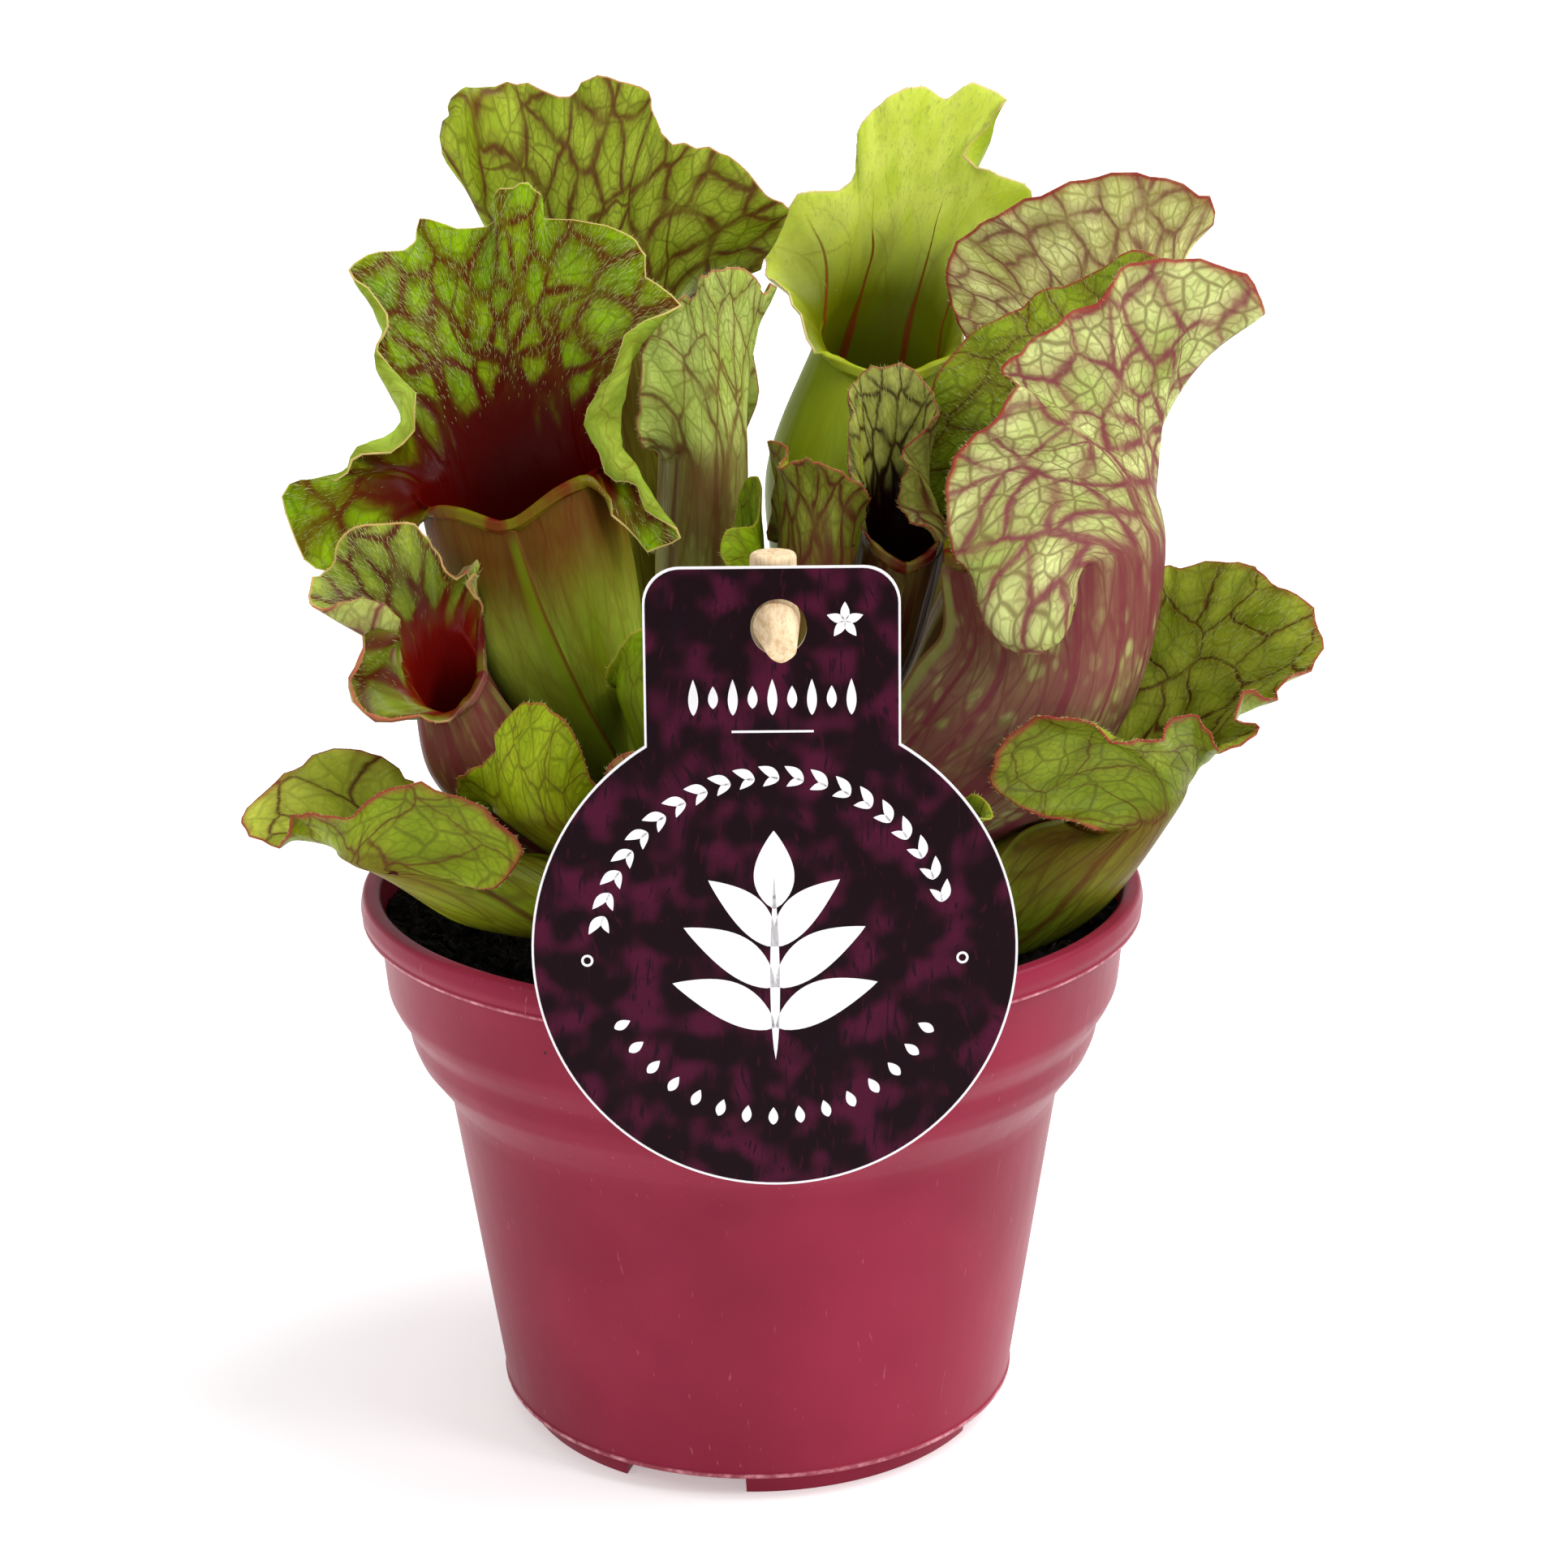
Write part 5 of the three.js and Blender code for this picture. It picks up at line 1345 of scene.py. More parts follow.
LEAVES = [
    LeafShape(
        name="pitcher_front_left", skin=Skin.FRONT_LEFT,
        spine=((-7, -0.5, 71), (-18.5, -3, 97), (-29.5, -8, 121), (-34, -3, 146.5)), front=(0, -12, -1),
        side=(-14, 1, -3), girth=(2.1, 2.4, 3.9, 7.4, 12.8, 14.1, 14.3), lip_angle=72, lip_columns=7,
        notch=3.5, wing=3.4, wing_lean=-0.95, depth=0.95, blend=0.35,
        margin=(
            (-49, -8, 140.5), (-56, -8, 135.5), (-63.5, -8, 135.5), (-67, -7, 141.5), (-67.5, -5, 147.5),
            (-61, -3, 148.5, 2), (-57.5, -2, 152.5, 6), (-53, 0, 154.5, 7), (-51.5, 2, 159.5, 7),
            (-55.5, 4, 165.5, 4), (-54.5, 6, 170.5, 4), (-59, 9, 177), (-54.5, 12, 179.5), (-50, 15, 180),
            (-49, 18, 183.5), (-43.5, 17, 182.5), (-37.5, 17, 183.5), (-37, 16, 187), (-33.5, 15, 189),
            (-30.5, 15.5, 187.5), (-30, 16, 184), (-20.5, 12, 183), (-15, 8, 180), (-14.5, 6, 176.5),
            (-9.5, 2, 172), (-15.5, -3, 167.5, 5), (-18.5, -7, 161, 8), (-20.5, -9, 157, 8),
            (-18.5, -11, 152, 6), (-15, -13, 149, 4), (-12, -15, 145, 3), (-9.5, -16, 141.5),
            (-14.5, -15, 139.5), (-18.5, -14, 144.5),
        ),
    ),
    LeafShape(
        name="pitcher_back_left", skin=Skin.DEEP, spacing=0.85,
        spine=((-7, 11, 71), (-12, 26, 98), (-22, 32, 130), (-24, 35, 161)), front=(0, 9, -1),
        side=(10, 0, 0), girth=(2.1, 2.8, 4.6, 7, 9.5, 10, 10), lip_angle=55, notch=1,
        margin=(
            (-11, 42, 168), (-3.5, 40, 171), (2, 35, 174.5), (5, 31, 179.5), (6.5, 28, 184), (3, 27, 186),
            (-1, 28, 191), (-5.5, 27, 193), (-11, 26, 194), (-13, 26, 196.5), (-14, 26, 199),
            (-14.5, 26, 201.5), (-19, 24, 203.5), (-23.5, 24, 204), (-26.5, 25, 201), (-31.5, 25, 202.5),
            (-36, 26, 203), (-40.5, 21, 201.5, 8), (-42, 19, 197.5, 9), (-46, 20, 193, 5), (-41.5, 26, 191.5),
            (-40, 30, 186), (-41, 36, 178.5), (-39, 41, 170.5),
        ),
    ),
    LeafShape(
        name="pitcher_back_middle", skin=Skin.BACK_MIDDLE,
        spine=((-4, 5.5, 71), (-7, 12, 92), (-8, 15, 120), (-7, 16, 147)), front=(-5, 5, 0), side=(4, 5, 0),
        girth=(2, 2.8, 4.4, 6, 7, 6.8, 6.6), lip_angle=55, wing=1.5, tube_rows=4,
        margin=(
            (-3, 26, 148), (1.5, 23, 154.5), (1, 20, 163.5), (1.5, 17, 169.5), (4.5, 15, 173.5),
            (2.5, 12, 173), (2, 11, 174.5), (0, 10, 176.5), (-2.5, 8, 177), (-5, 8, 176.5), (-7, 8, 175.5),
            (-7.5, 9, 173), (-10, 9, 172.5), (-14, 9, 168.5), (-16, 9, 162), (-16.5, 9, 156), (-16.5, 9, 152),
            (-15.5, 11, 149.5), (-13.5, 15.5, 149.5),
        ),
    ),
    LeafShape(
        name="pitcher_back_right", skin=Skin.GOLDEN, spacing=0.9,
        spine=((3, 10, 71), (7, 22, 95), (13, 33, 125), (21, 34, 160.5)), front=(0, -10, -3),
        side=(-10, 0, 1), girth=(2.1, 2.7, 4, 6, 10, 14, 10.5), wing=5, smoothing=1,
        margin=(
            (10, 26.5, 162.5), (8, 28.5, 167.5), (5, 31, 171.5), (3, 36, 173.5), (3.5, 39.5, 177),
            (8, 40, 185), (14.5, 40, 185.5), (17, 40, 188.5), (17.5, 40, 194.5), (20, 40, 198),
            (23.5, 40, 200.5), (28, 40, 201.5), (31.5, 40, 199.5), (35.5, 39, 202), (40.5, 38, 199.5),
            (39, 37, 195.5, 3), (35.5, 36, 191, 5), (39.5, 38, 188), (45, 39, 185.5), (43, 39, 179),
            (38.5, 38, 174.5), (36, 34.5, 170.5), (34.5, 31, 165.5), (33, 27.5, 161.5),
        ),
    ),
    LeafShape(
        name="pitcher_far_right", skin=Skin.FAR_RIGHT, spacing=0.85,
        spine=((10, 7.5, 71), (20, 22, 95), (40, 33, 112), (52, 35, 147)), front=(-8, 3, 0), side=(3, 8, 0),
        girth=(2.1, 2.8, 4.5, 7, 9, 9.5, 8.5), lip_angle=55,
        margin=(
            (44.5, 44, 151), (43.5, 47, 158.5), (47, 47, 166.5), (53, 45, 174.5), (60, 41, 182.5),
            (66, 36, 184.5), (72, 31.5, 180), (71.5, 29, 184.5), (62, 28, 188.5), (52, 27, 188),
            (41, 27, 184), (35, 27, 180.5), (31, 27, 176), (31.5, 27, 169), (34.5, 27, 163.5),
            (39.5, 28, 157.5),
        ),
    ),
    LeafShape(
        name="pitcher_front_right", skin=Skin.ROSY, spacing=0.85,
        spine=((11.5, -2.5, 71), (14, -2, 97), (51.5, -4, 108), (46, -2, 135.5)), front=(-15, -3, 0),
        side=(-2, 11, 1), girth=(2.4, 4.6, 9.5, 15, 16.5, 14.3, 11.8), lip_angle=84, lip_columns=7, notch=1,
        wing=2.5, depth=0.88, smoothing=0,
        margin=(
            (33.5, 14, 134), (30, 17, 137), (26, 18, 142), (25, 18, 147.5), (26.5, 18, 152.5),
            (28, 18, 157.5), (34, 20, 165), (41, 22, 168.5), (45.5, 23, 171.5), (51.5, 23, 173.5),
            (59, 22, 177), (66.5, 19, 176), (74.5, 14, 175, -6), (77.5, 9, 169.5, -10), (74, 5, 175.5, -7),
            (66.5, 2, 178), (59, -1, 179), (53, -4, 176.5), (50.5, -6, 173), (45.5, -8, 171.5),
            (40.5, -10, 168), (37, -12, 165), (38.5, -13, 162.5), (35, -14, 157.5), (31.5, -15, 155),
            (29, -16, 151), (28.5, -17, 146), (29.5, -19, 140, 2), (32.5, -21, 136.5, 4),
            (33.5, -24, 132.5, 4), (36.5, -26, 128, 5), (41.5, -27, 127, 6), (45, -25, 128.5, 5),
            (47, -22, 131, 3),
        ),
    ),
    LeafShape(
        name="pitcher_dark_throat", skin=Skin.DARK, spacing=0.6,
        spine=((6.5, 2, 71), (7, 11, 90), (20, 10, 112), (23.5, 7, 136)), front=(0, -6, -3),
        side=(-6.5, 0, 0), girth=(1.9, 2.3, 2.9, 3.6, 4.6, 6, 6.3), notch=1, wing=1, rise=0.15, smoothing=1,
        margin=(
            (17, 4, 138.5), (16, 5, 143.5), (15, 7.5, 148), (15.5, 9, 155.5), (15, 10, 158), (16.5, 11, 160),
            (18, 11, 161.5), (21, 11, 162), (24, 11, 162), (27.5, 9, 159), (28.5, 8, 156.5), (28, 7, 154.5),
            (24, 4, 150.5, 2), (24.5, 3, 148.5, 2), (23.5, 2, 145, 3), (24, 1, 141.5, 3), (26.5, 0, 140, 1),
            (28.5, 0, 137.5),
        ),
    ),
    LeafShape(
        name="pitcher_slim_middle", skin=Skin.SLIM, spacing=0.7,
        spine=((4, -7, 71), (2.5, -12, 86), (7, -9, 106), (10, 1, 134.5)), front=(1, 6, 0), side=(6, -1, 0),
        girth=(1.9, 2.2, 3.4, 4.8, 5.8, 6, 5.6), lip_angle=55, wing=0.8, tube_rows=4,
        margin=(
            (15.5, 4.5, 137), (17, 1.5, 140), (18, -1, 143), (17.5, -4, 146), (15, -6, 148), (11.5, -7, 150),
            (9, -7, 151), (6.5, -6, 150.5), (4.5, -4, 149), (6, 0, 151.5), (3, 3, 152), (4, 5, 146),
            (3.5, 6, 141), (3, 6, 136.5),
        ),
    ),
    LeafShape(
        name="pitcher_thin_middle", skin=Skin.PLAIN, spacing=0.6,
        spine=((-1, -6, 71), (-3, -4, 90), (-3.5, 2, 105), (0, 2, 128.5)), front=(-2.4, -1.5, 0),
        side=(-1, 2.4, 0), girth=(1.5, 1.7, 2.1, 2.5, 2.8, 2.8, 2.6), lip_columns=3, notch=0.2, wing=0.8,
        tube_rows=4, hood_rows=4,
        margin=(
            (-3.5, 4, 133.5), (-2, 5, 139.5), (-1, 6, 144.5), (1, 5, 146.5), (2, 3, 145), (1.5, 0, 140.5),
            (0, -3, 140, 2), (-2.5, -5, 140, 2), (-3.5, -6, 137, 2), (-2, -5, 133.5),
        ),
    ),
    LeafShape(
        name="pitcher_low_right", skin=Skin.LOW, spacing=0.75,
        spine=((9, -9, 71), (22, -13, 78), (40, -17, 82), (55.5, -8, 98)), front=(-8, -3, -1),
        side=(-2, 9, 1), girth=(2.1, 2.6, 4.2, 6.5, 8.6, 9.5, 9.5), lip_angle=76, lip_columns=7, wing=1,
        margin=(
            (51, 4, 101), (56, 7, 109.5), (61.5, 9.5, 128.5), (66, 9, 131), (74.5, 6, 132.5), (77, 4, 131.5),
            (79.5, 1, 129.5), (83.5, -1, 128), (85.5, -5, 123), (84.5, -7, 119.5), (79.5, -10, 118.5),
            (77.5, -12, 116), (73, -14, 116.5, 2), (72, -16, 114, 2), (74.5, -18, 113), (71.5, -20, 110.5),
            (69, -20, 110.5), (66, -20, 114), (62.5, -20, 115.5), (59.5, -21, 112.5), (56, -22, 112),
            (52, -23, 112.5), (49, -24, 115.5), (42.5, -24, 117), (37.5, -24, 113), (34.5, -24, 108.5),
            (37, -24, 104), (45, -24, 101), (50.5, -21.5, 98.5),
        ),
    ),
    LeafShape(
        name="pitcher_low_left", skin=Skin.LOW_LEFT, spacing=0.7,
        spine=((-10, -13, 71), (-12, -29, 92), (-36, -33, 91), (-48.5, -28, 97)), front=(8, 2, -1),
        side=(1, -6.2, 0), girth=(2, 2.3, 3, 4.4, 6, 6.8, 6.8), lip_angle=86, lip_columns=7, wing=0.8,
        margin=(
            (-41.5, -36, 96), (-35.5, -41, 97), (-31.5, -38, 101.5), (-37, -38, 107.5), (-41.5, -38, 110),
            (-47.5, -38, 111.5), (-53, -38, 109), (-56, -37, 106), (-59, -36, 106), (-62, -36, 107),
            (-64.5, -36, 105), (-66.5, -34, 101), (-71, -30, 101.5), (-73, -27, 103.5), (-70, -22, 106),
            (-66.5, -19, 108), (-62.5, -16, 110), (-55.5, -15, 109.5), (-50.5, -15, 106), (-47.5, -17, 102),
        ),
    ),
    LeafShape(
        name="pitcher_curled_left", skin=Skin.CURLED, spacing=0.65,
        spine=((-13, -4, 71), (-19, -9, 93), (-42.5, -15, 102), (-43.5, -17, 120.5)), front=(5.5, -1, 0.5),
        side=(-0.5, -4, -6), girth=(1.9, 2.4, 3.7, 5.6, 7.3, 7.3, 6.5), lip_angle=62, notch=0.3, wing=1.5,
        margin=(
            (-43, -25, 116.5), (-47, -26, 117, 4), (-52, -26, 118, 8), (-54.5, -25, 122, 9),
            (-52.5, -25, 125.5, 9), (-50.5, -25, 129, 9), (-51.5, -26, 132.5, 8), (-54.5, -26, 133.5, 6),
            (-59, -26, 133, 3), (-62, -24, 134), (-62, -20, 136.5), (-59.5, -18, 138), (-58.5, -17, 141.5),
            (-56, -17, 143.5), (-51.5, -16, 144), (-47.5, -16, 143.5), (-45, -16, 140.5), (-43.5, -17, 138),
            (-41, -19, 137.5, 3), (-38, -22, 140, 7), (-38.5, -18, 136.5, 6), (-38, -16, 132, 3),
        ),
    ),
    LeafShape(
        name="pitcher_young_left", skin=Skin.PLAIN, spacing=0.6,
        spine=((1, -12, 71), (1, -16, 85), (-9, -18, 96), (-15, -18, 118.5)), front=(3, 3, 0),
        side=(2, -3, 0), girth=(1.5, 1.8, 2.4, 3.2, 3.8, 4, 3.6), lip_angle=55, lip_columns=3, notch=0.2,
        wing=0.6, tube_rows=4, hood_rows=4,
        margin=(
            (-10.5, -21, 121.5), (-10, -23, 126.5), (-12.5, -24, 129.5), (-16, -24, 129.5),
            (-18.5, -23, 126.5), (-20.5, -21, 122.5), (-19.5, -18, 119.5, 1), (-18, -14, 120, 1),
            (-15, -11.5, 120),
        ),
    ),
    LeafShape(
        name="pitcher_low_middle", skin=Skin.LOW_GREEN, spacing=0.65,
        spine=((-5.5, -6.5, 71), (-7.5, -11, 92), (-23, -22.5, 96), (-29.5, -26, 103)), front=(2, 5, 0),
        side=(6, -2, 0), girth=(1.8, 2, 2.4, 3, 4, 5.2, 6), lip_angle=55, notch=0.3, wing=0.8, tube_rows=4,
        margin=(
            (-21, -27, 105), (-21.5, -29, 107.5), (-23, -31, 111.5), (-24, -32, 116), (-26.5, -32, 119.5),
            (-29.5, -31, 121), (-32, -30, 120.5), (-35, -29, 117), (-36, -28, 113.5), (-38, -29, 111.5),
            (-40.5, -30, 110.5), (-41.5, -28.5, 108, 1), (-41, -26.5, 105, 1.5), (-37.5, -24.5, 103, 1.5),
        ),
    ),
    LeafShape(
        name="pitcher_bud_left", skin=Skin.BUD_ROSY, spacing=0.55,
        spine=((-4.5, -12.5, 71), (-4, -22, 80), (-12, -28, 84), (-15.5, -30, 109)), front=(3, 2, -1),
        side=(0.5, -3, 0), girth=(1.4, 1.7, 2.2, 2.7, 3, 3, 2.8), lip_columns=3, notch=0.1, wing=0.4,
        tube_rows=4, hood_rows=3,
        margin=(
            (-14, -33, 111.5), (-15.5, -34, 114.5), (-18, -34, 114), (-20, -32, 111.5), (-20, -29, 108.5),
            (-19, -25, 109.5), (-16, -24, 110.5),
        ),
    ),
    LeafShape(
        name="pitcher_bud_right", skin=Skin.PLAIN, spacing=0.55,
        spine=((6, -13, 71), (14, -20, 80), (22, -26, 88), (30, -30, 102)), front=(-3, 2, -1),
        side=(0.5, 3, 0), girth=(1.4, 1.7, 2.2, 2.7, 3, 3, 2.8), lip_columns=3, notch=0.1, wing=0.4,
        smoothing=1, tube_rows=4, hood_rows=3,
        margin=(
            (30, -25, 103.5), (32, -26, 105.5), (33.5, -28, 105.5), (34.5, -30, 104.5), (34.5, -31.5, 103.5),
            (32, -34, 104.5), (29.5, -34, 105),
        ),
    ),
]


@dataclass(frozen=True)
class Coat:
    """Hairs on one side of the hoods.

    Attributes:
        side: Which way they stand: 1 outwards, -1 into the mouth.
        lean: How far they lean back down the leaf.
        shortest, longest: Their lengths in millimetres.
        elsewhere: Hairs for each square millimetre of a leaf that density doesn't name.
        density: Hairs for each square millimetre, by leaf.
    """

    side: float
    lean: float
    shortest: float
    longest: float
    elsewhere: float
    density: dict[str, float]


COATS = (
    Coat(-1.0, 0.95, 0.6, 1.5, 0.5,
         {"pitcher_front_left": 3.4, "pitcher_curled_left": 5.0, "pitcher_front_right": 2.0,
          "pitcher_low_right": 1.6, "pitcher_low_left": 1.6, "pitcher_far_right": 1.2,
          "pitcher_back_right": 1.2, "pitcher_dark_throat": 3.0}),
    Coat(1.0, 0.5, 0.3, 0.7, 0.0,
         {"pitcher_front_right": 0.35, "pitcher_far_right": 0.2, "pitcher_back_middle": 0.2}),
)
# Hairs for each millimetre of a margin.
EDGE_HAIRS = 2.2


@dataclass(frozen=True)
class HairFinish:
    """Pale hairs of the leaves."""

    pale: Colour = srgb(206, 212, 140)
    green: Colour = srgb(150, 164, 70)

    def material(self) -> bpy.types.Material:
        """The hairs' material."""
        graph = Graph("hair")
        tint = graph.noise(graph.place(), 0.8, 1.0)
        return graph.finish(Base_Color=graph.mix(tint, self.pale, self.green), Roughness=0.45,
                            Specular_IOR_Level=0.2)


@dataclass
class LeafHairs:
    """Short stiff hairs inside the hoods, on the backs of some, and along the margins."""

    leaves: list[PitcherLeaf]
    site: Site
    thickness: float = 0.034

    def spikes(self, roots: np.ndarray, ways: np.ndarray, lengths: np.ndarray) -> tuple:
        """Closed three-sided spikes.

        Args:
            roots: Where the hairs stand, in millimetres.
            ways: Directions of the hairs.
            lengths: Lengths of the hairs.

        Returns:
            Points and triangles.
        """
        ways = unit(ways)
        side = unit(np.cross(ways, np.where(np.abs(ways[:, 2:]) < 0.8, (0.0, 0.0, 1.0), (1.0, 0.0, 0.0))))
        other = np.cross(ways, side)
        foot = roots - ways * 0.1
        corners = [foot + self.thickness * (side * math.cos(a) + other * math.sin(a))
                   for a in (0.0, 2 * math.pi / 3, 4 * math.pi / 3)]
        points = np.stack([*corners, roots + ways * lengths[:, None]], axis=1).reshape(-1, 3)
        start = (np.arange(len(roots)) * 4)[:, None, None]
        faces = (np.array([(0, 1, 3), (1, 2, 3), (2, 0, 3), (0, 2, 1)])[None] + start).reshape(-1, 3)
        return points, faces

    @staticmethod
    def on_hood(leaf: PitcherLeaf, coat: Coat, random: np.random.Generator) -> tuple:
        """Roots, directions and lengths of the hairs on one side of a hood.

        Args:
            leaf: The leaf, built.
            coat: The hairs of that side.
            random: Source of the leaf's random numbers.

        Returns:
            The three arrays, empty if the side is bare.
        """
        middle, height = leaf.middle, leaf.height
        corner = middle[:-1, :-1]
        area = np.linalg.norm(np.cross(middle[:-1, 1:] - corner, middle[1:, :-1] - corner), axis=2)
        weight = area * smoothstep(height[:-1, :-1], 5.0, 24.0)
        count = int(weight.sum() * coat.density.get(leaf.shape.name, coat.elsewhere))
        if count == 0:
            return np.zeros((0, 3)), np.zeros((0, 3)), np.zeros(0)
        pick = random.choice(weight.size, count, p=(weight / weight.sum()).reshape(-1))
        i, j = np.divmod(pick, weight.shape[1])
        u, v = random.random((2, count, 1))
        root = (middle[i, j] * (1 - u) * (1 - v) + middle[i, j + 1] * u * (1 - v)
                + middle[i + 1, j] * (1 - u) * v + middle[i + 1, j + 1] * u * v)
        normal = leaf.normals[i, j] * coat.side
        back = -unit(middle[i + 1, j] - middle[i, j])
        way = normal * 0.5 + back * coat.lean + random.normal(0, 0.17, (count, 3))
        length = random.uniform(coat.shortest, coat.longest, count)
        length = length * (0.6 + 0.4 * smoothstep(height[i, j], 8.0, 22.0))
        return root + normal * leaf.half_wall()[i, j][:, None], way, length

    @staticmethod
    def on_margin(leaf: PitcherLeaf, random: np.random.Generator) -> tuple:
        """Roots, directions and lengths of the hairs along a leaf's margin.

        Args:
            leaf: The leaf, built.
            random: Source of the leaf's random numbers.

        Returns:
            The three arrays.
        """
        edge = leaf.middle[-1]
        steps = np.diff(edge, axis=0)
        free = np.linalg.norm(steps, axis=1) * (1 - leaf.lip_share()[:-1])
        count = int(free.sum() * EDGE_HAIRS)
        pick = random.choice(len(free), count, p=free / free.sum())
        outward = unit(edge - leaf.middle[-4])[pick]
        root = edge[pick] + steps[pick] * random.random((count, 1))
        return root, outward + random.normal(0, 0.55, (count, 3)), random.uniform(0.25, 0.75, count)

    def build(self) -> None:
        """Makes one mesh of hairs for each leaf."""
        material = HairFinish().material()
        for number, leaf in enumerate(self.leaves):
            random = np.random.default_rng(100 + number)
            tufts = [self.on_hood(leaf, coat, random) for coat in COATS] + [self.on_margin(leaf, random)]
            points, faces = self.spikes(*(np.concatenate(parts) for parts in zip(*tufts)))
            piece = mesh_of(leaf.shape.name + "_hairs", self.site.metres(points), faces)
            paint(piece, material)
            hand_over(piece, leaf.shape.skin.value.slot)


# Pot


@dataclass(frozen=True)
class PotFinish:
    """Raspberry plastic with a faint grain, specks of dirt and pale lines of scuff and painted highlight.
    Millimetres.
    """

    base: Colour = srgb(124, 28, 50)
    light: Colour = srgb(138, 35, 59)
    # Pale pink of the scratches, and of the edge lines, where it is also painted highlight.
    scuff: Colour = srgb(214, 150, 158)
    dust: Colour = srgb(60, 22, 20)
    # Height, half width and least radius of each pale line: a scuffed parting line that is also a painted
    # edge highlight.
    lines: tuple = ((81.6, 0.42, 58.4), (4.35, 0.42, 39.6))

    def material(self, site: Site) -> bpy.types.Material:
        """The pot's material.

        Args:
            site: Place of the pot, whose parting lines lie at given heights and outside given radii.

        Returns:
            The material.
        """
        graph = Graph("raspberry_plastic")
        place = graph.place()
        x, y, z = graph.parts(graph.vector("SUBTRACT", place, tuple(float(v) for v in site.shift)))
        radius = graph.math("SQRT", x * x + y * y)
        cloud = graph.noise(place, 0.03, 3.0)
        grain = graph.noise(place, 2.4, 3.0, 0.6)
        colour = graph.mix(graph.rise(cloud, 0.3, 0.7), self.base, self.light)
        line_breakup = graph.noise(place, 0.25, 3.0, 0.7)
        # Pale lines on the rim's ledge and the foot's chamfer: scuffed parting lines, and painted highlights
        # along those edges.
        for height, width, reach in self.lines:
            line = graph.rise(abs(z - height), width * 0.4, width, 1.0, 0.0)
            line = line * graph.math("GREATER_THAN", radius, reach) * graph.rise(line_breakup, 0.40, 0.66, 0.12, 0.85)
            colour = graph.mix(line, colour, self.scuff)
        far, chosen = graph.dots(place, 5.0, 0.16)
        speck = graph.rise(far, 0.16, 0.34, 0.85, 0.0) * chosen
        speck = speck * graph.rise(graph.noise(place, 0.035), 0.5, 0.58)
        colour = graph.mix(speck, colour, self.dust)
        drawn = graph.vector("MULTIPLY", graph.warp(place, 0.05, 6.0), (1.0, 1.0, 0.04))
        scratch = graph.noise(drawn, 1.6, 2.0)
        colour = graph.mix(graph.rise(scratch, 0.70, 0.76, 0.0, 0.16), colour, self.scuff)
        streak = graph.noise(graph.vector("MULTIPLY", place, (1.0, 1.0, 0.08)), 0.5, 3.0)
        graph.relief(grain, 0.10, 0.10 * MM)
        graph.relief(graph.noise(place, 0.10, 2.0), 0.10, 1.0 * MM)
        gloss = grain * 0.10 + (streak * 0.10 + 0.26)
        return graph.finish(Base_Color=colour, Roughness=gloss, Specular_IOR_Level=0.10)


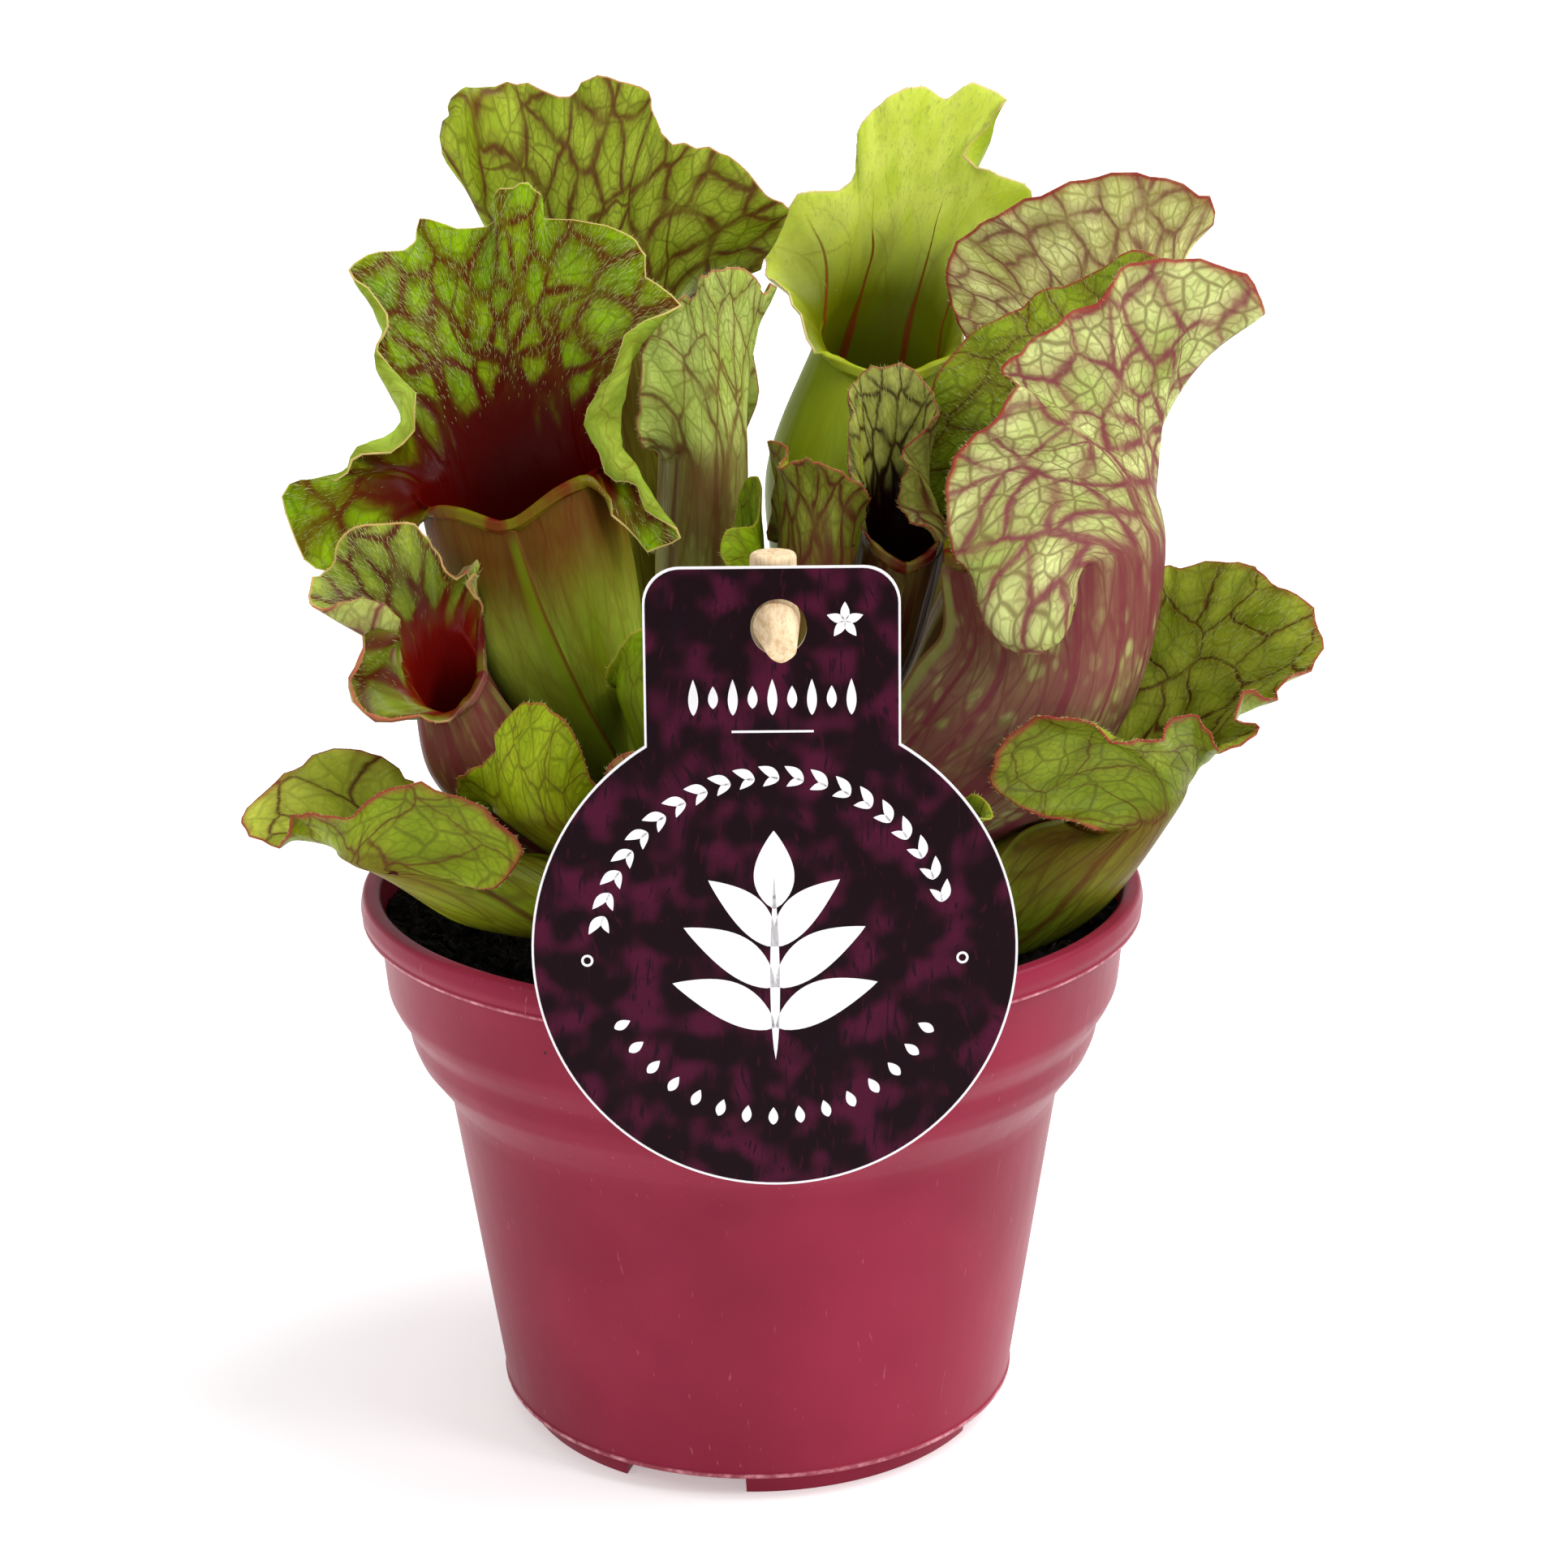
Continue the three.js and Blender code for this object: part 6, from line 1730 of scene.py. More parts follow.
@dataclass
class NurseryPot:
    """A thin pot with two stepped bands, a rolled rim and a slotted foot ring. Millimetres."""

    site: Site
    sides: int = 160
    # How far a corner's arc reaches along its sides, and the most of a side that it may take.
    round_off: float = 0.7
    room: float = 0.42
    profile: tuple = (
        (38.6, 3.4), (40.2, 3.7), (40.75, 4.0), (40.8, 4.6), (40.55, 4.9), (47.4, 52.2), (48.1, 54.4),
        (50.2, 57.4), (52.3, 60.2), (53.3, 62.8), (53.7, 65.6), (55.5, 68.4), (56.4, 70.4), (56.7, 73.8),
        (57.3, 80.9), (59.3, 81.3), (59.75, 81.5), (59.8, 82.0), (59.65, 82.3), (60.0, 83.4), (59.6, 85.3),
        (59.2, 85.75), (57.6, 85.8), (56.9, 85.2), (55.4, 73.9), (55.2, 70.9), (54.3, 69.0), (52.4, 66.2),
        (52.1, 63.2), (51.1, 60.9), (49.0, 58.1), (46.9, 55.1), (46.4, 53.0), (39.4, 7.2), (38.2, 5.6),
    )
    foot: tuple = ((34.4, 0.0), (37.6, 0.0), (38.2, 4.1), (34.0, 4.1))
    slot_width: float = 19.0
    slot_turn: float = -17.0

    def rounded(self) -> list[tuple[float, float]]:
        """The profile with its corners cut into short arcs."""
        points = [np.array(p) for p in self.profile]
        result = [points[0]]
        for before, here, after in zip(points, points[1:], points[2:]):
            short = min(np.linalg.norm(here - before), np.linalg.norm(after - here))
            room = min(self.round_off, self.room * short)
            start = here + unit(before - here) * room
            end = here + unit(after - here) * room
            for t in (0.0, 0.33, 0.67, 1.0):
                result.append(start * (1 - t) ** 2 + here * 2 * t * (1 - t) + end * t * t)
        result.append(points[-1])
        return [(float(r), float(z)) for r, z in result]

    def turned(self, name: str, profile: list[tuple[float, float]]) -> bpy.types.Object:
        """A ring extruded along a profile.

        Args:
            name: Name of the piece.
            profile: Radius and height of each ring.

        Returns:
            The piece, open at both ends.
        """
        deselect()
        x, y, _ = self.site.metres(np.zeros(3))
        radius, height = profile[0]
        bpy.ops.mesh.primitive_circle_add(vertices=self.sides, radius=radius * MM,
                                          location=(x, y, height * MM), fill_type="NOTHING")
        piece = named(name)
        settle(piece)
        with editing(piece):
            raise_ring(self.site, profile[0], profile[1:])
        return piece

    def build(self) -> None:
        """Makes the shell, closed by a disc at each end of its profile, and the feet."""
        material = PotFinish().material(self.site)
        shell = self.turned("pot_shell", self.rounded())
        with editing(shell):
            bpy.ops.mesh.fill_holes(sides=0)
        weld(shell)
        paint(shell, material)
        smooth(shell, 40)
        hand_over(shell, "pot_plastic", "pot")

        feet = self.turned("pot_feet", [*self.foot, self.foot[0]])
        weld(feet)
        x, y, _ = self.site.metres(np.zeros(3))
        for quarter in (0, 90):
            deselect()
            bpy.ops.mesh.primitive_cube_add(size=1.0, location=(x, y, 0.0),
                                            rotation=(0, 0, math.radians(self.slot_turn + quarter)))
            bpy.context.object.scale = (self.slot_width * MM, 100 * MM, 9 * MM)
            carve(feet)
        bevel(feet, 0.35, 2)
        paint(feet, material)
        smooth(feet, 40)
        hand_over(feet, "pot_plastic")


# Soil


@dataclass(frozen=True)
class SoilFinish:
    """Dark moist peat, or one of the things in it."""

    name: str
    dark: Colour
    light: Colour
    roughness: float = 0.85

    def material(self) -> bpy.types.Material:
        """The material of peat, crumbs or fibres."""
        graph = Graph(self.name)
        place = graph.place()
        grit = graph.noise(place, 1.1, 4.0, 0.65)
        colour = graph.mix(graph.rise(grit, 0.45, 0.78), self.dark, self.light)
        graph.relief(grit, 0.6, 0.5 * MM)
        return graph.finish(Base_Color=colour, Roughness=self.roughness, Specular_IOR_Level=0.08)


@dataclass
class SoilFill:
    """The peat that fills the pot, with crumbs and fibres on it. Millimetres.

    heap is how far the peat rises towards the wall, steps the number of grid lines across it, and wall the
    radius and height of each ring below its edge.
    """

    site: Site
    top: float = 75.0
    radius: float = 56.2
    steps: int = 170
    heap: float = 6.2
    wall: tuple = ((55.2, 73.8), (54.6, 71.1), (53.8, 69.3), (51.9, 66.4), (51.6, 63.4), (50.6, 61.2),
                   (48.5, 58.4), (46.4, 55.3), (45.9, 53.1), (38.0, 6.0))
    # Lengths and heights of the ripples that make the peat rough.
    ripples: tuple = ((9.0, 0.35), (5.0, 0.35), (3.0, 0.3), (1.9, 0.22), (1.3, 0.16))
    crumbs: int = 2600
    fibres: int = 620
    fibre_steps: int = 6
    seed: int = 7

    def height(self, x: np.ndarray, y: np.ndarray) -> np.ndarray:
        """Height of the peat.

        Args:
            x: Places across the pot.
            y: Places from front to back.

        Returns:
            The height at each place.
        """
        swell = np.sin(0.31 * x + 0.7) * np.cos(0.27 * y - 0.4) + 0.6 * np.sin(0.55 * x - 0.48 * y)
        random = np.random.default_rng(self.seed)
        rough = np.zeros_like(x)
        for wavelength, size in self.ripples:
            for _ in range(5):
                angle, phase = random.uniform(0, 2 * math.pi, 2)
                along = x * math.cos(angle) + y * math.sin(angle)
                bent = 2 * math.pi * along / wavelength + phase + 1.3 * np.sin(along / 3.1)
                rough += size * 0.55 * np.sin(bent)
        edge = np.hypot(x, y)
        level = self.top + 0.6 * swell + rough * (1 - 0.5 * smoothstep(edge, 52, 56))
        return level + self.heap * smoothstep(edge, 36, 57)

    def build(self) -> None:
        """Makes the fill, the crumbs and the fibres."""
        line = np.linspace(-1, 1, self.steps)
        u, v = np.meshgrid(line, line)
        x = u * np.sqrt(1 - v * v / 2) * self.radius
        y = v * np.sqrt(1 - u * u / 2) * self.radius
        piece = sheet_of("peat", self.site.metres(np.stack([x, y, self.height(x, y)], -1)))
        with editing(piece):
            bpy.ops.mesh.region_to_loop()
            raise_ring(self.site, (self.radius, self.top + self.heap), self.wall)
            x0, y0, _ = self.site.metres(np.zeros(3))
            bottom = (x0, y0, self.wall[-1][1] * MM)
            bpy.ops.transform.resize(value=(1.0, 1.0, 0.0), center_override=bottom)
            bpy.ops.mesh.edge_face_add()
        weld(piece)
        paint(piece, SoilFinish("peat", srgb(6, 4, 3), srgb(24, 15, 10)).material())
        smooth(piece)
        hand_over(piece, "soil", "soil")
        self.add_crumbs()
        self.add_fibres()

    def spots(self, count: int, random: np.random.Generator) -> np.ndarray:
        """Random places on the peat."""
        angle = random.uniform(0, 2 * math.pi, count)
        reach = np.sqrt(random.uniform(0.0, 1.0, count)) * (self.radius - 1.2)
        x, y = reach * np.cos(angle), reach * np.sin(angle)
        return np.stack([x, y, self.height(x, y)], -1)

    def add_crumbs(self) -> None:
        """Scatters rough crumbs: one small body, copied, turned and scaled."""
        random = np.random.default_rng(self.seed + 1)
        deselect()
        bpy.ops.mesh.primitive_ico_sphere_add(subdivisions=1, radius=1.0)
        model = bpy.context.object
        body = np.array([v.co for v in model.data.vertices])
        faces = np.array([p.vertices for p in model.data.polygons])
        bpy.data.objects.remove(model)
        spots = self.spots(self.crumbs, random)
        sizes = 0.28 + 0.9 * random.random(self.crumbs) ** 3
        points = np.empty((self.crumbs, len(body), 3))
        for k in range(self.crumbs):
            turn = np.array(Euler(random.uniform(0, FULL_TURN, 3)).to_matrix())
            lumps = body * random.uniform(0.65, 1.2, (len(body), 1)) * random.uniform(0.6, 1.3, 3)
            points[k] = lumps @ turn * sizes[k] + spots[k]
        index = (np.arange(self.crumbs) * len(body))[:, None, None] + faces[None]
        piece = mesh_of("peat_crumbs", self.site.metres(points.reshape(-1, 3)), index.reshape(-1, 3))
        paint(piece, SoilFinish("crumb", srgb(9, 6, 4), srgb(34, 21, 15)).material())
        hand_over(piece, "soil")

    def fibre(self, spot: np.ndarray, random: np.random.Generator) -> list[np.ndarray]:
        """A bent fibre that narrows to its end and lies on the peat.

        Args:
            spot: Where it starts.
            random: Source of its size and its bends.

        Returns:
            Its rings from start to end, each of three corners.
        """
        length = random.uniform(2.0, 9.0)
        way = random.uniform(0, 2 * math.pi)
        bend = random.normal(0, 0.16)
        lift = random.uniform(0.0, 0.5) + (0.9 if random.random() < 0.1 else 0.0)
        size = random.uniform(0.07, 0.17)
        reach = self.radius - 0.8
        at = spot.copy()
        rings = []
        for k in range(self.fibre_steps + 1):
            share = k / self.fibre_steps
            taper = size * (1 - 0.7 * share)
            side = np.array([-math.sin(way), math.cos(way), 0.0])
            high = at + (0, 0, 0.25 + lift * math.sin(math.pi * share) * 1.6)
            rings.append(np.array([high + side * taper, high - side * taper, high + (0, 0, taper * 1.5)]))
            way += bend + random.normal(0, 0.14)
            at = at + np.array([math.cos(way), math.sin(way), 0.0]) * length / self.fibre_steps
            at[2] = float(self.height(at[:1], at[1:2])[0])
            if math.hypot(at[0], at[1]) > reach:
                at[:2] *= reach / math.hypot(at[0], at[1])
        return rings

    def add_fibres(self) -> None:
        """Scatters the fibres, all with the same pattern of faces."""
        random = np.random.default_rng(self.seed + 2)
        rings = [self.fibre(spot, random) for spot in self.spots(self.fibres, random)]
        pattern = []
        for low in range(0, 3 * self.fibre_steps, 3):
            for a, b in ((0, 1), (1, 2), (2, 0)):
                pattern += [(low + a, low + b, low + 3 + b), (low + a, low + 3 + b, low + 3 + a)]
        last = 3 * self.fibre_steps
        pattern += [(0, 2, 1), (last, last + 1, last + 2)]
        start = np.arange(self.fibres)[:, None, None] * (last + 3)
        faces = (np.array(pattern)[None] + start).reshape(-1, 3)
        piece = mesh_of("peat_fibres", self.site.metres(np.array(rings).reshape(-1, 3)), faces)
        weld(piece)
        paint(piece, SoilFinish("fibre", srgb(26, 15, 9), srgb(84, 56, 34), 0.7).material())
        hand_over(piece, "soil")


@dataclass
class Crown:
    """The short stock in the soil that the leaves grow from. Millimetres."""

    site: Site
    centre: tuple = (0.0, 0.5)
    radius: float = 2.6
    bottom: float = 70.5
    top: float = 79.0

    def build(self) -> None:
        """Makes the stock with its scale-like rings."""
        deselect()
        x, y, z = self.site.metres(np.array([*self.centre, self.bottom]))
        bpy.ops.mesh.primitive_cone_add(vertices=24, radius1=self.radius * MM, radius2=self.radius * 0.5 * MM,
                                        depth=(self.top - self.bottom) * MM,
                                        location=(x, y, z + (self.top - self.bottom) / 2 * MM))
        piece = named("crown_stock")
        settle(piece)
        with editing(piece):
            bpy.ops.mesh.subdivide(number_cuts=4)
        for vertex in piece.data.vertices:
            turn = math.atan2(vertex.co.y - y, vertex.co.x - x)
            level = (vertex.co.z - z) / MM
            swell = 1 + 0.12 * math.sin(level * 2.6 + turn) + 0.08 * math.sin(3 * turn)
            vertex.co.x = x + (vertex.co.x - x) * swell
            vertex.co.y = y + (vertex.co.y - y) * swell
        paint(piece, SoilFinish("stock", srgb(70, 52, 30), srgb(120, 100, 60), 0.7).material())
        smooth(piece, 50)
        hand_over(piece, "crown_tissue", "crown")


# Card and stake


@dataclass(frozen=True)
class CardFinish:
    """Printed card: mottled aubergine on the faces, or plain white for the core and the print."""

    dark: Colour = srgb(22, 6, 12)
    spot: Colour = srgb(72, 16, 42)
    strand: Colour = srgb(20, 8, 16)
    scuff: Colour = srgb(150, 130, 150)
    white: Colour = srgb(238, 236, 238)
    shade: Colour = srgb(222, 218, 222)

    def printed(self) -> bpy.types.Material:
        """The dark, mottled print."""
        graph = Graph("card_print_dark")
        place = graph.place()
        flat = graph.vector("MULTIPLY", place, (1.0, 0.0, 1.0))
        blots = graph.noise(flat, 0.17, 1.0)
        fine = graph.noise(flat, 2.6, 2.0, 0.7)
        drawn = graph.vector("MULTIPLY", graph.warp(flat, 0.06, 9.0), (1.0, 1.0, 0.16))
        strands = graph.noise(drawn, 1.4, 2.0)
        colour = graph.mix(graph.rise(blots, 0.44, 0.68) * (fine * 0.7 + 0.55), self.dark, self.spot)
        colour = graph.mix(graph.rise(strands, 0.56, 0.68) * 0.75, colour, self.strand)
        colour = graph.mix(graph.rise(strands, 0.36, 0.30) * 0.28, colour, self.spot)
        scuff = graph.rise(graph.noise(flat, 1.7, 3.0, 0.8), 0.79, 0.83)
        colour = graph.mix(scuff * 0.5, colour, self.scuff)
        graph.relief(graph.noise(place, 3.0, 2.0), 0.06, 0.05 * MM)
        return graph.finish(Base_Color=colour, Roughness=0.3, Specular_IOR_Level=0.06)

    def plain(self) -> bpy.types.Material:
        """White card core and white ink."""
        graph = Graph("card_white")
        tint = graph.noise(graph.place(), 0.7, 2.0)
        return graph.finish(Base_Color=graph.mix(tint, self.white, self.shade), Roughness=0.5)


@dataclass
class NameCard:
    """A round card with a neck that hangs by a hole on the stake's pin. Millimetres, lean in degrees."""

    site: Site
    middle: tuple = (3.6, -60.0, 94.3)
    lean: float = 7.0
    radius: float = 32.4
    neck: float = 33.8
    height: float = 51.2
    corner: float = 4.8
    thickness: float = 0.8
    # Place across and up of the hole, and its radius. Middle and length of its cutter, from front to back.
    hole: tuple = (4.5, 137.2, 3.7)
    drill: tuple = (-55.0, 30.0)
    ink: float = 0.06

    def at(self, flat: np.ndarray, depth: float) -> np.ndarray:
        """Frame points of places on the card.

        Args:
            flat: Across and up on the card, from the disc's middle.
            depth: Distance in front of the card's middle layer.

        Returns:
            The points in metres.
        """
        turn = math.radians(90 - self.lean)
        a, b = flat[:, 0], flat[:, 1]
        y = b * math.cos(turn) - depth * math.sin(turn)
        z = b * math.sin(turn) + depth * math.cos(turn)
        return self.site.metres(np.stack([a, y, z], -1) + np.array(self.middle))

    def outline(self, shrink: float = 0.0) -> np.ndarray:
        """The card's outline, anticlockwise seen from the front.

        Args:
            shrink: How far it lies inside the real edge.

        Returns:
            Points across and up on the card.
        """
        half = self.neck / 2 - shrink
        radius = self.radius - shrink
        corner = self.corner - shrink * 0.5
        top = self.height - shrink - corner
        joint = math.acos(half / radius)
        arcs = [(half - corner, top, corner, 0.0, math.pi / 2, 10),
                (-half + corner, top, corner, math.pi / 2, math.pi, 10),
                (0.0, 0.0, radius, math.pi - joint, 2 * math.pi + joint, 120)]
        points = []
        for x, y, r, start, end, steps in arcs:
            for turn in np.linspace(start, end, steps + 1):
                points.append((x + r * math.cos(turn), y + r * math.sin(turn)))
        return np.array(points)

    def slab(self, name: str, outline: np.ndarray, back: float, front: float) -> bpy.types.Object:
        """A flat outline given a thickness by extruding its face.

        Args:
            name: Name of the piece.
            outline: Points across and up on the card.
            back: Depth of the back face from the card's middle layer.
            front: Depth of the front face.

        Returns:
            The closed piece.
        """
        deselect()
        bpy.ops.mesh.primitive_circle_add(vertices=len(outline), radius=1.0, fill_type="NGON")
        piece = named(name)
        reshape(piece, self.at(outline, back))
        way = Vector((self.at(np.zeros((1, 2)), front) - self.at(np.zeros((1, 2)), back))[0])
        with editing(piece):
            bpy.ops.mesh.extrude_region_move(TRANSFORM_OT_translate={"value": way})
            bpy.ops.mesh.select_all(action="SELECT")
            bpy.ops.mesh.normals_make_consistent(inside=False)
        return piece

    def pierced(self, piece: bpy.types.Object) -> None:
        """Cuts the round hole for the pin."""
        x, z, radius = self.hole
        y, depth = self.drill
        centre = self.site.metres(np.array([x, y, z]))
        deselect()
        bpy.ops.mesh.primitive_cylinder_add(vertices=48, radius=radius * MM, depth=depth * MM,
                                            location=centre, rotation=(math.pi / 2, 0, 0))
        carve(piece)

    @staticmethod
    def band(radius: float, width: float, start: float, end: float, steps: int = 60) -> np.ndarray:
        """Outline of a ring's arc, in degrees from the right."""
        turns = np.radians(np.linspace(start, end, steps))
        outer = np.stack([np.cos(turns), np.sin(turns)], -1) * (radius + width / 2)
        inner = np.stack([np.cos(turns), np.sin(turns)], -1)[::-1] * (radius - width / 2)
        return np.concatenate([outer, inner])

    @staticmethod
    def blade(x: float, y: float, length: float, width: float, turn: float, bow: float = 0.0) -> np.ndarray:
        """Outline of a pointed leaf from its foot.

        Args:
            x: Foot's place across.
            y: Foot's place up.
            length: Length of the leaf.
            width: Full width.
            turn: Direction in degrees from straight up, positive to the left.
            bow: Sideways bow of its middle line.

        Returns:
            The outline's points.
        """
        share = np.linspace(0, 1, 18)
        half = width / 2 * np.sin(np.pi * share ** 0.8) ** 0.9
        middle = bow * np.sin(np.pi * share)
        right = np.stack([middle + half, share * length], -1)
        left = np.stack([middle - half, share * length], -1)[::-1][1:-1]
        points = np.concatenate([right, left])
        cos, sin = math.cos(math.radians(turn)), math.sin(math.radians(turn))
        return points @ np.array([[cos, sin], [-sin, cos]]) + (x, y)

    @staticmethod
    def disc(x: float, y: float, radius: float) -> np.ndarray:
        """Outline of a dot."""
        turns = np.linspace(0, 2 * np.pi, 24, endpoint=False)
        return np.stack([x + radius * np.cos(turns), y + radius * np.sin(turns)], -1)

    def motifs(self) -> list[np.ndarray]:
        """Outlines of the plain generic print: a garland, a sprig, rules, a flower and dots."""
        shapes = []
        for bearing in range(16, 170, 8):
            x, y = 23.2 * math.cos(math.radians(bearing)), 23.2 * math.sin(math.radians(bearing))
            shapes.append(self.blade(x, y, 3.2, 1.3, bearing - 90 + 62, 0.2))
            shapes.append(self.blade(x, y, 2.4, 1.0, bearing - 90 + 118, 0.2))
        for bearing in range(206, 336, 9):
            x, y = 24.0 * math.cos(math.radians(bearing)), 24.0 * math.sin(math.radians(bearing))
            shapes.append(self.blade(x, y, 2.4, 1.3, bearing + 90))
        shapes += [self.band(0.65, 0.32, 0, 360) + (side * 25.0, -1.2) for side in (1, -1)]
        shapes.append(self.blade(0.0, -15.0, 25.0, 1.3, 0))
        shapes.append(self.blade(0.0, 5.6, 10.6, 5.4, 0))
        for level, size, turn in ((-10.5, 15.0, 66), (-5.0, 14.6, 56), (0.5, 12.6, 44)):
            for side in (1, -1):
                shapes.append(self.blade(0.0, level, size, size * 0.36, turn * side, 0.8 * side))
        shapes.append(np.array([(-5.4, 29.3), (5.4, 29.3), (5.4, 29.6), (-5.4, 29.6)]))
        for step in range(-4, 5):
            tall = 2.4 if step % 2 == 0 else 1.5
            shapes.append(self.blade(step * 2.6, 34.0 - tall, 2 * tall, 1.3, 0))
        for petal in range(5):
            shapes.append(self.blade(9.6, 44.0, 2.5, 1.2, 72 * petal))
        return shapes

    def build(self) -> None:
        """Makes the card, its printed faces and the print on the front."""
        finish = CardFinish()
        white, dark = finish.plain(), finish.printed()
        half = self.thickness / 2
        core = self.slab("card_core", self.outline(), -half, half - self.ink)
        self.pierced(core)
        paint(core, white)
        smooth(core, 30)
        hand_over(core, "card_board", "name_card")
        layers = {"card_front": (half - self.ink, half), "card_back": (-half - 0.02, -half + 0.01)}
        for name, (back, front) in layers.items():
            face = self.slab(name, self.outline(0.32), back, front)
            self.pierced(face)
            paint(face, dark)
            hand_over(face, "card_board")
        parts = [self.slab("motif", shape, half - 0.02, half + 0.05) for shape in self.motifs()]
        deselect()
        for part in parts:
            part.select_set(True)
        bpy.context.view_layer.objects.active = parts[0]
        bpy.ops.object.join()
        motif = named("card_motifs")
        paint(motif, white)
        hand_over(motif, "card_board")


@dataclass(frozen=True)
class WoodFinish:
    """Pale turned wood with fine grain along one axis."""

    along: tuple
    base: Colour = srgb(234, 210, 172)
    dark: Colour = srgb(204, 170, 128)
    pore: Colour = srgb(150, 112, 74)

    def material(self, name: str) -> bpy.types.Material:
        """The wood's material."""
        graph = Graph(name)
        place = graph.vector("MULTIPLY", graph.place(), self.along)
        grain = graph.noise(graph.warp(place, 0.2, 0.6), 1.1, 4.0, 0.6)
        pores = graph.noise(place, 4.0, 2.0, 0.6)
        colour = graph.mix(graph.rise(grain, 0.35, 0.7), self.base, self.dark)
        colour = graph.mix(graph.rise(pores, 0.55, 0.7) * 0.35, colour, self.pore)
        graph.relief(pores, 0.3, 0.15 * MM)
        return graph.finish(Base_Color=colour, Roughness=0.7, Specular_IOR_Level=0.3)


@dataclass
class CardStake:
    """A wooden stake in the soil with a pin towards the front. Millimetres."""

    site: Site
    x: float = 3.9
    y: float = -49.9
    radius: float = 3.1
    bottom: float = 70.0
    top: float = 146.2
    pin_radius: float = 3.4
    pin_start: tuple = (3.9, -49.9, 137.6)
    pin_end: tuple = (4.9, -65.4, 136.8)

    def rod(self, name: str, start: tuple, end: tuple, radius: float, seed: int,
            taper: float = 0.0) -> bpy.types.Object:
        """A round rod, slightly uneven, with softened ends.

        Args:
            name: Name of the piece.
            start: Middle of its first end.
            end: Middle of its last end.
            radius: Its radius.
            seed: Seed of its unevenness.
            taper: Share by which its last 4 mm narrow.

        Returns:
            The piece.
        """
        first, last = self.site.metres(np.array(start)), self.site.metres(np.array(end))
        way = Vector(last - first)
        deselect()
        bpy.ops.mesh.primitive_cylinder_add(vertices=40, radius=radius * MM, depth=way.length,
                                            location=(first + last) / 2,
                                            rotation=way.to_track_quat("Z", "Y").to_euler())
        piece = named(name)
        settle(piece)
        bevel(piece, 0.7, 4)
        random = np.random.default_rng(seed)
        axis = Vector(unit(np.array(way)))
        phase = random.uniform(0, FULL_TURN, 3)
        for vertex in piece.data.vertices:
            off = vertex.co - Vector(first)
            level = off.dot(axis) / MM
            side = off - axis * off.dot(axis)
            turn = math.atan2(side.z + side.y, side.x)
            swell = 1 + 0.03 * math.sin(level * 0.7 + phase[0]) * math.sin(2 * turn + phase[1])
            swell -= taper * smoothstep(level - way.length / MM, -4.0, 0.0)
            swell += 0.015 * math.sin(5 * turn + phase[2])
            vertex.co = Vector(first) + axis * off.dot(axis) + side * swell
        return piece

    def build(self) -> None:
        """Makes the upright and the pin."""
        upright = self.rod("stake_upright", (self.x, self.y, self.bottom), (self.x, self.y, self.top),
                           self.radius, 3)
        paint(upright, WoodFinish((1.0, 1.0, 0.07)).material("stake_wood"))
        smooth(upright, 40)
        hand_over(upright, "pale_wood", "card_stake")
        pin = self.rod("stake_pin", self.pin_start, self.pin_end, self.pin_radius, 5, 0.45)
        paint(pin, WoodFinish((1.0, 0.07, 1.0)).material("pin_wood"))
        smooth(pin, 40)
        hand_over(pin, "pale_wood")


# Studio


@dataclass(frozen=True)
class SoftLight:
    """A soft light: a square one, or with no size an even one from far away."""

    name: str
    place: tuple
    size: float
    power: float

    def build(self, aim: Vector) -> None:
        """Adds the light.

        Args:
            aim: Point in the frame that it is turned to.
        """
        data = bpy.data.lights.new(self.name, "AREA" if self.size else "SUN")
        if self.size:
            data.size = self.size
        else:
            data.angle = math.radians(45)
        data.energy = self.power
        lamp = bpy.data.objects.new(self.name, data)
        bpy.context.scene.collection.objects.link(lamp)
        lamp.location = self.place
        lamp.rotation_euler = (aim - Vector(self.place)).to_track_quat("-Z", "Y").to_euler()


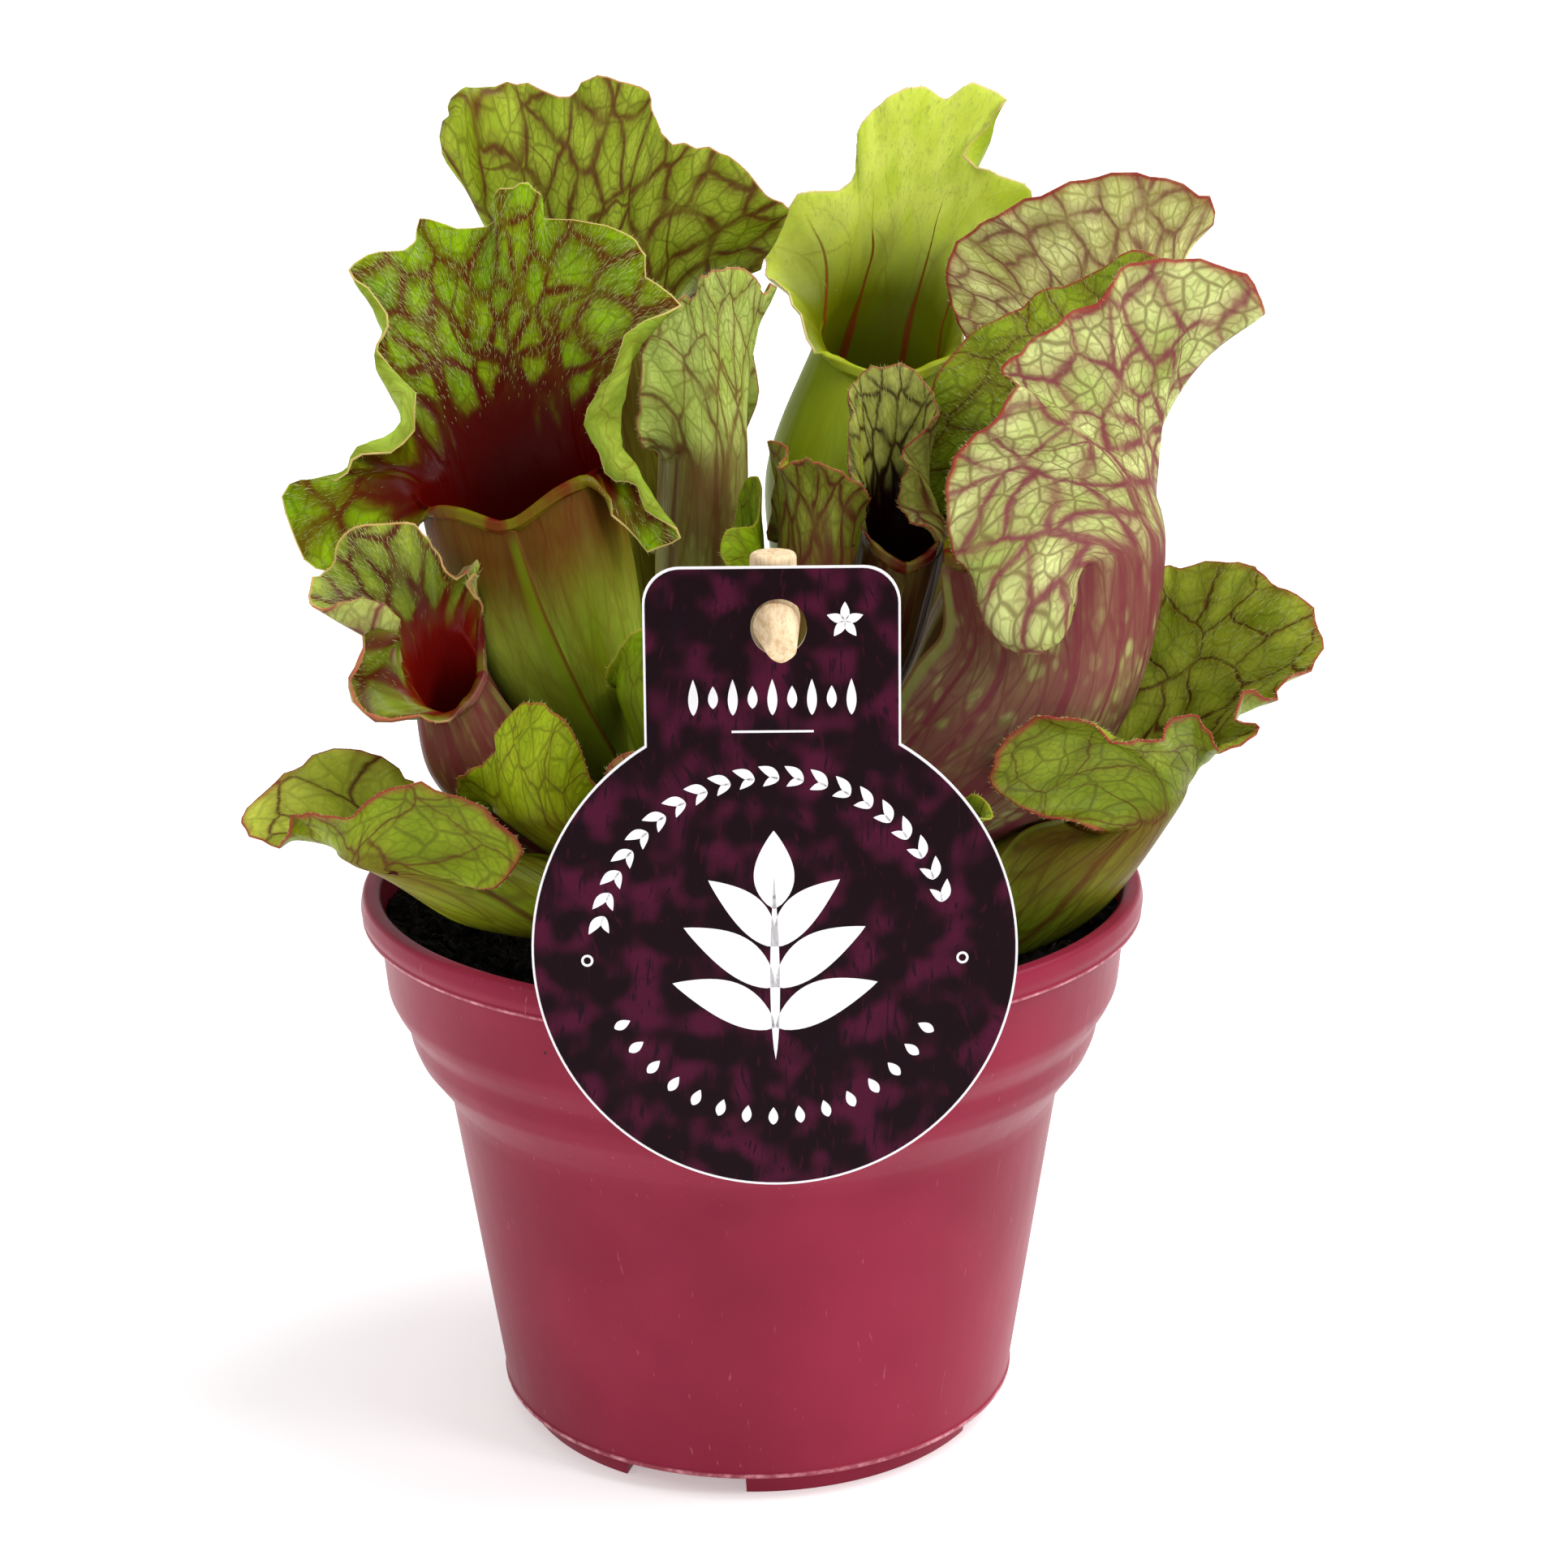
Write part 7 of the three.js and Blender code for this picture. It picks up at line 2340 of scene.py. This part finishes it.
@dataclass
class Studio:
    """Pale floor, soft lights, and a camera at the photograph's place.

    eye is the camera's place in millimetres. pitch and roll are in degrees, floor_size in metres.
    """

    site: Site
    eye: tuple = (5.03, -420.0, 222.98)
    pitch: float = 16.36
    roll: float = 0.519
    lens: float = 65.71
    floor_size: float = 60.0
    sky: float = 0.66
    lights: tuple = (
        SoftLight("high_light", (1.3, 0.1, 2.2), 0.0, 2.1),
        SoftLight("key_light", (0.85, -0.6, 0.8), 0.25, 4.4),
        SoftLight("side_light", (-0.9, -0.35, 0.7), 0.3, 1.2),
    )

    def build(self) -> None:
        """Makes the floor, the sky, the lights and the camera."""
        scene = bpy.context.scene
        deselect()
        bpy.ops.mesh.primitive_plane_add(size=self.floor_size)
        floor = named("floor")
        paint(floor, Graph("floor").finish(Base_Color=srgb(246, 246, 246), Roughness=0.9,
                                           Specular_IOR_Level=0.1, Emission_Color=srgb(255, 255, 255),
                                           Emission_Strength=0.36))
        world = bpy.data.worlds.new("studio")
        world.use_nodes = True
        backdrop = world.node_tree.nodes["Background"]
        backdrop.inputs["Color"].default_value = (1.0, 1.0, 1.0, 1.0)
        backdrop.inputs["Strength"].default_value = self.sky
        scene.world = world
        aim = Vector(self.site.metres(np.array([0.0, 0.0, 110.0])))
        for light in self.lights:
            light.build(aim)
        data = bpy.data.cameras.new("camera")
        data.sensor_width = 36.0
        data.lens = self.lens
        data.clip_end = 200.0
        camera = bpy.data.objects.new("camera", data)
        scene.collection.objects.link(camera)
        camera.location = self.site.metres(np.array(self.eye))
        camera.rotation_mode = "QUATERNION"
        tilt = Euler((math.radians(90 - self.pitch), 0, 0)).to_quaternion()
        lean = Euler((0, 0, -math.radians(self.roll))).to_quaternion()
        camera.rotation_quaternion = tilt @ lean
        scene.camera = camera
        scene.view_settings.view_transform = "Standard"


def main() -> None:
    """Builds the plant, the pot, the card and the studio, placed by the pot's box in the model."""
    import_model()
    low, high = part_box("pot")
    centre = (low + high) / 2 / MM
    site = Site(np.array([centre.x, centre.y, low.z / MM]))
    leaves = []
    for number, shape in enumerate(LEAVES):
        leaf = PitcherLeaf(shape, site, 11 + number)
        leaf.build()
        leaves.append(leaf)
    LeafHairs(leaves, site).build()
    NurseryPot(site).build()
    SoilFill(site).build()
    Crown(site).build()
    NameCard(site).build()
    CardStake(site).build()
    Studio(site).build()
    deselect()


if __name__ == "__main__":
    main()
